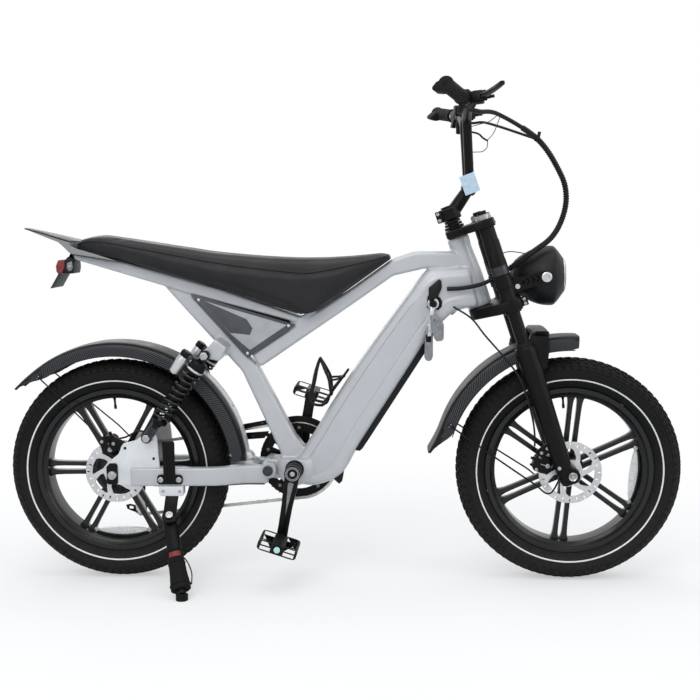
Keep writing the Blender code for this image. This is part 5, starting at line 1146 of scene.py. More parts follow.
def make_frame(looks):
    """The welded frame: its members are fused and their corners filled as weld beads are."""
    head = turned(mm((15, 0.2), (28.5, 0.2), (31, 3), (32, 14), (31.8, 50), (31.2, 85), (29, 115),
        (26.8, 142), (26.2, 160), (27.5, 166), (28, 180), (26.5, 185.4), (15, 185.4)),
        frame_at(HEAD_BASE, FORK_UP, FORK_AHEAD), 48)
    plug = turned(oblong(0, 16.5, 4, 181), frame_at(HEAD_BASE, FORK_UP), 24)
    members = [packed_copy(n) for n in ("upper_beam", "seat_rail", "strut_tube", "bb_shell")]
    gusset = plate(mm((500, 660), (520, 706), (478, 683), (455, 676), (450, 640)), -0.024, 0.024)
    foot = plate(mm((424, 325), (440, 390), (466, 370), (488, 340), (490, 300), (430, 300)),
        -0.0235, 0.0235)
    body = joined([head, plug, *members, make_housing(), gusset, foot])
    modified(body, "REMESH", mode="VOXEL", voxel_size=WELD_VOXEL, adaptivity=0.0)
    modified(body, "SMOOTH", factor=0.5, iterations=9)
    modified(body, "DECIMATE", ratio=0.45)
    painted(body, SILVER)
    parts = Parts([body])
    for side in (-1, 1):
        parts.add(side_band(side), SILVER)
        cup = mm((12.5, 50.5), (24, 50.5), (24, 53), (22.5, 54.5), (20.5, 54.8), (20, 54),
            (18.5, 54), (18, 55.2), (12.5, 55.2))
        ring = turned(cup, frame_at(CRANK_AXIS, Y * side), 40)
        parts.add(ring, BLACK)
        head = bolt(PIVOT + Y * side * 0.065, Y * side, 0.013, 0.0018, BLUE_STEEL, False, 40)
        parts.append(head)
        nut_at = SHOCK_TOP + Y * side * (SHOCK_Y + 0.0104)
        parts.append(hex_nut(nut_at, Y * side, 0.0108, 0.0062, ZINC))
    names = ("head_tube", "upper_beam", "seat_rail", "strut_tube", "bb_shell", "down_tube")
    settle(joined(parts), "frame_finish", "frame", names, 40)
    make_frame_fittings()


def make_frame_fittings():
    """The battery's edge, the cable port, the lock and the small black covers on the frame."""
    axis = Vector((0.183, 0, 0.282)).normalized()
    out = Vector((axis.z, 0, -axis.x))
    low = Vector((0.628, 0, 0.342))
    corners = []
    for along, proud in (
        (-0.004, -0.06), (-0.008, -0.006), (-0.004, 0.0035), (0.006, 0.006), (0.322, 0.006),
        (0.334, 0.0035), (0.338, -0.006), (0.334, -0.06),
    ):
        point = low + axis * along + out * proud
        corners.append((point.x, point.z))
    strip = painted(plate(corners, -0.03, 0.03, edge=0.0025), PLASTIC)
    rib = painted(bar_between(low + out * 0.0058 + axis * 0.02, low + out * 0.0058 + axis * 0.31,
        0.03, 0.003, Y, 0.001), PLASTIC)
    settle(joined([strip, rib]), "battery_finish", "frame", ("battery_pack",), 35)

    flap = plate(mm((806, 756), (832, 778), (838, 774), (839, 756), (830, 735), (812, 718),
        (806, 725)), -0.0445, -0.033, edge=0.0018)
    parts = Parts([painted(flap, PLASTIC)])
    wedge = plate(mm((850, 693), (880, 708), (886, 702), (866, 685)), -0.016, 0.016, edge=0.0015)
    parts.add(wedge, PLASTIC)
    foot = plate(mm((556, 266), (588, 290), (582, 256), (574, 248), (566, 255)), -0.02, 0.02,
        edge=0.0015)
    parts.add(foot, PLASTIC)
    settle(joined(parts), "frame_covers", "frame")


SEAT_STATIONS = [
    # x, height of the crown and half-width in mm
    (-86, 874, 44), (-74, 884, 56), (-50, 890, 64), (-20, 891, 69), (30, 884, 73.5), (75, 877, 77),
    (120, 870, 80), (160, 863, 82), (200, 857, 84), (235, 851, 85.5), (269, 846, 86.5),
    (325, 840, 87), (380, 835, 87), (440, 831, 85.5), (486, 829, 84), (540, 829, 80),
    (575, 830, 76.5), (610, 832, 73), (635, 834, 69), (660, 836, 64), (695, 840, 54),
    (712, 842.5, 44),
]
SEAT_FLOOR = [(-99, 849.5), (30, 828.5), (269, 757), (492, 687), (509, 686.5), (609, 756),
    (717, 832), (772, 846)]
SEAT_SIDE = [
    # share of the half-width, then of the height
    (0.84, 0.0), (0.89, 0.08), (0.93, 0.2), (0.965, 0.36), (0.99, 0.52), (0.995, 0.64),
    (0.985, 0.735), (0.962, 0.775), (0.972, 0.83), (0.93, 0.9), (0.84, 0.955), (0.66, 0.985),
    (0.44, 0.998), (0.22, 1.003),
]


def seat_floor(x):
    for (x0, z0), (x1, z1) in zip(SEAT_FLOOR, SEAT_FLOOR[1:]):
        if x <= x1:
            return z0 + (z1 - z0) * (x - x0) / (x1 - x0) + 4.8
    return SEAT_FLOOR[-1][1]


def seat_ring(t, grow=0.0):
    x, top, half = (between([s[k] for s in SEAT_STATIONS], t) for k in range(3))
    low = min(seat_floor(x), top - 11)
    right = [(half * y + grow, low + (top - low) * z) for y, z in SEAT_SIDE]
    left = [(-y, z) for y, z in reversed(right)]
    ring = [(x / 1000, y / 1000, z / 1000) for y, z in right + [(0, top + 2)] + left + [(0, low)]]
    return ring


def puffed(pad, steps, pressure, cap):
    """Blows the pad up a little as cloth over foam; no point moves further than the cap."""
    before = [vertex.co.copy() for vertex in pad.data.vertices]
    pick(pad)
    cloth = pad.modifiers.new("puff", "CLOTH")
    cloth.settings.use_pressure = True
    cloth.settings.uniform_pressure_force = pressure
    cloth.settings.effector_weights.gravity = 0
    cloth.settings.tension_stiffness = 12
    cloth.settings.bending_stiffness = 0.8
    for number in range(1, steps + 1):
        bpy.context.scene.frame_set(number)
    bpy.ops.object.modifier_apply(modifier="puff")
    bpy.context.scene.frame_set(1)
    for vertex, start in zip(pad.data.vertices, before):
        move = vertex.co - start
        if move.length > cap:
            vertex.co = start + move.normalized() * cap
    return pad


def make_seat(looks):
    rings = [seat_ring(i / 72, -1.5) for i in range(73)]
    pad = lofted(rings)
    modified(pad, "REMESH", mode="VOXEL", voxel_size=PAD_VOXEL, adaptivity=0.0)
    modified(pad, "SMOOTH", factor=0.5, iterations=3)
    puffed(pad, 14, 3.0, 0.0035)
    for vertex in pad.data.vertices:
        co = vertex.co
        x = co.x * 1000
        floor, side = seat_floor(x) / 1000, abs(co.y)
        share = (co.z - floor) / max(0.02, 0.85 - floor)
        if 0.04 < share < 0.8 and side > 0.035:
            fold = noise.noise(Vector((co.x * 9, share * 2.2 + co.x * 14, 3.7 + (co.y > 0))))
            weight = sin(pi * min(1, share / 0.8)) * min(1, (side - 0.035) / 0.02)
            co.y += copysign(fold * 0.0022 * weight, co.y)
    modified(pad, "SUBSURF", levels=1, render_levels=1)
    painted(pad, VINYL)
    parts = Parts([pad])
    for side in (1, -1):
        line = []
        for i in range(2, 71):
            ring = seat_ring(i / 72)
            x, y, z = ring[7]
            line.append((x, side * (y + 0.0004), z))
        parts.add(pipe(line, 0.0013, 2, 1), VINYL)
    seat = finish(parts, "seat", "frame", 60)


def make_tail(looks):
    """The pan and the winged skirt behind the seat, the hanger plate and the rear lamp."""
    rest = mm((-99, 849.7), (30, 828.7), (269, 760.7), (486, 691.7))
    pan = plate(rest + [(x, z + 0.0028) for x, z in reversed(rest)], -0.052, 0.052)
    parts = Parts([painted(pan, PLASTIC)])
    low = mm((-181.2, 900.6), (-149.5, 888.3), (-125.7, 879.5), (-112.1, 868), (-96, 852))
    fin = plate([(-0.212, 0.913)] + low + mm((-94, 878.5), (-129.2, 889), (-169, 900.5),
        (-212, 914)), -0.07, 0.07)
    parts.add(fin, "pale_weave_film")
    cap = mm((-213.5, 912.5), (-169, 900.5), (-129.2, 888.8), (-94, 878), (-94, 881.2),
        (-129.2, 892.2), (-169, 903.5), (-212.8, 915.8))
    parts.add(rounded(plate(cap, -0.0708, 0.0708), 0.0007), PLASTIC)
    for side in (-1, 1):
        skirt = mm((-96, 852), (-90.6, 849.6), (-42.6, 842.3), (10, 833), (25.1, 830), (-30, 848),
            (-78, 862), (-95, 870))
        parts.add(plate(skirt, *sorted((side * 0.066, side * 0.07)), edge=0.0006),
            "pale_weave_film")
    for piece in parts[1:]:
        for vertex in piece.data.vertices:
            share = min(1, max(0, (-0.1 - vertex.co.x) / 0.112))
            vertex.co.y *= 1 - 0.72 * share
            vertex.co.x -= 0.013 * share
    for half, top, bottom in ((0.029, (-0.1035, 0.856), (-0.1345, 0.795)),
            (0.05, (-0.133, 0.799), (-0.1555, 0.762))):
        slope = [top, (top[0] + 0.0022, top[1]), (bottom[0] + 0.0022, bottom[1]), bottom]
        parts.add(plate(slope, -half, half, edge=0.0005), PLASTIC)
    settle(joined(parts), "tail_skirt", "frame", ("seat_base",), 35)

    shell = plate(mm((-118, 836), (-112, 842), (-99, 838), (-98, 813), (-101, 798.5),
        (-129, 798.5)), -0.033, 0.033, edge=0.002)
    parts = Parts([painted(shell, PLASTIC)])
    trim = plate(mm((-115, 826), (-101.5, 830), (-100, 813), (-104, 806), (-112, 805), (-116, 814)),
        -0.0345, 0.0345, edge=0.001)
    parts.add(trim, FOB_ALLOY)
    for low_y, high_y in ((-0.0345, -0.012), (-0.0112, 0.0112), (0.012, 0.0345)):
        lens = plate(mm((-143, 803), (-144.5, 818), (-138, 833), (-120, 835), (-121.5, 816),
            (-130, 798), (-139.5, 798)), low_y, high_y, edge=0.0022, segments=3)
        parts.add(lens, "red_lens")
    for y in (-0.022, 0.022):
        parts.append(bolt(Vector((-0.108, y * 1.5682, 0.818)), Y * (1 if y > 0 else -1), 0.0036,
            0.0016, ZINC, sides=16))
    finish(parts, "tail_light", "frame")


# Swingarm, shocks and kickstand
def floor_plate(outline, low, high, edge=0.0, segments=2):
    """A piece drawn from above, in X and Y, from one height to another."""
    flat = [(x, -y) for x, y in outline]
    return plate(flat, low, high, rolled(90, "X"), edge, segments)


def side_plate(outline, side, near, far, edge=0.0):
    """A plate seen from the side, at these distances from the bicycle's middle."""
    low, high = sorted((side * near, side * far))
    return plate(outline, low, high, edge=edge)


def make_arm(side, name):
    """One arm of the swingarm with its pivot boss and its axle plate."""
    outline = mm((394, 36.2), (322, 36.2), (300, 44), (280, 56), (262, 64), (240, 65.5), (90, 65.5),
        (60, 79), (45.5, 79), (45.5, 92.5), (90, 92.5), (200, 90.5), (262, 88.5), (288, 80),
        (310, 69), (332, 60.5), (394, 59.8))
    arm = floor_plate([(x, side * y) for x, y in outline], 0.258, 0.305)
    rounded(arm, 0.0055, 4, 50)
    boss = mm((8.5, 36.2), (19.5, 36.2), (20.8, 37.5), (20.8, 58.5), (19.5, 60), (13.5, 60),
        (12.8, 59.4), (8.5, 59.4))
    parts = Parts([arm, turned(boss, frame_at(PIVOT, Y * side), 48)])
    for part in parts:
        painted(part, SILVER)
    axle_plate = side_plate(mm((-15.5, 276), (-16.5, 302), (-10, 316), (0, 329), (13, 338.5),
        (19, 347), (23, 360), (29, 368), (48, 372.5), (62, 376.5), (74, 386), (84, 392.5),
        (96, 396), (106, 395), (114, 387), (116, 374), (124, 264), (122, 260), (18, 260), (6, 265),
        (-9, 268)), side, 0.0785, 0.0865, 0.0012)
    parts.add(axle_plate, PALE_PLATE)
    for x, z in ((0.033, 0.356), (0.106, 0.329)):
        parts.append(bolt(Vector((x, side * 0.0866, z)), Y * side, 0.0036, 0.0012, BLACK, sides=14))
    slot = side_plate(mm((-16.5, 266), (-13, 262), (9, 262), (12.5, 266), (12.5, 312), (8, 317),
        (-8, 317), (-16.5, 308)), side, 0.0862, 0.089, 0.0008)
    parts.add(slot, BLACK)
    foot = SHOCK_FOOT + Y * side * (SHOCK_Y + 0.0103)
    parts.append(hex_nut(foot, Y * side, 0.0105, 0.0056, ZINC))
    stud = turned(oblong(0, 5, 80, 112), frame_at(SHOCK_FOOT, Y * side), 24)
    parts.add(stud, ZINC)
    if side < 0:
        parts += stand_bracket()
    else:
        parts.add(floor_plate(mm((60, 92.5), (60, 93.5), (250, 90), (250, 89)), 0.274, 0.289),
            SILVER)
    finish(parts, name, "swingarm")


STAND_HINGE = Vector((0.145, -0.1, 0.178))
STAND_FOOT = Vector((0.203, -0.248, 0.0136))


def stand_axis():
    down = (STAND_FOOT - STAND_HINGE).normalized()
    return down.cross(Vector((-0.99, -0.12, 0.06))).normalized()


def stand_bracket():
    """The clamp on the near arm with its bolts, the pad over it and the hinge plate below."""
    under = side_plate(mm((119, 259), (118.5, 240), (123, 233), (179, 233), (181.5, 240),
        (181.5, 259)), -1, 0.066, 0.0942, 0.0022)
    parts = Parts([painted(under, PALE_PLATE)])
    for x in (0.129, 0.172):
        parts.append(bolt(Vector((x, -0.0942, 0.2465)), -Y, 0.0042, 0.0012, ZINC, sides=16))
    pad = side_plate(mm((120, 264), (115, 270), (115, 283), (120, 289), (132, 290), (130, 372),
        (134, 376), (158, 376), (162, 372), (162, 290), (176, 289), (181, 283), (181, 270),
        (176, 264)), -1, 0.0925, 0.0972, 0.0016)
    parts.add(pad, BLACK)
    for x in (0.1395, 0.147, 0.1545):
        rib = bar_between((x, -0.0978, 0.272), (x, -0.0978, 0.37), 0.0036, 0.003, X, 0.001)
        parts.add(rib, BLACK)
    for x in (0.1245, 0.1715):
        parts.append(bolt(Vector((x, -0.0972, 0.2765)), -Y, 0.007, 0.0022, ZINC, sides=24))
    axis = stand_axis()
    outer = STAND_HINGE - axis * 0.006
    top = Vector((0.152, -0.0875, 0.24))
    down = (top - outer).normalized()
    cheek = bar_between(top, outer + down * 0.006, 0.038, 0.0085, X, 0.0016, 0.86)
    parts.add(cheek, BLACK)
    boss = oblong(6.5, 18.4, 1.6, 11.4, 0.9, 1)
    parts.add(turned(boss, frame_at(STAND_HINGE, -axis), 40), BLACK)
    return parts


def shell_patch(rings, lift):
    """A thin label: rows of points on a surface, closed by the same rows lifted off it."""
    count = min(len(ring) for ring in rings)
    rows = [ring[:count] + [point + lift for point in reversed(ring[:count])] for ring in rings]
    return lofted(rows)


def make_kickstand():
    """The leg with its eye and bright hinge pin, its rubber boot, strap and foot pad."""
    axis = stand_axis()
    world_up = BIKE.to_3x3().inverted() @ Z
    eye = oblong(6.2, 15, 1.3, 22.4, 0.8, 0.9)
    parts = Parts([painted(turned(eye, frame_at(STAND_HINGE, axis), 40), BLACK)])
    pin = mm((0, -3), (6, -3), (6, 16.2), (9.2, 16.2), (9.6, 17), (9, 18.6), (4, 19), (3.2, 17.6),
        (0, 17.6))
    parts.add(turned(pin, frame_at(STAND_HINGE, -axis), 28), ZINC)
    start = STAND_HINGE + axis * 0.0121
    foot_top = STAND_FOOT + world_up * 0.014
    along = foot_top - start
    across = (X - along.normalized() * along.normalized().x).normalized()
    thick = along.normalized().cross(across)

    def oval(share, wide, deep, count=32):
        middle = start + along * share
        return [
            middle + across * cos(TAU * i / count) * wide + thick * sin(TAU * i / count) * deep
            for i in range(count)
        ]

    leg = [oval(*each) for each in ((-0.02, 0.013, 0.008), (0.04, 0.0172, 0.0098),
        (0.16, 0.0186, 0.0104), (0.34, 0.018, 0.0106), (0.62, 0.017, 0.0106), (1.0, 0.01, 0.0096))]
    parts.add(lofted(leg), BLACK)
    boot = [oval(*each) for each in ((0.42, 0.0184, 0.0112), (0.44, 0.019, 0.0124),
        (0.5, 0.0196, 0.013), (0.6, 0.0206, 0.015), (0.72, 0.0215, 0.016), (0.84, 0.024, 0.0175),
        (0.9, 0.025, 0.018), (0.935, 0.0246, 0.0176), (0.945, 0.022, 0.0155))]
    parts.add(lofted(boot), "stand_rubber")
    for bead in ((0.44, 0.0194, 0.0128), (0.6, 0.021, 0.0154), (0.88, 0.0254, 0.0184)):
        line = oval(*bead)
        parts.add(pipe(line + line[:1], 0.0011, 2, 1), "stand_rubber")
    front = -thick if thick.y > 0 else thick
    label = [oval(share, 0.0196 + (share - 0.46) * 0.016, 0.0136 + (share - 0.46) * 0.022)
        for share in (0.465, 0.5, 0.535)]
    label = [[p for p in ring if (p - (start + along * 0.5)).dot(front) > 0.0088] for ring in label]
    parts.add(shell_patch(label, front * 0.0006), "red_enamel")
    strap_line = [start + along * 0.48 + across * 0.012, start + along * 0.6 + across * 0.026,
                  start + along * 0.76 + across * 0.032, start + along * 0.9 + across * 0.027]
    parts.add(pipe(strap_line, 0.0016, 2, 6), SLEEVE)
    disc = mm((0, 0), (13.5, 0), (14.8, 1.2), (15, 6), (14.2, 7.5), (15, 9), (15, 15), (13.5, 16.2),
        (0, 16.2))
    parts.add(turned(disc, frame_at(STAND_FOOT, world_up), 36), "stand_rubber")
    finish(parts, "kickstand", "kickstand")


def shock_place(side):
    origin = SHOCK_TOP + Y * side * SHOCK_Y
    axis = (SHOCK_FOOT - SHOCK_TOP).normalized()
    return origin, axis, frame_at(origin, axis, Y)


def make_shock(tag, side):
    """A damper with its remote can, its rod with the lower link, and its spring."""
    origin, axis, place = shock_place(side)
    beside = axis.cross(Y)
    beside = -beside if beside.x > 0 else beside
    body = "shock_" + tag
    eye = oblong(5.6, 13, -9.8, 9.8, 0.8, 1)
    parts = Parts([painted(turned(eye, frame_at(origin, Y), 40), BLACK)])
    neck = mm((0, 9), (8.5, 9), (9, 15), (15, 18), (21.5, 20), (22.6, 21.5), (22.6, 40),
        (21.6, 41.2), (0, 41.2))
    parts.add(turned(neck, place, 48), BLACK)
    collar = mm((10, 41.5), (22.2, 41.5), (23, 42.4), (23, 46.2), (22.2, 47), (10, 47))
    parts.add(turned(collar, place, 48), ALLOY)
    seat = mm((10, 47.2), (22.6, 47.2), (22.8, 51.2), (22, 52), (10, 52))
    parts.add(turned(seat, place, 48), BLACK)
    tube = [(0.0068, 0.05), (0.0125, 0.05)]
    for i in range(10):
        z = 0.056 + i * 0.0024
        tube += [(0.0125, z), (0.0118, z + 0.0006), (0.0118, z + 0.0012), (0.0125, z + 0.0018)]
    tube += mm((12.5, 149), (11.5, 150), (6.8, 150))
    parts.add(turned(tube, place, 40), BLACK)
    can_start = origin + beside * 0.04 + axis * 0.018
    can_at = frame_at(can_start, axis)
    can = mm((0, 14), (13.6, 14), (14, 15), (14, 58.5), (12.8, 61), (10.5, 61), (9.5, 64), (0, 64))
    parts.add(turned(can, can_at, 40), ALLOY)
    cap = mm((0, -2), (11.8, -2), (13.2, -0.8), (14.4, 1), (14.4, 12), (13.8, 13.8), (0, 13.8))
    parts.add(turned(cap, can_at, 40), BLACK)
    ring = mm((13, 27), (14.5, 27.2), (14.5, 28.4), (13, 28.6))
    parts.add(turned(ring, can_at, 40), ALLOY)
    bridge = bar_between(origin + axis * 0.028, can_start + axis * 0.01, 0.022, 0.02, Y, 0.004)
    parts.add(bridge, BLUE_STEEL)
    screw = bolt(origin.lerp(can_start, 0.45) + axis * 0.022 + Y * side * 0.01, Y * side, 0.004,
        0.0014, ZINC)
    parts.append(screw)
    finish(parts, body + "_body", body)

    length = (SHOCK_FOOT - SHOCK_TOP).length
    rod = oblong(0, 6, 97, 199.5)
    parts = Parts([painted(turned(rod, place, 32), "hard_chrome")])
    foot = mm((6.2, 198.5), (20.8, 198.5), (22, 199.6), (22, 205), (20, 207), (14, 210),
        (11.5, 218), (11, 225), (6.2, 225))
    parts.add(turned(foot, place, 48), BLACK)
    link = bar_between(origin + axis * 0.214, origin + axis * (length - 0.004), 0.0185, 0.023, Y,
        0.003)
    parts.add(link, BLUE_STEEL)
    eye = oblong(7.8, 13.6, -9.8, 9.8, 0.8, 0.8)
    parts.add(turned(eye, frame_at(SHOCK_FOOT + Y * side * SHOCK_Y, Y), 40), BLUE_STEEL)
    finish(parts, body + "_rod", body + "_rod")

    turns, low, high, gauge = 9, 0.0547, 0.197, 0.0035
    count = turns * 24
    beside, other = place.to_3x3() @ X, place.to_3x3() @ Y
    line = []
    for i in range(count + 1):
        angle = TAU * i / 24
        radial = beside * cos(angle) + other * sin(angle)
        line.append(origin + radial * 0.0195 + axis * (low + (high - low) * i / count))
    coil = painted(pipe(line, gauge, 3, 1), "painted_spring")
    coil.name = body + "_spring_finish"
    placed(coil, BIKE)
    pick(coil)
    bpy.ops.object.shade_smooth_by_angle(angle=radians(50))
    seats = origin + axis * 0.052, origin + axis * 0.2
    stretched(coil, body, body + "_rod", *seats, (body + "_spring",))


def make_rear_end(looks):
    make_arm(-1, "swingarm_near")
    make_arm(1, "swingarm_far")
    for name, look in (("swingarm_yoke", "silver_powder_coat"), ("motor_core", "zinc_plate")):
        refined(name, look, 0.001)
    make_shock("near", -1)
    make_shock("far", 1)
    make_kickstand()


# Fork, handlebar and lamp
def fork_place(ahead=0.0, y=0.0, up=0.0):
    """A place on the fork: its Z runs up the steering axis and its X ahead of it."""
    return frame_at(HEAD_BASE + FORK_UP * up + FORK_AHEAD * ahead + Y * y, FORK_UP, FORK_AHEAD)


def clamp_ring(ahead, y, inner, outer, low, high, look, soft=0.0012):
    ring = [(inner, low), (outer - soft, low), (outer, low + soft), (outer, high - soft),
        (outer - soft, high), (inner, high)]
    return painted(turned(ring, fork_place(ahead, y), 48), look)


def make_crowns():
    outline = both_sides(mm((-30, 26), (-20, 40), (10, 75), (32, 104), (45, 109.5), (80, 109.5),
        (94, 102), (98.5, 90), (93, 55), (80, 30), (76, 0)))
    crown = placed(floor_plate(outline, -0.027, -0.0005), fork_place())
    rounded(crown, 0.0035, 3, 45)
    parts = Parts([painted(crown, BLACK)])
    for side in (-1, 1):
        y = side * LEG_Y
        leg_at = fork_place(LEG_AHEAD, y)
        stanchion = oblong(0, 16, -240, -30)
        parts.add(turned(stanchion, leg_at, 48), BLACK)
        sleeve = mm((12, -34), (20.5, -34), (21.5, -32), (21.5, 4), (20.6, 6), (20.6, 60),
            (21.8, 64), (21.8, 100), (21, 104), (21, 150), (19.6, 154), (19.6, 185), (12, 185))
        parts.add(turned(sleeve, leg_at, 56), BLACK)
        parts.append(clamp_ring(LEG_AHEAD, y, 0.015, 0.0262, -0.03, 0.002, BLACK))
        cap = mm((0, 219), (17.8, 219), (17.8, 221.2), (12, 221.6), (11.5, 226.5), (10, 228.5),
            (0, 228.8))
        parts.add(turned(cap, leg_at, 40), BLACK)
        knurl_at = fork_place(LEG_AHEAD, y, 0.2068) @ rolled(90, "X")
        parts.add(placed(toothed(36, 0.0186, 0.0197, 0, 0.0125), knurl_at), ZINC)
        ear = placed(floor_plate(oblong(0, 18, -10, 10), -0.025, -0.003), fork_place(0.094, y))
        parts.add(rounded(ear, 0.002), BLACK)
        for up in (-0.0195, -0.0085):
            at = HEAD_BASE + FORK_UP * up + FORK_AHEAD * 0.104 + Y * (y - side * -0.0104)
            parts.append(bolt(at, Y * side, 0.0042, 0.0022, ZINC, sides=18))
        window = block((0.008, 0.0016, 0.03), fork_place(LEG_AHEAD - 0.006, y + side * 0.02, 0.109),
            0.0005)
        parts.add(window, GRIP)
        parts.append(clamp_ring(LEG_AHEAD, y, 0.02, 0.022, 0.064, 0.088, BLUE_STEEL))
        parts += lamp_arm(side)
    steerer = mm((0, -20), (14.3, -20), (14.3, 262), (12.8, 263.5), (0, 263.5))
    parts.add(turned(steerer, fork_place(), 40), BLACK)
    cap = mm((0, 262.2), (18, 262.2), (18.8, 263.2), (18.6, 266), (6, 267.5), (5.2, 265), (0, 265))
    parts.add(turned(cap, fork_place(), 40), BLACK)
    for low, high, radius in ((0.2075, 0.214, 0.025), (0.215, 0.2215, 0.0226),
            (0.2225, 0.2298, 0.0204)):
        parts.append(clamp_ring(0, 0, 0.0142, radius, low, high, BLACK, 0.0008))
    finish(parts, "fork_crown", "steering", 35)

    outline = both_sides(mm((-26, 24), (-16, 36), (12, 75), (36, 104), (48, 109), (78, 109),
        (90, 102), (94.5, 90), (86, 60), (66, 30), (56, 0)))
    top = placed(floor_plate(outline, 0.1862, 0.2058), fork_place())
    parts = Parts([painted(rounded(top, 0.0032, 3, 45), BLACK)])
    for side in (-1, 1):
        parts.append(clamp_ring(LEG_AHEAD, side * LEG_Y, 0.0165, 0.0245, 0.1855, 0.207, BLACK))
        at = HEAD_BASE + FORK_UP * 0.196 + FORK_AHEAD * 0.0945 + Y * side * 0.082
        parts.append(bolt(at, FORK_AHEAD, 0.0044, 0.0022, ZINC, sides=18))
        at = HEAD_BASE + FORK_UP * 0.2058 + FORK_AHEAD * 0.02 + Y * side * 0.05
        parts.append(bolt(at, FORK_UP, 0.0034, 0.0012, ALLOY, sides=14))
    parts.append(clamp_ring(0, 0, 0.0148, 0.025, 0.1856, 0.2068, BLACK))
    finish(parts, "top_crown", "steering", 35)


def lamp_arm(side):
    """The slotted plate that carries the lamp, with its clamp, bolts and cut-outs."""
    arm = side_plate(mm((978, 752), (1000, 747), (1022, 745), (1080, 766), (1094, 768), (1104, 774),
        (1109, 783), (1104, 793), (1094, 798.5), (1080, 796), (1030, 783), (1000, 786), (978, 790)),
        side, 0.078, 0.083)
    cutters = []
    line = (Vector((1.083, 0, 0.7835)) - Vector((1.018, 0, 0.764))).normalized()
    up = Vector((-line.z, 0, line.x))
    for share in (0.5, 0.69, 0.88):
        tip = Vector((1.018, 0, 0.764)).lerp(Vector((1.083, 0, 0.7835)), share) + line * 0.004
        shape = [tip, tip - line * 0.007 + up * 0.008, tip - line * 0.011 + up * 0.008,
            tip - line * 0.004, tip - line * 0.011 - up * 0.008, tip - line * 0.007 - up * 0.008]
        cutters.append(side_plate([(p.x, p.z) for p in shape], side, 0.07, 0.09))
    dot = Vector((1.039, 0, 0.7703))
    cutters.append(turned(oblong(0, 4.2, 70, 90), frame_at(dot, Y * side), 16))
    cut_by(arm, cutters)
    rounded(arm, 0.0006, 1, 50)
    parts = [painted(arm, BLACK), clamp_ring(LEG_AHEAD, side * LEG_Y, 0.02, 0.0232, 0.03, 0.06,
        BLACK)]
    pivot = LAMP_PIVOT + Y * side * 0.0832
    parts.append(bolt(pivot, Y * side, 0.0124, 0.003, ALLOY, sides=36))
    parts.append(bolt(Vector((1.0235, side * 0.0832, 0.76)), Y * side, 0.0062, 0.0022, ALLOY,
        sides=24))
    return parts


def make_fork_lowers():
    """The sleeves with their seals, the arch over the tyre and the axle's lugs."""
    parts = Parts()
    for side in (-1, 1):
        leg_at = fork_place(LEG_AHEAD, side * LEG_Y)
        leg = mm((0, -488), (13, -488), (16.5, -485), (20, -472), (21.2, -455), (22.5, -400),
            (24, -330), (25.2, -240), (25.8, -170), (26, -140), (26, -127), (25, -124),
            (23.2, -122.8), (23.2, -121.5), (22.2, -120.3), (16.6, -120), (16.6, -291), (0, -291))
        parts.add(turned(leg, leg_at, 64), BLACK)
        seal = mm((16.4, -120.5), (21.4, -120.5), (21.6, -118), (20, -116), (17.8, -112),
            (16.4, -111.5))
        parts.add(turned(seal, leg_at, 48), GRIP)
        screw = mm((0, -491.5), (8, -491.5), (8.6, -490), (8.6, -487.5), (0, -487.5))
        parts.add(turned(screw, leg_at, 24), ZINC)
        lug = mm((6.7, 62.8), (18, 62.8), (19, 64), (19, 103.5), (17.8, 105), (6.7, 105))
        parts.add(turned(lug, frame_at(FRONT_HUB, Y * side), 48), BLACK)
        cheek = side_plate(mm((1044, 590), (1056, 562), (1078, 553), (1098, 556), (1103, 600),
            (1102, 640), (1092, 650), (1070, 650), (1056, 640)), side, 0.0602, 0.086, 0.0035)
        parts.add(cheek, BLACK)
    arch = mm((1062, 638), (1063, 637.2), (1101, 637.2), (1102, 638), (1102, 646),
        (1098, 649.5), (1070, 650), (1063, 646))
    rings = []
    for i in range(17):
        y = -0.086 + 0.172 * i / 16
        rise = 0.0035 * cos(pi * y / 0.172)
        rings.append([(x, y, z + (rise if z > 0.645 else 0)) for x, z in arch])
    parts.add(lofted(rings), BLACK)
    finish(parts, "fork_lowers", "fork_lower")

    profile = mm((0, -111), (5, -111), (5.5, -108.5), (6.2, -108.5), (9.8, -110.8), (11, -109.5),
        (11, -105.7), (6.5, -105.7), (6.5, 105.7), (11, 105.7), (11, 109.8), (9.6, 111), (0, 111))
    settle(painted(turned(profile, across_at(FRONT_HUB), 40), ZINC), "front_axle_finish",
        "fork_lower", ("front_axle",), 35)


def make_stem():
    middle = Vector((0.908, 0, 1.003))
    parts = Parts([clamp_ring(0, 0, 0.0148, 0.0262, 0.2303, 0.262, BLACK, 0.003)])
    rear = placed(floor_plate(mm((-36, -13), (-18, -16), (-18, 16), (-36, 13)), 0.231, 0.2612),
        fork_place())
    parts.add(rounded(rear, 0.0026), BLACK)
    for up in (0.238, 0.2545):
        at = HEAD_BASE + FORK_UP * up - FORK_AHEAD * 0.03 - Y * 0.0146
        parts.append(bolt(at, -Y, 0.0046, 0.0026, ZINC))
    base = HEAD_BASE + FORK_UP * 0.247 + FORK_AHEAD * 0.006
    arm = pipe([base, base.lerp(middle, 0.5), middle - (middle - base).normalized() * 0.006],
        0.0175, 6, 4, lambda t: 1 - 0.14 * t)
    parts.add(arm, BLACK)
    ring = oblong(11.8, 19.2, -25, 25, 1.2, 1.4)
    parts.add(turned(ring, across_at(middle), 44), BLACK)
    for y in (-0.0165, 0.0165):
        for turn in (-0.9, 0.9):
            out = outward(turn)
            parts.append(bolt(middle + out * 0.0188 + Y * y, out, 0.0036, 0.0018, ZINC, sides=14))
    finish(parts, "stem", "steering")


BAR_BEND = Vector((0.896, 0.18, 1.197))
BAR_END = Vector((0.839, 0.33, 1.221))


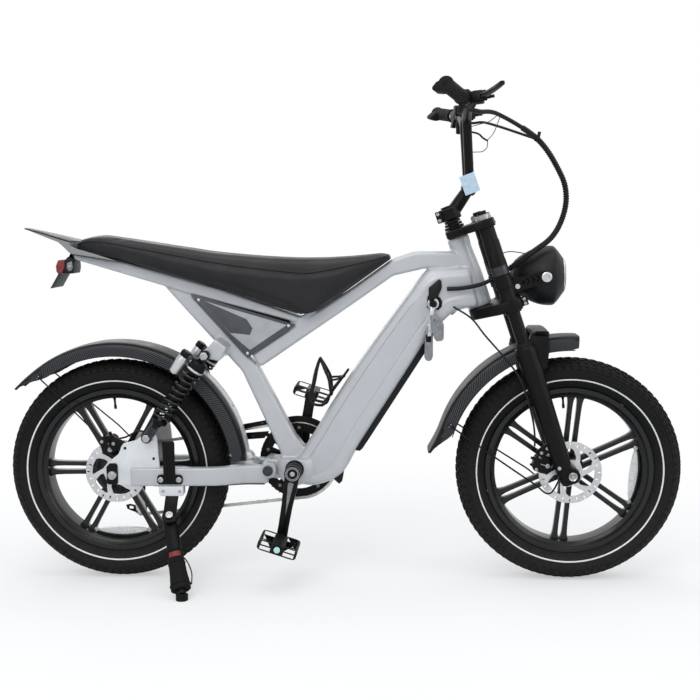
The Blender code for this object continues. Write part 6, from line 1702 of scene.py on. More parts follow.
def bar_place(part, side):
    """A place on the grip's line: its Z runs outwards and its X ahead of the bar."""
    start, end = (Vector((p.x, p.y * side, p.z)) for p in (BAR_BEND, BAR_END))
    return frame_at(start.lerp(end, part), end - start, X)


def bent(corners, radius, steps=6):
    """Points along straight runs whose corners are rounded."""
    corners = [Vector(corner) for corner in corners]
    line = [corners[0]]
    for before, corner, after in zip(corners, corners[1:], corners[2:]):
        one = corner + (before - corner).normalized() * min(radius, (before - corner).length * 0.45)
        two = corner + (after - corner).normalized() * min(radius, (after - corner).length * 0.45)
        for i in range(steps + 1):
            t = i / steps
            line.append(one * (1 - t) ** 2 + corner * 2 * t * (1 - t) + two * t * t)
    return line + [corners[-1]]


def make_handlebar():
    far = [(0.908, 0.047, 1.003), (0.899, 0.064, 1.17), BAR_BEND, BAR_END]
    near = [(x, -y, z) for x, y, z in (Vector(p) for p in reversed(far))]
    parts = Parts([painted(pipe(bent(near + far, 0.028), 0.0115, 6, 1), BLACK)])
    for side in (-1, 1):
        place = bar_place(0.19, side)
        ring = oblong(11.7, 16.6, -9, 9, 1.1, 1.2)
        parts.add(turned(ring, place, 40), BLACK)
        for flip in (-1, 1):
            cheek = block((0.044, 0.022, 0.0026), place @ moved((0.032, 0.003 * -side,
                0.0058 * flip)), 0.0009)
            parts.add(cheek, BLACK)
        tank = block((0.026, 0.03, 0.022), place @ moved((0.03, -0.004 * side, -0.014)), 0.0045, 3)
        parts.add(tank, BLACK)
        nozzle = turned(mm((0, 0), (4.8, 0), (4.8, 14), (3.8, 16), (3.8, 24), (0, 24)),
            place @ moved((0.043, -0.004 * side, -0.018)) @ rolled(90, "Y"), 20)
        parts.add(nozzle, BLACK)
        ahead = place.to_3x3() @ X
        at = place.translation - ahead * 0.0165
        parts.append(bolt(at, -ahead, 0.0034, 0.0014, ZINC, sides=14))
        pod = block((0.024, 0.026, 0.02), place @ moved((-0.008, 0.018 * -side, -0.036)), 0.004, 3)
        pod_ring = turned(oblong(11.7, 16.8, -44, -28, 0.6, 1), place, 32)
        for part in (pod, pod_ring):
            part.name = "control_pod"
            parts.add(part, BLACK)
    tag = plate(oblong(-19, 19, -24, 24), -0.0006, 0.0006)
    turn = rolled(-20, "Y") @ rolled(8, "X")
    parts.add(placed(tag, moved((0.906, -0.079, 1.012)) @ turn), "tag_card")
    loop = mm((903, -77, 1033), (900, -70, 1043), (905, -64, 1048), (909, -56, 1045))
    parts.add(pipe(loop, 0.0006, 1, 4), SLEEVE)
    parts.add(block((0.029, 0.02, 0.034), moved((0.8975, 0.164, 1.168)), 0.004, 3), BLACK)
    finish(parts, "handlebar", "steering")


def make_grip(name, side):
    """A rubber grip with cuffs, ribs along its palm side and a winged end."""
    length = (BAR_END - BAR_BEND).length * 0.7
    place = bar_place(0.3, side)
    profile = [(0, length), (0.0118, length), (0.0118, 0.0002), (0.0172, 0.0002), (0.0184, 0.001),
        (0.0184, 0.0044), (0.0172, 0.0058), (0.016, 0.0066)]
    steps = 16
    for i in range(steps):
        z = 0.01 + (length - 0.022) * i / steps
        width = (length - 0.022) / steps
        profile += [(0.0158, z), (0.0165, z + width * 0.18), (0.0165, z + width * 0.72),
            (0.0158, z + width * 0.9)]
    profile += [(0.016, length - 0.008), (0.018, length - 0.004), (0.0185, length),
        (0.018, length + 0.0024), (0.016, length + 0.003), (0.006, length + 0.003),
        (0.005, length + 0.0014), (0, length + 0.0014)]
    grip = turned(profile, place, 48)
    wing = floor_plate(mm((-6, 14), (-20, 13), (-31, 6), (-34.5, 0), (-30, -4), (-16, -10),
        (-6, -12.5)), length - 0.034, length + 0.002, 0.0035, 3)
    placed(wing, place @ rolled(-14 * side, "Z"))
    settle(painted(joined([grip, wing]), GRIP), name + "_finish", "steering", (name,), 40)


def make_lamp():
    """The bucket with its rim and side bosses, the mirror, the bulb holder and the ribbed lens."""
    place = frame_at(Vector((0, 0, LAMP_PIVOT.z)), X, Y)
    shell = mm((0, 1014), (18, 1014.2), (23.5, 1015), (30, 1018), (40, 1025), (48, 1034.5),
        (56, 1047), (62.5, 1059), (68, 1071.5), (71.8, 1083), (74, 1093), (74.8, 1100),
        (75.2, 1108), (75.2, 1115), (74.4, 1119.2), (71.8, 1123.2), (64, 1130.2), (56, 1136.2),
        (49, 1141.2), (46.5, 1143), (44.6, 1143.2), (44, 1142), (44, 1131), (43.8, 1129),
        (44, 1100), (30, 1075), (0, 1070))
    parts = Parts([painted(turned(shell, place, 72), PLASTIC)])
    dish = mm((8, 1076), (20, 1080), (32, 1090), (40, 1104), (43.6, 1122), (43.6, 1126),
        (42.5, 1122), (39, 1105), (31, 1091), (20, 1081.5), (8, 1077.5))
    parts.add(turned(dish, place, 64), "mirror_plating")
    bulb = mm((0, 1072), (8.5, 1072), (8.5, 1086), (6, 1090), (6, 1096), (3.5, 1100), (0, 1100.5))
    parts.add(turned(bulb, place, 32), "wheel_reflector")
    for side in (-1, 1):
        boss = mm((0, 64), (12, 64), (12, 76.5), (10.8, 77.7), (0, 77.7))
        parts.add(turned(boss, frame_at(LAMP_PIVOT, Y * side), 36), PLASTIC)
    rim = mm((42.5, 1142.5), (44.6, 1142.5), (45, 1144), (44.6, 1145.6), (43.4, 1146), (42.8, 1145))
    parts.add(turned(rim, place, 72), ALLOY)
    finish(parts, "headlight_shell", "headlight")
    lens = mm((0, 1131.8), (43.4, 1131.8), (43.2, 1142), (42.4, 1146.2), (41, 1147.4))
    for i in range(8):
        radius = 0.0395 - i * 0.0048
        lens += [(radius, 1.1476 + 0.0002 * i), (radius - 0.0008, 1.1484 + 0.0002 * i),
            (radius - 0.0024, 1.1484 + 0.0002 * i)]
    lens += [(0, 1.1498)]
    settle(painted(turned(lens, place, 72), "clear_lens"), "headlight_lens_finish", "headlight",
        ("headlight_lens",), 60)


def make_front_end(looks):
    make_crowns()
    make_fork_lowers()
    make_stem()
    make_handlebar()
    for tag, side in (("near", -1), ("far", 1)):
        make_grip("grip_" + tag, side)
        refined("brake_lever_" + tag, BLACK, 0.0014)
    for name in ("shifter", "throttle"):
        refined(name, PLASTIC, 0.0012)
    make_lamp()


# Drive
CHAIN_Y = 0.066
CHAIN_PITCH = 0.0127
CRANK_LENGTH = 0.17
GUIDE_PULLEY = Vector((0.022, 0, 0.196))
TENSION_PULLEY = Vector((0.034, 0, 0.16))


def crank_place(side):
    """Z runs along the crank arm and Y outwards from the bicycle."""
    angle = radians(10.5)
    along = Vector((-sin(angle), 0, -cos(angle))) * (1 if side < 0 else -1)
    return frame_at(CRANK_AXIS, along, (Y * side).cross(along))


def rounded_bar(length, near, far, waist):
    """The outline of an arm with a round at each end, drawn in X and Z."""
    outline = []
    for i in range(13):
        angle = radians(-20 - 140 * i / 12)
        outline.append((near * cos(angle), near * sin(angle)))
    for share, half in ((0.2, near * 0.93), (0.5, waist), (0.8, far * 0.9)):
        outline.append((-half, length * share))
    for i in range(13):
        angle = radians(160 - 140 * i / 12)
        outline.append((far * cos(angle), length + far * sin(angle)))
    for share, half in ((0.8, far * 0.9), (0.5, waist), (0.2, near * 0.93)):
        outline.append((half, length * share))
    return outline


def make_crank(side, name):
    place = crank_place(side)
    arm = plate(rounded_bar(CRANK_LENGTH, 0.019, 0.0145, 0.014), 0.092, 0.107, place)
    groove = plate(mm((-7.5, 24), (0, 112), (7.5, 24), (0, 21.5)), 0.1052, 0.12, place)
    cut_by(arm, [groove])
    parts = Parts([painted(rounded(arm, 0.0016, 2, 40), BLACK)])
    # Painted sheen: the grey alloy inlay in the groove stands in for the light that the groove's
    # faces catch.
    groove_sheen_inlay = plate(mm((-7.2, 24.5), (0, 110.5), (7.2, 24.5), (0, 22.2)), 0.1046, 0.1056, place)
    parts.add(groove_sheen_inlay, FOB_ALLOY)
    hub_profile = mm((0, 104), (8.6, 104), (8.6, 59), (20, 59), (21, 60.5), (21, 88.5), (19.8, 90),
        (21, 91.5), (21, 106.8), (19.6, 108.2), (0, 108.2))
    axle_frame = frame_at(CRANK_AXIS, Y * side)
    if side < 0:
        parts.add(turned(hub_profile, axle_frame, 56), BLACK)
        for radius in (0.014, 0.0172):
            ring = [(radius - 0.0005, 0.108), (radius + 0.0005, 0.108), (radius + 0.0005, 0.1086),
                (radius - 0.0005, 0.1086)]
            parts.add(turned(ring, axle_frame, 48), ALLOY)
    else:
        axle = mm((0, -103.5), (8.4, -103.5), (8.4, -58.2), (11.9, -58.2), (11.9, 94), (0, 94))
        parts.add(turned(axle, axle_frame, 40), ZINC)
        cap = mm((0, 106), (18, 106), (18.5, 107.2), (17, 108.4), (0, 108.4))
        parts.add(turned(cap, axle_frame, 48), BLACK)
    parts.append(bolt(CRANK_AXIS + Y * side * 0.108, Y * side, 0.0062, 0.0022, ZINC, sides=30))
    end = CRANK_AXIS + (place.to_3x3() @ Z) * CRANK_LENGTH
    for radius, low, high in ((0.0128, 0.1066, 0.1082), (0.006, 0.095, 0.2033)):
        rod = [(0, low), (radius, low), (radius, high - 0.0006), (radius - 0.0006, high), (0, high)]
        parts.add(turned(rod, frame_at(end, Y * side), 36), BLACK if radius > 0.01 else ZINC)
    ring = oblong(9.2, 10, 108, 108.6)
    parts.add(turned(ring, frame_at(end, Y * side), 40), ALLOY)
    cap = mm((0, 203.3), (7.8, 203.3), (8, 204.5), (7.6, 206.6), (6.2, 207), (0, 207))
    parts.add(turned(cap, frame_at(end, Y * side), 32), "blue_nylon")
    finish(parts, name, "crank")


def make_chainring():
    """A black toothed ring on a five-armed spider, with a guard disc at each face."""
    at = across_at(CRANK_AXIS)
    place = moved(CRANK_AXIS)
    ring = placed(toothed(52, 0.0988, 0.105, CHAIN_Y - 0.001, CHAIN_Y + 0.001), place)
    inner = oblong(0, 80, 60, 72)
    cut_by(ring, [turned(inner, at, 96)])
    parts = Parts([painted(ring, BLACK)])
    guard = mm((77.5, -2.5), (96, -2.5), (97, -1.8), (97, -0.9), (77.5, -0.9))
    parts.add(turned([(r, CHAIN_Y + y) for r, y in guard], at, 96), BLACK)
    rim = mm((80, 0.9), (94.5, 0.9), (94.5, 3.4), (103.5, 4.6), (104.5, 5.2), (104, 6), (80, 6))
    parts.add(turned([(r, CHAIN_Y + y) for r, y in rim], at, 96), BLACK)
    boss = mm((12.1, 64), (23, 64), (24, 65), (24, 77.5), (22.5, 80), (12.1, 80))
    parts.add(turned(boss, at, 56), BLACK)
    outline = mirrored(mm((18, -11), (50, -7), (74, -8.5), (86.5, -10.5)))
    arm = placed(plate(outline, CHAIN_Y + 0.0015, CHAIN_Y + 0.0062, edge=0.001), place)
    painted(arm, BLACK)
    screw = bolt(CRANK_AXIS + Vector((0.0865, CHAIN_Y - 0.0024, 0)), -Y, 0.0046, 0.0012,
        "oiled_steel", sides=18)
    lobe = turned([(0, CHAIN_Y - 0.0026), (0.007, CHAIN_Y - 0.0026), (0.007, CHAIN_Y - 0.0008),
        (0, CHAIN_Y - 0.0008)], across_at(CRANK_AXIS + X * 0.0795), 24)
    star = repeated(joined([arm, screw, painted(lobe, BLACK)]), CRANK_AXIS, 5)
    parts.append(placed_about(star, CRANK_AXIS, 0.3))
    finish(parts, "chainring", "crank", 30)


def placed_about(obj, centre, angle):
    return placed(obj, turn_about(centre, angle))


def make_pedal(name, side, body):
    """End plates with windows, toothed treads front and rear, and a barrel on the spindle."""
    place = crank_place(side)
    end = CRANK_AXIS + (place.to_3x3() @ Z) * CRANK_LENGTH
    tilt = radians(-18)
    along = X * cos(tilt) + Z * sin(tilt)
    at = frame_at(end, along.cross(Y), along)
    low, high = sorted((side * 0.113, side * 0.203))
    outline = mirrored(mm((-50, -7), (-46, -11.8), (-38, -13), (38, -13), (46, -11.8), (50, -7)))
    frame = plate(outline, low, high, at)
    wells, windows = [], []
    for flip in (-1, 1):
        deep = plate([(flip * a, b) for a, b in ((0.0435, -0.02), (0.0165, -0.02), (0.0165, 0.02),
            (0.0435, 0.02))][::flip], low + 0.004, high - 0.004, at)
        wells.append(deep)
        for start, stop in ((-0.0108, -0.0012), (0.0012, 0.0108)):
            window = [(flip * 0.0435, start), (flip * 0.0165, start), (flip * 0.0165, stop),
                (flip * 0.0435, stop)]
            windows.append(plate(window[::flip], low - 0.01, high + 0.01, at))
    cut_by(frame, wells)
    cut_by(frame, windows)
    parts = Parts([painted(rounded(frame, 0.001, 1, 50), PLASTIC)])
    barrel = [(0.0062, low), (0.0122, low), (0.0135, low + 0.002), (0.012, low + 0.02),
        (0.012, high - 0.02), (0.0135, high - 0.002), (0.0122, high), (0.0062, high)]
    parts.add(turned(barrel, frame_at(Vector((end.x, 0, end.z)), Y), 40), PLASTIC)
    tooth = block((0.003, 0.006, 0.0026), at @ moved((0.0465, low + 0.01, 0.0118)), 0.0005)
    for flip in (-1, 1):
        for up in (-1, 1):
            for i in range(6):
                shift = at @ moved((0.0465 * (flip - 1), (high - low - 0.02) * i / 5,
                    0.0118 * (up - 1))) @ at.inverted()
                parts.add(copied(tooth, shift), PLASTIC)
    removed(tooth)
    finish(parts, name, body)


def chain_line():
    """The chain's middle line: chainring, cog and both pulleys, in even steps."""
    line = []
    for centre, radius, start, end in ((CRANK_AXIS, 0.1037, -78, 99), (REAR_HUB, 0.0412, 99, 330),
            (GUIDE_PULLEY, 0.0162, 140, -20), (TENSION_PULLEY, 0.0162, 170, 285)):
        for i in range(49):
            angle = radians(start + (end - start) * i / 48)
            line.append(Vector((centre.x + radius * cos(angle), CHAIN_Y,
                centre.z + radius * sin(angle))))
    line.append(line[0])
    return line


def make_link(pitch, inner):
    """Two waisted plates, with rollers between the inner ones and pins on the outer ones."""
    outline = []
    for centre, start in ((pitch, -70), (0.0, 110)):
        for i in range(5):
            angle = radians(start + 140 * i / 4)
            outline.append((centre + 0.0041 * cos(angle), 0.0041 * sin(angle)))
    low, radius, half = (0.0012, 0.0036, 0.0013) if inner else (0.0024, 0.0017, 0.0039)
    middle, thick = low + 0.0005, 0.0005
    parts = [plate(outline, side * middle - thick, side * middle + thick) for side in (-1, 1)]
    for x in (0.0, pitch):
        barrel = [(0, -half), (radius, -half), (radius, half), (0, half)]
        parts.append(turned(barrel, across_at(X * x), 8))
    return joined(parts)


def make_chain():
    """The chain's links, shared out between the long run and the stretch at the cage."""
    line = chain_line()
    length = marks(line)[-1]
    points = evenly(line, 2 * round(length / CHAIN_PITCH / 2))[:-1]
    pitch = length / len(points)
    links = [painted(make_link(pitch, inner), NICKEL) for inner in (True, False)]
    long_run, at_cage = [], []
    for i, point in enumerate(points):
        along = points[(i + 1) % len(points)] - point
        turn = Matrix.Rotation(-atan2(along.z, along.x), 4, "Y")
        group = at_cage if point.z < 0.2125 and point.x < 0.115 else long_run
        group.append(copied(links[i % 2], moved(point) @ turn))
    removed(*links)
    near_cage = smoothed(joined(at_cage), "chain_at_cage", 35)
    stretched(near_cage, "swingarm", "derailleur", (0.0504, CHAIN_Y, 0.1822),
        (0.03, CHAIN_Y, 0.155))
    rest = smoothed(joined(long_run), "chain_finish", 35)
    stretched(rest, "frame", "swingarm", (0.4, CHAIN_Y, 0.3), (0.15, CHAIN_Y, 0.3), ("chain",))


def make_chain_guard():
    """Two black bars above and below the chain's upper run, on an arm from the bracket shell."""
    centre = CRANK_AXIS

    def arc(radius, start, end, steps=12):
        return [
            (centre.x + radius * cos(radians(start + (end - start) * i / steps)),
             centre.z + radius * sin(radians(start + (end - start) * i / steps)))
            for i in range(steps + 1)
        ]

    outline = mm((296, 375), (311.5, 378.1), (382.7, 390.6)) + arc(0.1035, 122, 58)
    outline += arc(0.12, 58, 126) + mm((381.2, 403.2), (311.1, 390.7), (296, 388))
    upper = plate(outline, *GUARD_FACES)
    lower = plate(mm((296, 345.5), (324.2, 350.1), (371.6, 353.7), (384.2, 372.7), (321.1, 368.1),
        (296, 365.5)), *GUARD_FACES)
    rear = plate(mm((296, 345.5), (303.5, 346.8), (303.5, 389.3), (296, 388)), *GUARD_FACES)
    spoke = plate(mm((454, 318), (403, 398), (417, 402), (468, 318)), 0.0581, 0.06)
    brace = plate(mm((440, 306), (445, 314), (380, 370), (374, 361)), 0.0581, 0.06)
    parts = [painted(piece, BLACK) for piece in (upper, lower, rear, spoke, brace)]
    for x, z in ((0.341, 0.3592), (0.366, 0.3945)):
        parts.append(bolt(Vector((x, 0.0588, z)), -Y, 0.0034, 0.0014, BLUE_STEEL, sides=14))
    settle(joined(parts), "chain_guard", "frame", (), 30)


def make_derailleur():
    """The hanger arm, the parallelogram's covers, and the cage with its two pulleys."""
    hanger = plate(mm((4, 286), (12, 290), (26, 286), (34, 262), (40, 232), (38, 205), (34, 190),
        (24, 185), (12, 186), (6, 200), (4, 230)), 0.0892, 0.0972, edge=0.0022)
    parts = Parts([painted(hanger, BLACK)])
    cover = plate(mm((10, 262), (24, 264), (34, 232), (30, 212), (16, 210), (10, 228)), 0.0965,
        0.0992, edge=0.001)
    parts.add(cover, PLASTIC)
    parts.append(bolt(Vector((0.015, 0.0972, 0.2755)), Y, 0.0072, 0.0016, ZINC, sides=24))
    parts.append(bolt(Vector((0.022, 0.0972, 0.197)), Y, 0.0056, 0.0014, ZINC, sides=24))
    for centre, radius, low, high in ((GUIDE_PULLEY, 0.004, 0.0786, 0.09),
            (Vector((0.015, 0, 0.2755)), 0.0069, 0.0869, 0.0895)):
        rod = [(0, low), (radius, low), (radius, high), (0, high)]
        parts.add(turned(rod, across_at(centre), 24), ZINC)
    barrel = turned(mm((0, 0), (3.5, 0), (4, 4), (4, 10), (2.8, 14), (0, 14)),
        frame_at(Vector((0.008, 0.0925, 0.222)), -X), 16)
    parts.add(barrel, ZINC)
    finish(parts, "derailleur_body", "swingarm")

    outline = mm((12, 205), (22, 209.5), (31, 208.5), (36, 200), (41, 184), (47, 164), (45, 151),
        (36, 146.2), (26, 148.5), (20, 158), (18, 172), (11, 190), (10, 198))
    parts = Parts()
    for low, colour in ((0.072, BLACK), (0.0585, NICKEL)):
        side = plate(outline, low, low + 0.0018)
        hole = plate(mm((25, 188), (31.5, 185), (35, 172), (28, 170)), low - 0.01, low + 0.01)
        cut_by(side, [hole])
        parts.add(side, colour)
    tail = plate(mm((20, 158), (26, 148.5), (5, 156), (-4, 160), (-7.5, 171), (4, 174), (19, 170)),
        0.0585, 0.0603)
    window = plate(mm((1, 161.5), (12, 160), (13, 166.5), (3, 169)), 0.05, 0.07)
    cut_by(tail, [window])
    parts.add(tail, BLACK)
    for centre in (GUIDE_PULLEY, TENSION_PULLEY):
        wheel = placed(toothed(11, 0.0085, 0.0104, CHAIN_Y - 0.0009, CHAIN_Y + 0.0009),
            moved(centre))
        parts.add(wheel, PLASTIC)
        hub = oblong(0, 4.5, 60, 73)
        parts.add(turned(hub, across_at(centre), 20), ZINC)
    parts.append(bolt(Vector((0.034, 0.0738, 0.16)), Y, 0.0045, 0.0012, ZINC))
    collar = mm((4.2, 73.6), (7.8, 73.6), (8, 74.2), (8, 88), (4.2, 88))
    parts.add(turned(collar, across_at(GUIDE_PULLEY), 32), BLACK)
    finish(parts, "derailleur_cage", "derailleur")


def make_drive(looks):
    make_crank(-1, "crank_near")
    make_crank(1, "crank_far")
    make_chainring()
    make_pedal("pedal_near", -1, "pedal_near")
    make_pedal("pedal_far", 1, "pedal_far")
    make_chain()
    make_chain_guard()
    make_derailleur()


# Brakes
def make_caliper(name, hub, angle, body, bracket):
    """Two finned halves that straddle the rotor, bolted together, on their bracket."""
    out = outward(radians(angle))
    at = frame_at(hub + out * CALIPER_REACH, out, Y)
    beside = at.to_3x3() @ Y

    def spot(reach, along, y):
        return hub + out * (CALIPER_REACH + reach) + beside * along + Y * y

    near = plate(mirrored(mm((-12, -15), (-4, -22), (26, -22), (34, -14))), 0, 0.0106,
        Matrix.Identity(4), 0.0022, 3)
    turn = Matrix((
        (out.x, 0, beside.x, 0), (0, 1, 0, 0), (out.z, 0, beside.z, 0), (0, 0, 0, 1),
    ))
    place = moved(hub + out * CALIPER_REACH) @ turn
    far = copied(near, moved((0, 0.011, 0)))
    placed(near, place @ moved((0, -0.0694, 0)))
    placed(far, place @ moved((0, -0.0532 - 0.011, 0)))
    parts = Parts([painted(near, BLACK), painted(far, BLACK)])
    bridge = block((0.014, 0.024, 0.03), frame_at(spot(0.027, 0, -0.0557), Y, out), 0.0016)
    parts.add(bridge, BLACK)
    for i in range(5):
        fin = block((0.015, 0.0016, 0.0034), frame_at(spot(0.0165, -0.013 + i * 0.0046, -0.0702), Y,
            out), 0.0004)
        parts.add(fin, PLASTIC)
    for along in (-0.0165, 0.0165):
        parts.append(bolt(spot(0.0215, along, -0.0694), -Y, 0.0042, 0.002, ZINC))
    parts.append(bolt(spot(-0.003, 0.0, -0.0694), -Y, 0.0058, 0.0012, ZINC, sides=24))
    port = turned(mm((0, 0), (5, 0), (5.2, 3), (4.4, 8), (3.6, 10), (3.6, 13), (0, 13)),
        frame_at(spot(0.029, -0.006, -0.057), out), 20)
    parts.add(port, BLACK)
    cap = turned(mm((0, 0), (3, 0), (3.4, 3), (3, 8.5), (0, 9)),
        frame_at(spot(0.03, 0.011, -0.056), out), 16)
    parts.add(cap, GRIP)
    pad = block((0.024, 0.0018, 0.026), frame_at(spot(0.004, 0, -0.06), Y, out), 0.0004)
    parts.add(pad, ZINC)
    parts += bracket()
    finish(parts, name, body)


def front_bracket():
    angle = radians(150)
    start = FRONT_HUB + outward(angle) * 0.094 - Y * 0.067
    end = HEAD_BASE + FORK_UP * -0.375 + FORK_AHEAD * LEG_AHEAD - Y * LEG_Y
    bar = bar_between(start, end, 0.008, 0.024, Y, 0.0016)
    parts = [painted(bar, BLACK)]
    for share in (0.18, 0.52):
        parts.append(bolt(start.lerp(end, share) - Y * 0.0045, -Y, 0.0042, 0.0018, ZINC))
    return parts


def rear_bracket():
    outline = mm((-10, 360), (-4, 352.5), (12, 348), (34, 339), (52, 330), (58.5, 334), (60, 345),
        (52, 354), (44, 362), (24, 373.5), (4, 384), (-6, 376))
    arm = plate(outline, -0.078, -0.07, edge=0.0018)
    foot = plate(mm((-10, 360), (10, 349), (14, 372), (4, 384)), -0.0702, -0.0662, edge=0.0008)
    parts = [painted(arm, BLACK), painted(foot, BLACK)]
    for x, z in ((0.001, 0.3655), (0.05, 0.345)):
        parts.append(bolt(Vector((x, -0.078, z)), -Y, 0.0044, 0.0018, ZINC))
    return parts


def make_brakes(looks):
    make_caliper("front_caliper", FRONT_HUB, 162, "fork_lower", front_bracket)
    make_caliper("rear_caliper", REAR_HUB, 100, "swingarm", rear_bracket)


# Bottle cage, side panels and key
def make_bottle_cage():
    """A bent-wire cage with two cross ties, on a strip bolted to the tube."""
    along = Vector((0.1, 0, 0.135)).normalized()
    out = Vector((-along.z, 0, along.x))
    foot = Vector((0.52, 0, 0.432))
    strip = bar_between(foot + along * 0.02 + out * 0.0032, foot + along * 0.14 + out * 0.0032,
        0.018, 0.006, Y, 0.0012)
    parts = Parts([painted(strip, PLASTIC)])
    for share in (0.04, 0.112):
        parts.append(bolt(foot + along * share + out * 0.0062, out, 0.0044, 0.002, ZINC))
    for side in (-1, 1):
        loops = (mm((547, 10, 466), (533.8, 26, 456.7), (514, 32, 459), (506, 34, 465),
            (502.7, 34, 482.3), (509.7, 34, 507.7), (516.7, 28, 541.5), (526.2, 10, 571.5),
            (530, 7, 570), (541.6, 26, 546.4), (551.2, 32, 524.5), (554.2, 32, 504.2),
            (555.7, 20, 485), (556, 10, 481.5)), mm((553.6, 30, 521.9), (566, 28, 522.5),
            (575.9, 22, 524), (590.5, 8, 529)), mm((557.4, 14, 493), (566.5, 18, 503.5),
            (575.8, 16, 514.3), (587, 8, 527)))
        for i, route in enumerate(loops):
            line = [Vector((x, side * y, z)) for x, y, z in route]
            parts.add(pipe(line, 0.0037 if i == 0 else 0.0029, 3, 6), PLASTIC)
    bridge = pipe(mm((527.5, -8, 571.2), (528, 0, 572.2), (527.5, 8, 571.2)), 0.004, 3, 4)
    parts.add(bridge, PLASTIC)
    finish(parts, "bottle_cage", "frame")


def make_side_panels():
    """A dark bordered panel on each side with a lighter inset and one plain darker wedge."""
    outline = mm((200.7, 744.3), (203.7, 744.4), (467.2, 664.6), (467.6, 662.2), (345.3, 580.6),
        (342.5, 581.2))
    inset = mm((236, 726.5), (446.4, 663.9), (350.6, 600.2), (303, 641.1))
    wedge = mm((235.4, 726.8), (343.8, 679.3), (358.1, 655.8), (351.4, 638.7), (300.9, 644.6))
    parts = Parts()
    for side in (-1, 1):
        panel = side_plate(outline, side, 0.0305, 0.0338, 0.0012)
        parts.add(panel, "charcoal_panel")
        parts.add(side_plate(inset, side, 0.033, 0.0344, 0.0004), "grey_panel")
        parts.add(side_plate(wedge, side, 0.0336, 0.0346, 0.0003), "charcoal_panel")
        for x, z in ((0.2215, 0.7291), (0.4506, 0.662), (0.344, 0.592)):
            parts.append(bolt(Vector((x, side * 0.0338, z)), Y * side, 0.0038, 0.0016, ALLOY, False,
                20))
    finish(parts, "side_panels", "frame")


LOCK_PLACE = Vector((0.817, -0.04, 0.716))


def make_key():
    """The lock barrel and its trim on the housing, and the key with its ring and fobs."""
    at = frame_at(LOCK_PLACE, -Y, X)
    trim = mm((-5, 29), (5, 28), (12, 18), (18, 15), (23, 6), (21.5, -8), (12, -17), (6, -12),
        (-6, -15), (-16, -9), (-15, 8), (-14, 18))
    collar = mm((5.4, -1.5), (15, -1.5), (15.2, -0.5), (14.4, 2.6), (12.6, 3.6), (11.2, 4),
        (10.6, 3), (9.8, 2.6), (9.2, 3), (8.8, 4), (5.4, 4))
    parts = Parts([painted(turned(collar, at, 56), ALLOY)])
    bezel = plate([(LOCK_PLACE.x + x, LOCK_PLACE.z + z) for x, z in trim], -0.0414, -0.0396,
        edge=0.0006)
    hole = turned(oblong(0, 14.6, -4, 6), at, 40)
    cut_by(bezel, [hole])
    parts.add(bezel, BLACK)
    settle(joined(parts), "lock_barrel", "frame", (), 40)

    stem = mm((0, 0.8), (5, 0.8), (5, 10), (8.8, 10.4), (8.8, 15), (7.8, 16.2), (7.8, 19),
        (0, 19.6))
    parts = Parts([painted(turned(stem, at, 40), BLACK)])
    low = LOCK_PLACE.y - 0.016
    blade = plate(mm((811, 712), (821.5, 711.5), (819, 690), (814.5, 664), (812, 636), (802.5, 635),
        (806, 670)), low, low + 0.0036, edge=0.0008)
    parts.add(blade, ALLOY)
    ring_at = frame_at(Vector((0.8095, low + 0.0018, 0.656)), Y, X)
    hoop = [(0.0095 + 0.0009 * cos(TAU * i / 8), 0.0009 * sin(TAU * i / 8)) for i in range(8)]
    for shift in (-0.003, 0.0048):
        parts.add(turned([(r, h + shift) for r, h in hoop], ring_at, 40), ZINC)
    card = plate(mm((808, 688.5), (818, 689.5), (830, 684), (840, 674), (843.5, 664), (843, 630),
        (840, 625), (826, 622.5), (820, 629), (812, 650)), low - 0.0058, low - 0.0008, edge=0.0016)
    slot = plate(oblong(815, 822, 680, 674), low - 0.02, low + 0.02)
    cut_by(card, [slot])
    parts.add(card, FOB_ALLOY)
    fob = plate(mm((796.5, 646), (800, 650), (813, 651), (816.5, 647), (816, 583), (812, 574),
        (805, 571.5), (798, 574.5), (794.5, 583)), low + 0.0044, low + 0.0106, edge=0.0022,
        segments=3)
    parts.add(fob, FOB_ALLOY)
    parts.add(block((0.01, 0.007, 0.004), moved((0.8055, low + 0.0075, 0.636)), 0.0008), BLACK)
    strap = plate(oblong(798.5, 812.5, 640, 620), low + 0.004, low + 0.011, edge=0.0008)
    parts.add(strap, BLACK)
    finish(parts, "key", "key")


def make_small_parts(looks):
    make_bottle_cage()
    make_side_panels()
    make_key()


# Cords
HOSE_RADIUS = 0.0024
LOOM_ROUTE = mm((902, -170, 1182), (925, -150, 1178), (975, -100, 1175), (1077, -30, 1119),
    (1135, 0, 1040), (1151, 0, 985), (1142, -10, 930), (1112, -35, 880), (1060, -56, 842),
    (1002, -56, 801), (945, -53, 768), (895, -52, 756), (852, -45.8, 753))
FRONT_HOSE_ROUTE = mm((868, -43, 708), (912, -60, 680), (944, -85, 640), (985, -116, 594),
    (1022, -118, 545), (1045, -113, 490), (1062, -98, 430), (1070, -72, 385), (1071.8, -58, 356))
REAR_HOSE_ROUTE = mm((7.8, -56, 374.6), (30, -58.5, 380), (66, -60, 396), (90, -60.5, 380),
    (94, -60.8, 330), (95, -60.8, 280), (104, -61, 254.5), (140, -62, 255), (200, -64, 255),
    (262, -66, 255), (330, -48, 255.2), (384, -48, 255.2))
FAR_LEAD_ROUTE = mm((901, 172, 1184), (925, 150, 1178), (952, 110, 1176), (988, 55, 1160),
    (1030, 5, 1140), (1076, -29, 1120))
LAMP_LEAD_ROUTE = mm((966, -78, 838), (979, -75, 840), (1004, -60, 845.4), (1025, -48, 843.6),
    (1045, -36, 839.5), (1056, -30, 833.5))
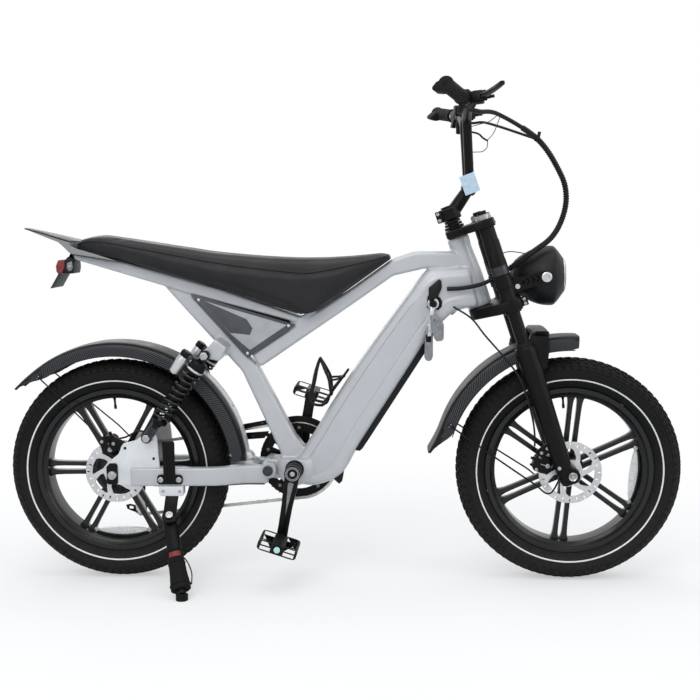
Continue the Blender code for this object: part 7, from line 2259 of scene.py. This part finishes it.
SWITCH_LEADS = {
    "switch_plug": (0.0026, mm((905, 160, 1160), (928, 150, 1154), (942, 142, 1149),
        (952, 140, 1139), (965, 140, 1131))),
    "switch_lead_long": (0.0011, mm((905, 160, 1165), (943, 100, 1171), (958, 0, 1168),
        (970, -103, 1173))),
    "switch_lead_rising": (0.0011, mm((964, 140, 1132), (972, 20, 1143), (978, -97, 1172))),
    "switch_lead_falling": (0.0011, mm((965, 140, 1132), (962, 120, 1113), (950, 115, 1102),
        (935, 88, 1099), (912, 60, 1097))),
}


def cord(name, route, radius, first, last=None, start=None, end=None, nodes=(), ribs=None):
    """A cord on its route, joined to the first body when no last one is given; ribs: its stretch
    with rings.
    """
    line = smooth_line(route, 12)
    total = marks(line)[-1]
    count = round(total / (0.0021 if ribs else 0.006))
    points = evenly(line, count)

    def width(share):
        if not ribs or not ribs[0] < share < ribs[1]:
            return 1.0
        return (1.42, 1.32, 1.1)[round(share * count) % 3]

    piece = smoothed(painted(pipe(points, radius, 2, 1, width), SLEEVE), name, 50)
    if last:
        stretched(piece, first, last, start, end, nodes)
    else:
        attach(piece, first)


def make_cords(looks):
    """The cable loom, both brake hoses and the thin leads, with the clips that hold them."""
    cord(
        "loom_sleeve", LOOM_ROUTE, 0.0055, "frame", "steering",
        (0.862, -0.048, 0.753), (1.0, -0.056, 0.8), ("loom",), (0.22, 0.8),
    )
    cord("far_control_lead", FAR_LEAD_ROUTE, 0.0034, "steering")
    for name, (radius, route) in SWITCH_LEADS.items():
        cord(name, route, radius, "steering")
    lamp_ends = (0.99, -0.068, 0.843), (1.048, -0.034, 0.838)
    cord("lamp_lead", LAMP_LEAD_ROUTE, 0.0012, "steering", "headlight", *lamp_ends)
    upper, lower = FRONT_HOSE_ROUTE[:4], FRONT_HOSE_ROUTE[3:]
    cord(
        "front_hose_upper", upper, HOSE_RADIUS, "frame", "steering",
        upper[0], (0.95, -0.09, 0.632),
    )
    cord(
        "front_hose_lower", lower, HOSE_RADIUS, "steering", "fork_lower",
        (1.0, -0.117, 0.575), (1.064, -0.09, 0.415), ("front_brake_hose",),
    )
    cord(
        "rear_hose", REAR_HOSE_ROUTE, HOSE_RADIUS, "swingarm", "frame",
        (0.268, -0.064, 0.255), (0.378, -0.048, 0.255), ("rear_brake_hose",),
    )
    clips = Parts()
    for x, length in ((0.074, 0.005), (0.0865, 0.0095), (0.244, 0.006)):
        at = moved((x, -0.0622, 0.2552))
        clips.add(block((length, 0.0044, 0.0034), at, 0.0006), NICKEL)
    for x in (0.104, 0.215):
        at = frame_at(Vector((x, -0.0632, 0.255)), X)
        clips.add(turned(oblong(2.6, 3.8, -1.4, 1.4), at, 16), SLEEVE)
    settle(joined(clips), "hose_clips", "swingarm", (), 40)
    tie_at = frame_at(Vector((1.072, -0.034, 1.1225)), Vector((0.8, 0.25, -0.45)), Z)
    band = turned(oblong(6, 7.8, -2, 2), tie_at, 24)
    tail_at = moved((1.077, -0.04, 1.129)) @ rolled(12, "Y")
    tail = block((0.008, 0.004, 0.019), tail_at, 0.0008)
    buckle = block((0.006, 0.005, 0.005), moved((1.069, -0.04, 1.129)), 0.0008)
    settle(painted(joined([band, tail, buckle]), SLEEVE), "cable_tie", "steering", (), 40)


# The stage
def make_stage(looks):
    """A pale floor, a plain white background, soft lamps and the camera."""
    scene = bpy.context.scene
    scene.view_settings.view_transform = "Standard"
    world = bpy.data.worlds.new("studio")
    scene.world = world
    world.use_nodes = True
    tree = world.node_tree
    tree.nodes.clear()
    rays = add(tree, "LightPath").outputs
    seen = calculated(
        tree, "MAXIMUM", calculated(tree, "MAXIMUM", rays["Is Camera Ray"], rays["Is Glossy Ray"]),
        rays["Is Transmission Ray"],
    )
    soft = add(tree, "Background", {"Color": (*linear("#EEF1F4"), 1), "Strength": looks.sky_level})
    white = add(tree, "Background", {"Color": (1, 1, 1, 1), "Strength": 1.0})
    mix = add(tree, "MixShader", {0: seen, 1: soft.outputs[0], 2: white.outputs[0]})
    out = add(tree, "OutputWorld", {"Surface": mix.outputs[0]})
    tree.nodes.active = out

    pick()
    bpy.ops.mesh.primitive_plane_add(size=14, location=(0, 0, 0))
    floor = bpy.context.object
    floor.name = "studio_floor"
    floor.data.materials.append(floor_material())

    lamps = (
        ("key_lamp", (-0.9, -3.6, 3.2), (0, 0, 0.5), 2.6, 95 * looks.lamp_level),
        ("top_lamp", (0.2, -0.2, 4.2), (0, 0, 0.3), 3.4, 70 * looks.lamp_level),
        ("side_lamp", (3.4, -1.6, 1.9), (0.3, 0, 0.6), 2.2, 36 * looks.lamp_level),
        ("back_lamp", (-1.8, 3.2, 2.4), (0, 0, 0.5), 2.4, 34 * looks.lamp_level),
    )
    for name, place, target, size, power in lamps:
        bpy.ops.object.light_add(type="AREA", location=place)
        lamp = bpy.context.object
        lamp.name = name
        lamp.data.size = size
        lamp.data.energy = power
        aim = Vector(place) - Vector(target)
        lamp.rotation_euler = aim.to_track_quat("Z", "Y").to_euler()

    bpy.ops.object.camera_add(location=(0, 0, 0))
    camera = bpy.context.object
    camera.name = "photo_camera"
    right = Vector((0.9987, 0.0509, -0.0101))
    down = Vector((-0.0043, -0.1129, -0.9936))
    axes = Matrix((right, -down, -right.cross(down))).transposed().to_4x4()
    camera.matrix_world = BIKE @ moved((0.7512, -2.8128, 0.9143)) @ axes
    camera.data.lens = 56.67
    camera.data.sensor_width = 36.0
    camera.data.clip_end = 100
    scene.camera = camera


def floor_material():
    """White paint for the camera, which keeps only the object's shadow."""
    material = bpy.data.materials.new("matt_white_floor")
    material.use_nodes = True
    tree = material.node_tree
    shader = tree.nodes["Principled BSDF"]
    place = add(tree, "TexCoord").outputs["Object"]
    drift = add(tree, "TexNoise", {"Vector": place, "Scale": 1.5, "Detail": 2}).outputs["Fac"]
    tint = blended(tree, drift, (*linear("#F6F7F8"), 1), (*linear("#F1F2F4"), 1))
    tree.links.new(tint, shader.inputs["Base Color"])
    shader.inputs["Roughness"].default_value = 0.9
    shader.inputs["Specular IOR Level"].default_value = 0.1
    far = add(tree, "VectorMath", {0: place, 1: (0, -0.1, 0)}, operation="DISTANCE").outputs[
        "Value"]
    fade = add(tree, "MapRange", {"Value": far, "From Min": 0.9, "From Max": 2.1, "To Min": 0.45},
        interpolation_type="SMOOTHSTEP")
    rays = add(tree, "LightPath").outputs
    seen = calculated(tree, "MULTIPLY", fade.outputs[0], rays["Is Camera Ray"])
    white = add(tree, "Emission", {"Color": (1, 1, 1, 1), "Strength": 1.0})
    mix = add(tree, "MixShader", {0: seen, 1: shader.outputs[0], 2: white.outputs[0]})
    tree.links.new(mix.outputs[0], tree.nodes["Material Output"].inputs["Surface"])
    return material


# The add-on
class BicycleLooks(bpy.types.PropertyGroup):
    """The sizes and colours that a user may change"""

    body_colour: FloatVectorProperty(
        name="Body paint", description="Colour of the frame's paint", subtype="COLOR",
        size=3, min=0, max=1, default=linear("#B2B5B9"),
    )
    trim_colour: FloatVectorProperty(
        name="Wheel enamel", description="Colour of the cast wheels", subtype="COLOR",
        size=3, min=0, max=1, default=linear("#0D0E0F"),
    )
    seat_colour: FloatVectorProperty(
        name="Seat vinyl", description="Colour of the bench seat's cover", subtype="COLOR",
        size=3, min=0, max=1, default=linear("#202022"),
    )
    tread_blocks: IntProperty(
        name="Tread blocks", description="Blocks in one row of the tread", default=84, min=40,
        max=120,
    )
    tread_depth: FloatProperty(
        name="Tread depth", description="Height of the tread's blocks", default=0.0022,
        min=0.001, max=0.004, subtype="DISTANCE",
    )
    sky_level: FloatProperty(
        name="Sky level", description="Strength of the soft light from all round",
        default=0.62, min=0, max=2,
    )
    lamp_level: FloatProperty(
        name="Lamp level", description="Strength of the studio lamps", default=0.8, min=0, max=3,
    )


class BuildStep:
    """What the operators share"""

    bl_options = {"REGISTER", "UNDO"}

    def execute(self, context):
        self.make(context.scene.bicycle_looks)
        pick()
        return {"FINISHED"}


class BICYCLE_OT_materials(BuildStep, bpy.types.Operator):
    """Make the materials of the bicycle"""

    bl_idname = "bicycle.materials"
    bl_label = "Materials"

    make = staticmethod(make_materials)


class BICYCLE_OT_stage(BuildStep, bpy.types.Operator):
    """Build the floor, the background, the lamps and the camera"""

    bl_idname = "bicycle.stage"
    bl_label = "Stage and camera"

    make = staticmethod(make_stage)


class BICYCLE_OT_wheels(BuildStep, bpy.types.Operator):
    """Build the tyres, the cast wheels, the brake discs and the cogs"""

    bl_idname = "bicycle.wheels"
    bl_label = "Wheels"

    make = staticmethod(make_wheels)


class BICYCLE_OT_fenders(BuildStep, bpy.types.Operator):
    """Build both fenders with their stays"""

    bl_idname = "bicycle.fenders"
    bl_label = "Fenders"

    make = staticmethod(make_fenders)


class BICYCLE_OT_frame(BuildStep, bpy.types.Operator):
    """Build the welded frame and what is fixed to it"""

    bl_idname = "bicycle.frame"
    bl_label = "Frame"

    make = staticmethod(make_frame)


class BICYCLE_OT_seat(BuildStep, bpy.types.Operator):
    """Build the bench seat, the plate behind it and the rear lamp"""

    bl_idname = "bicycle.seat"
    bl_label = "Seat and tail"

    def make(self, looks):
        make_seat(looks)
        make_tail(looks)


class BICYCLE_OT_rear_end(BuildStep, bpy.types.Operator):
    """Build the swingarm, the rear shocks and the kickstand"""

    bl_idname = "bicycle.rear_end"
    bl_label = "Rear end"

    make = staticmethod(make_rear_end)


class BICYCLE_OT_front_end(BuildStep, bpy.types.Operator):
    """Build the fork, the handlebar with its controls and the lamp"""

    bl_idname = "bicycle.front_end"
    bl_label = "Front end"

    make = staticmethod(make_front_end)


class BICYCLE_OT_drive(BuildStep, bpy.types.Operator):
    """Build the cranks, the chainring, the pedals, the chain with its guard and the derailleur"""

    bl_idname = "bicycle.drive"
    bl_label = "Drive"

    make = staticmethod(make_drive)


class BICYCLE_OT_brakes(BuildStep, bpy.types.Operator):
    """Build both brake calipers with their brackets"""

    bl_idname = "bicycle.brakes"
    bl_label = "Brakes"

    make = staticmethod(make_brakes)


class BICYCLE_OT_small_parts(BuildStep, bpy.types.Operator):
    """Build the bottle cage, the side panels and the key with its lock"""

    bl_idname = "bicycle.small_parts"
    bl_label = "Small parts"

    make = staticmethod(make_small_parts)


class BICYCLE_OT_cords(BuildStep, bpy.types.Operator):
    """Build the cable loom, the brake hoses and the clips and ties that hold them"""

    bl_idname = "bicycle.cords"
    bl_label = "Cords"

    make = staticmethod(make_cords)


STEPS = [
    BICYCLE_OT_materials,
    BICYCLE_OT_stage,
    BICYCLE_OT_cords,
    BICYCLE_OT_wheels,
    BICYCLE_OT_fenders,
    BICYCLE_OT_frame,
    BICYCLE_OT_seat,
    BICYCLE_OT_rear_end,
    BICYCLE_OT_front_end,
    BICYCLE_OT_drive,
    BICYCLE_OT_brakes,
    BICYCLE_OT_small_parts,
]


class BICYCLE_PT_steps(bpy.types.Panel):
    """Lists the settings and the steps in the sidebar"""

    bl_label = "Bicycle"
    bl_space_type = "VIEW_3D"
    bl_region_type = "UI"
    bl_category = "Bicycle"

    def draw(self, context):
        looks = context.scene.bicycle_looks
        for key in BicycleLooks.__annotations__:
            self.layout.prop(looks, key)
        for step in STEPS:
            self.layout.operator(step.bl_idname)


CLASSES = [BicycleLooks, *STEPS, BICYCLE_PT_steps]


def register():
    for each in CLASSES:
        bpy.utils.register_class(each)
    bpy.types.Scene.bicycle_looks = PointerProperty(type=BicycleLooks)


def unregister():
    del bpy.types.Scene.bicycle_looks
    for each in reversed(CLASSES):
        bpy.utils.unregister_class(each)


def main():
    register()
    for step in STEPS:
        group, name = step.bl_idname.split(".")
        getattr(getattr(bpy.ops, group), name)()


if __name__ == "__main__":
    main()
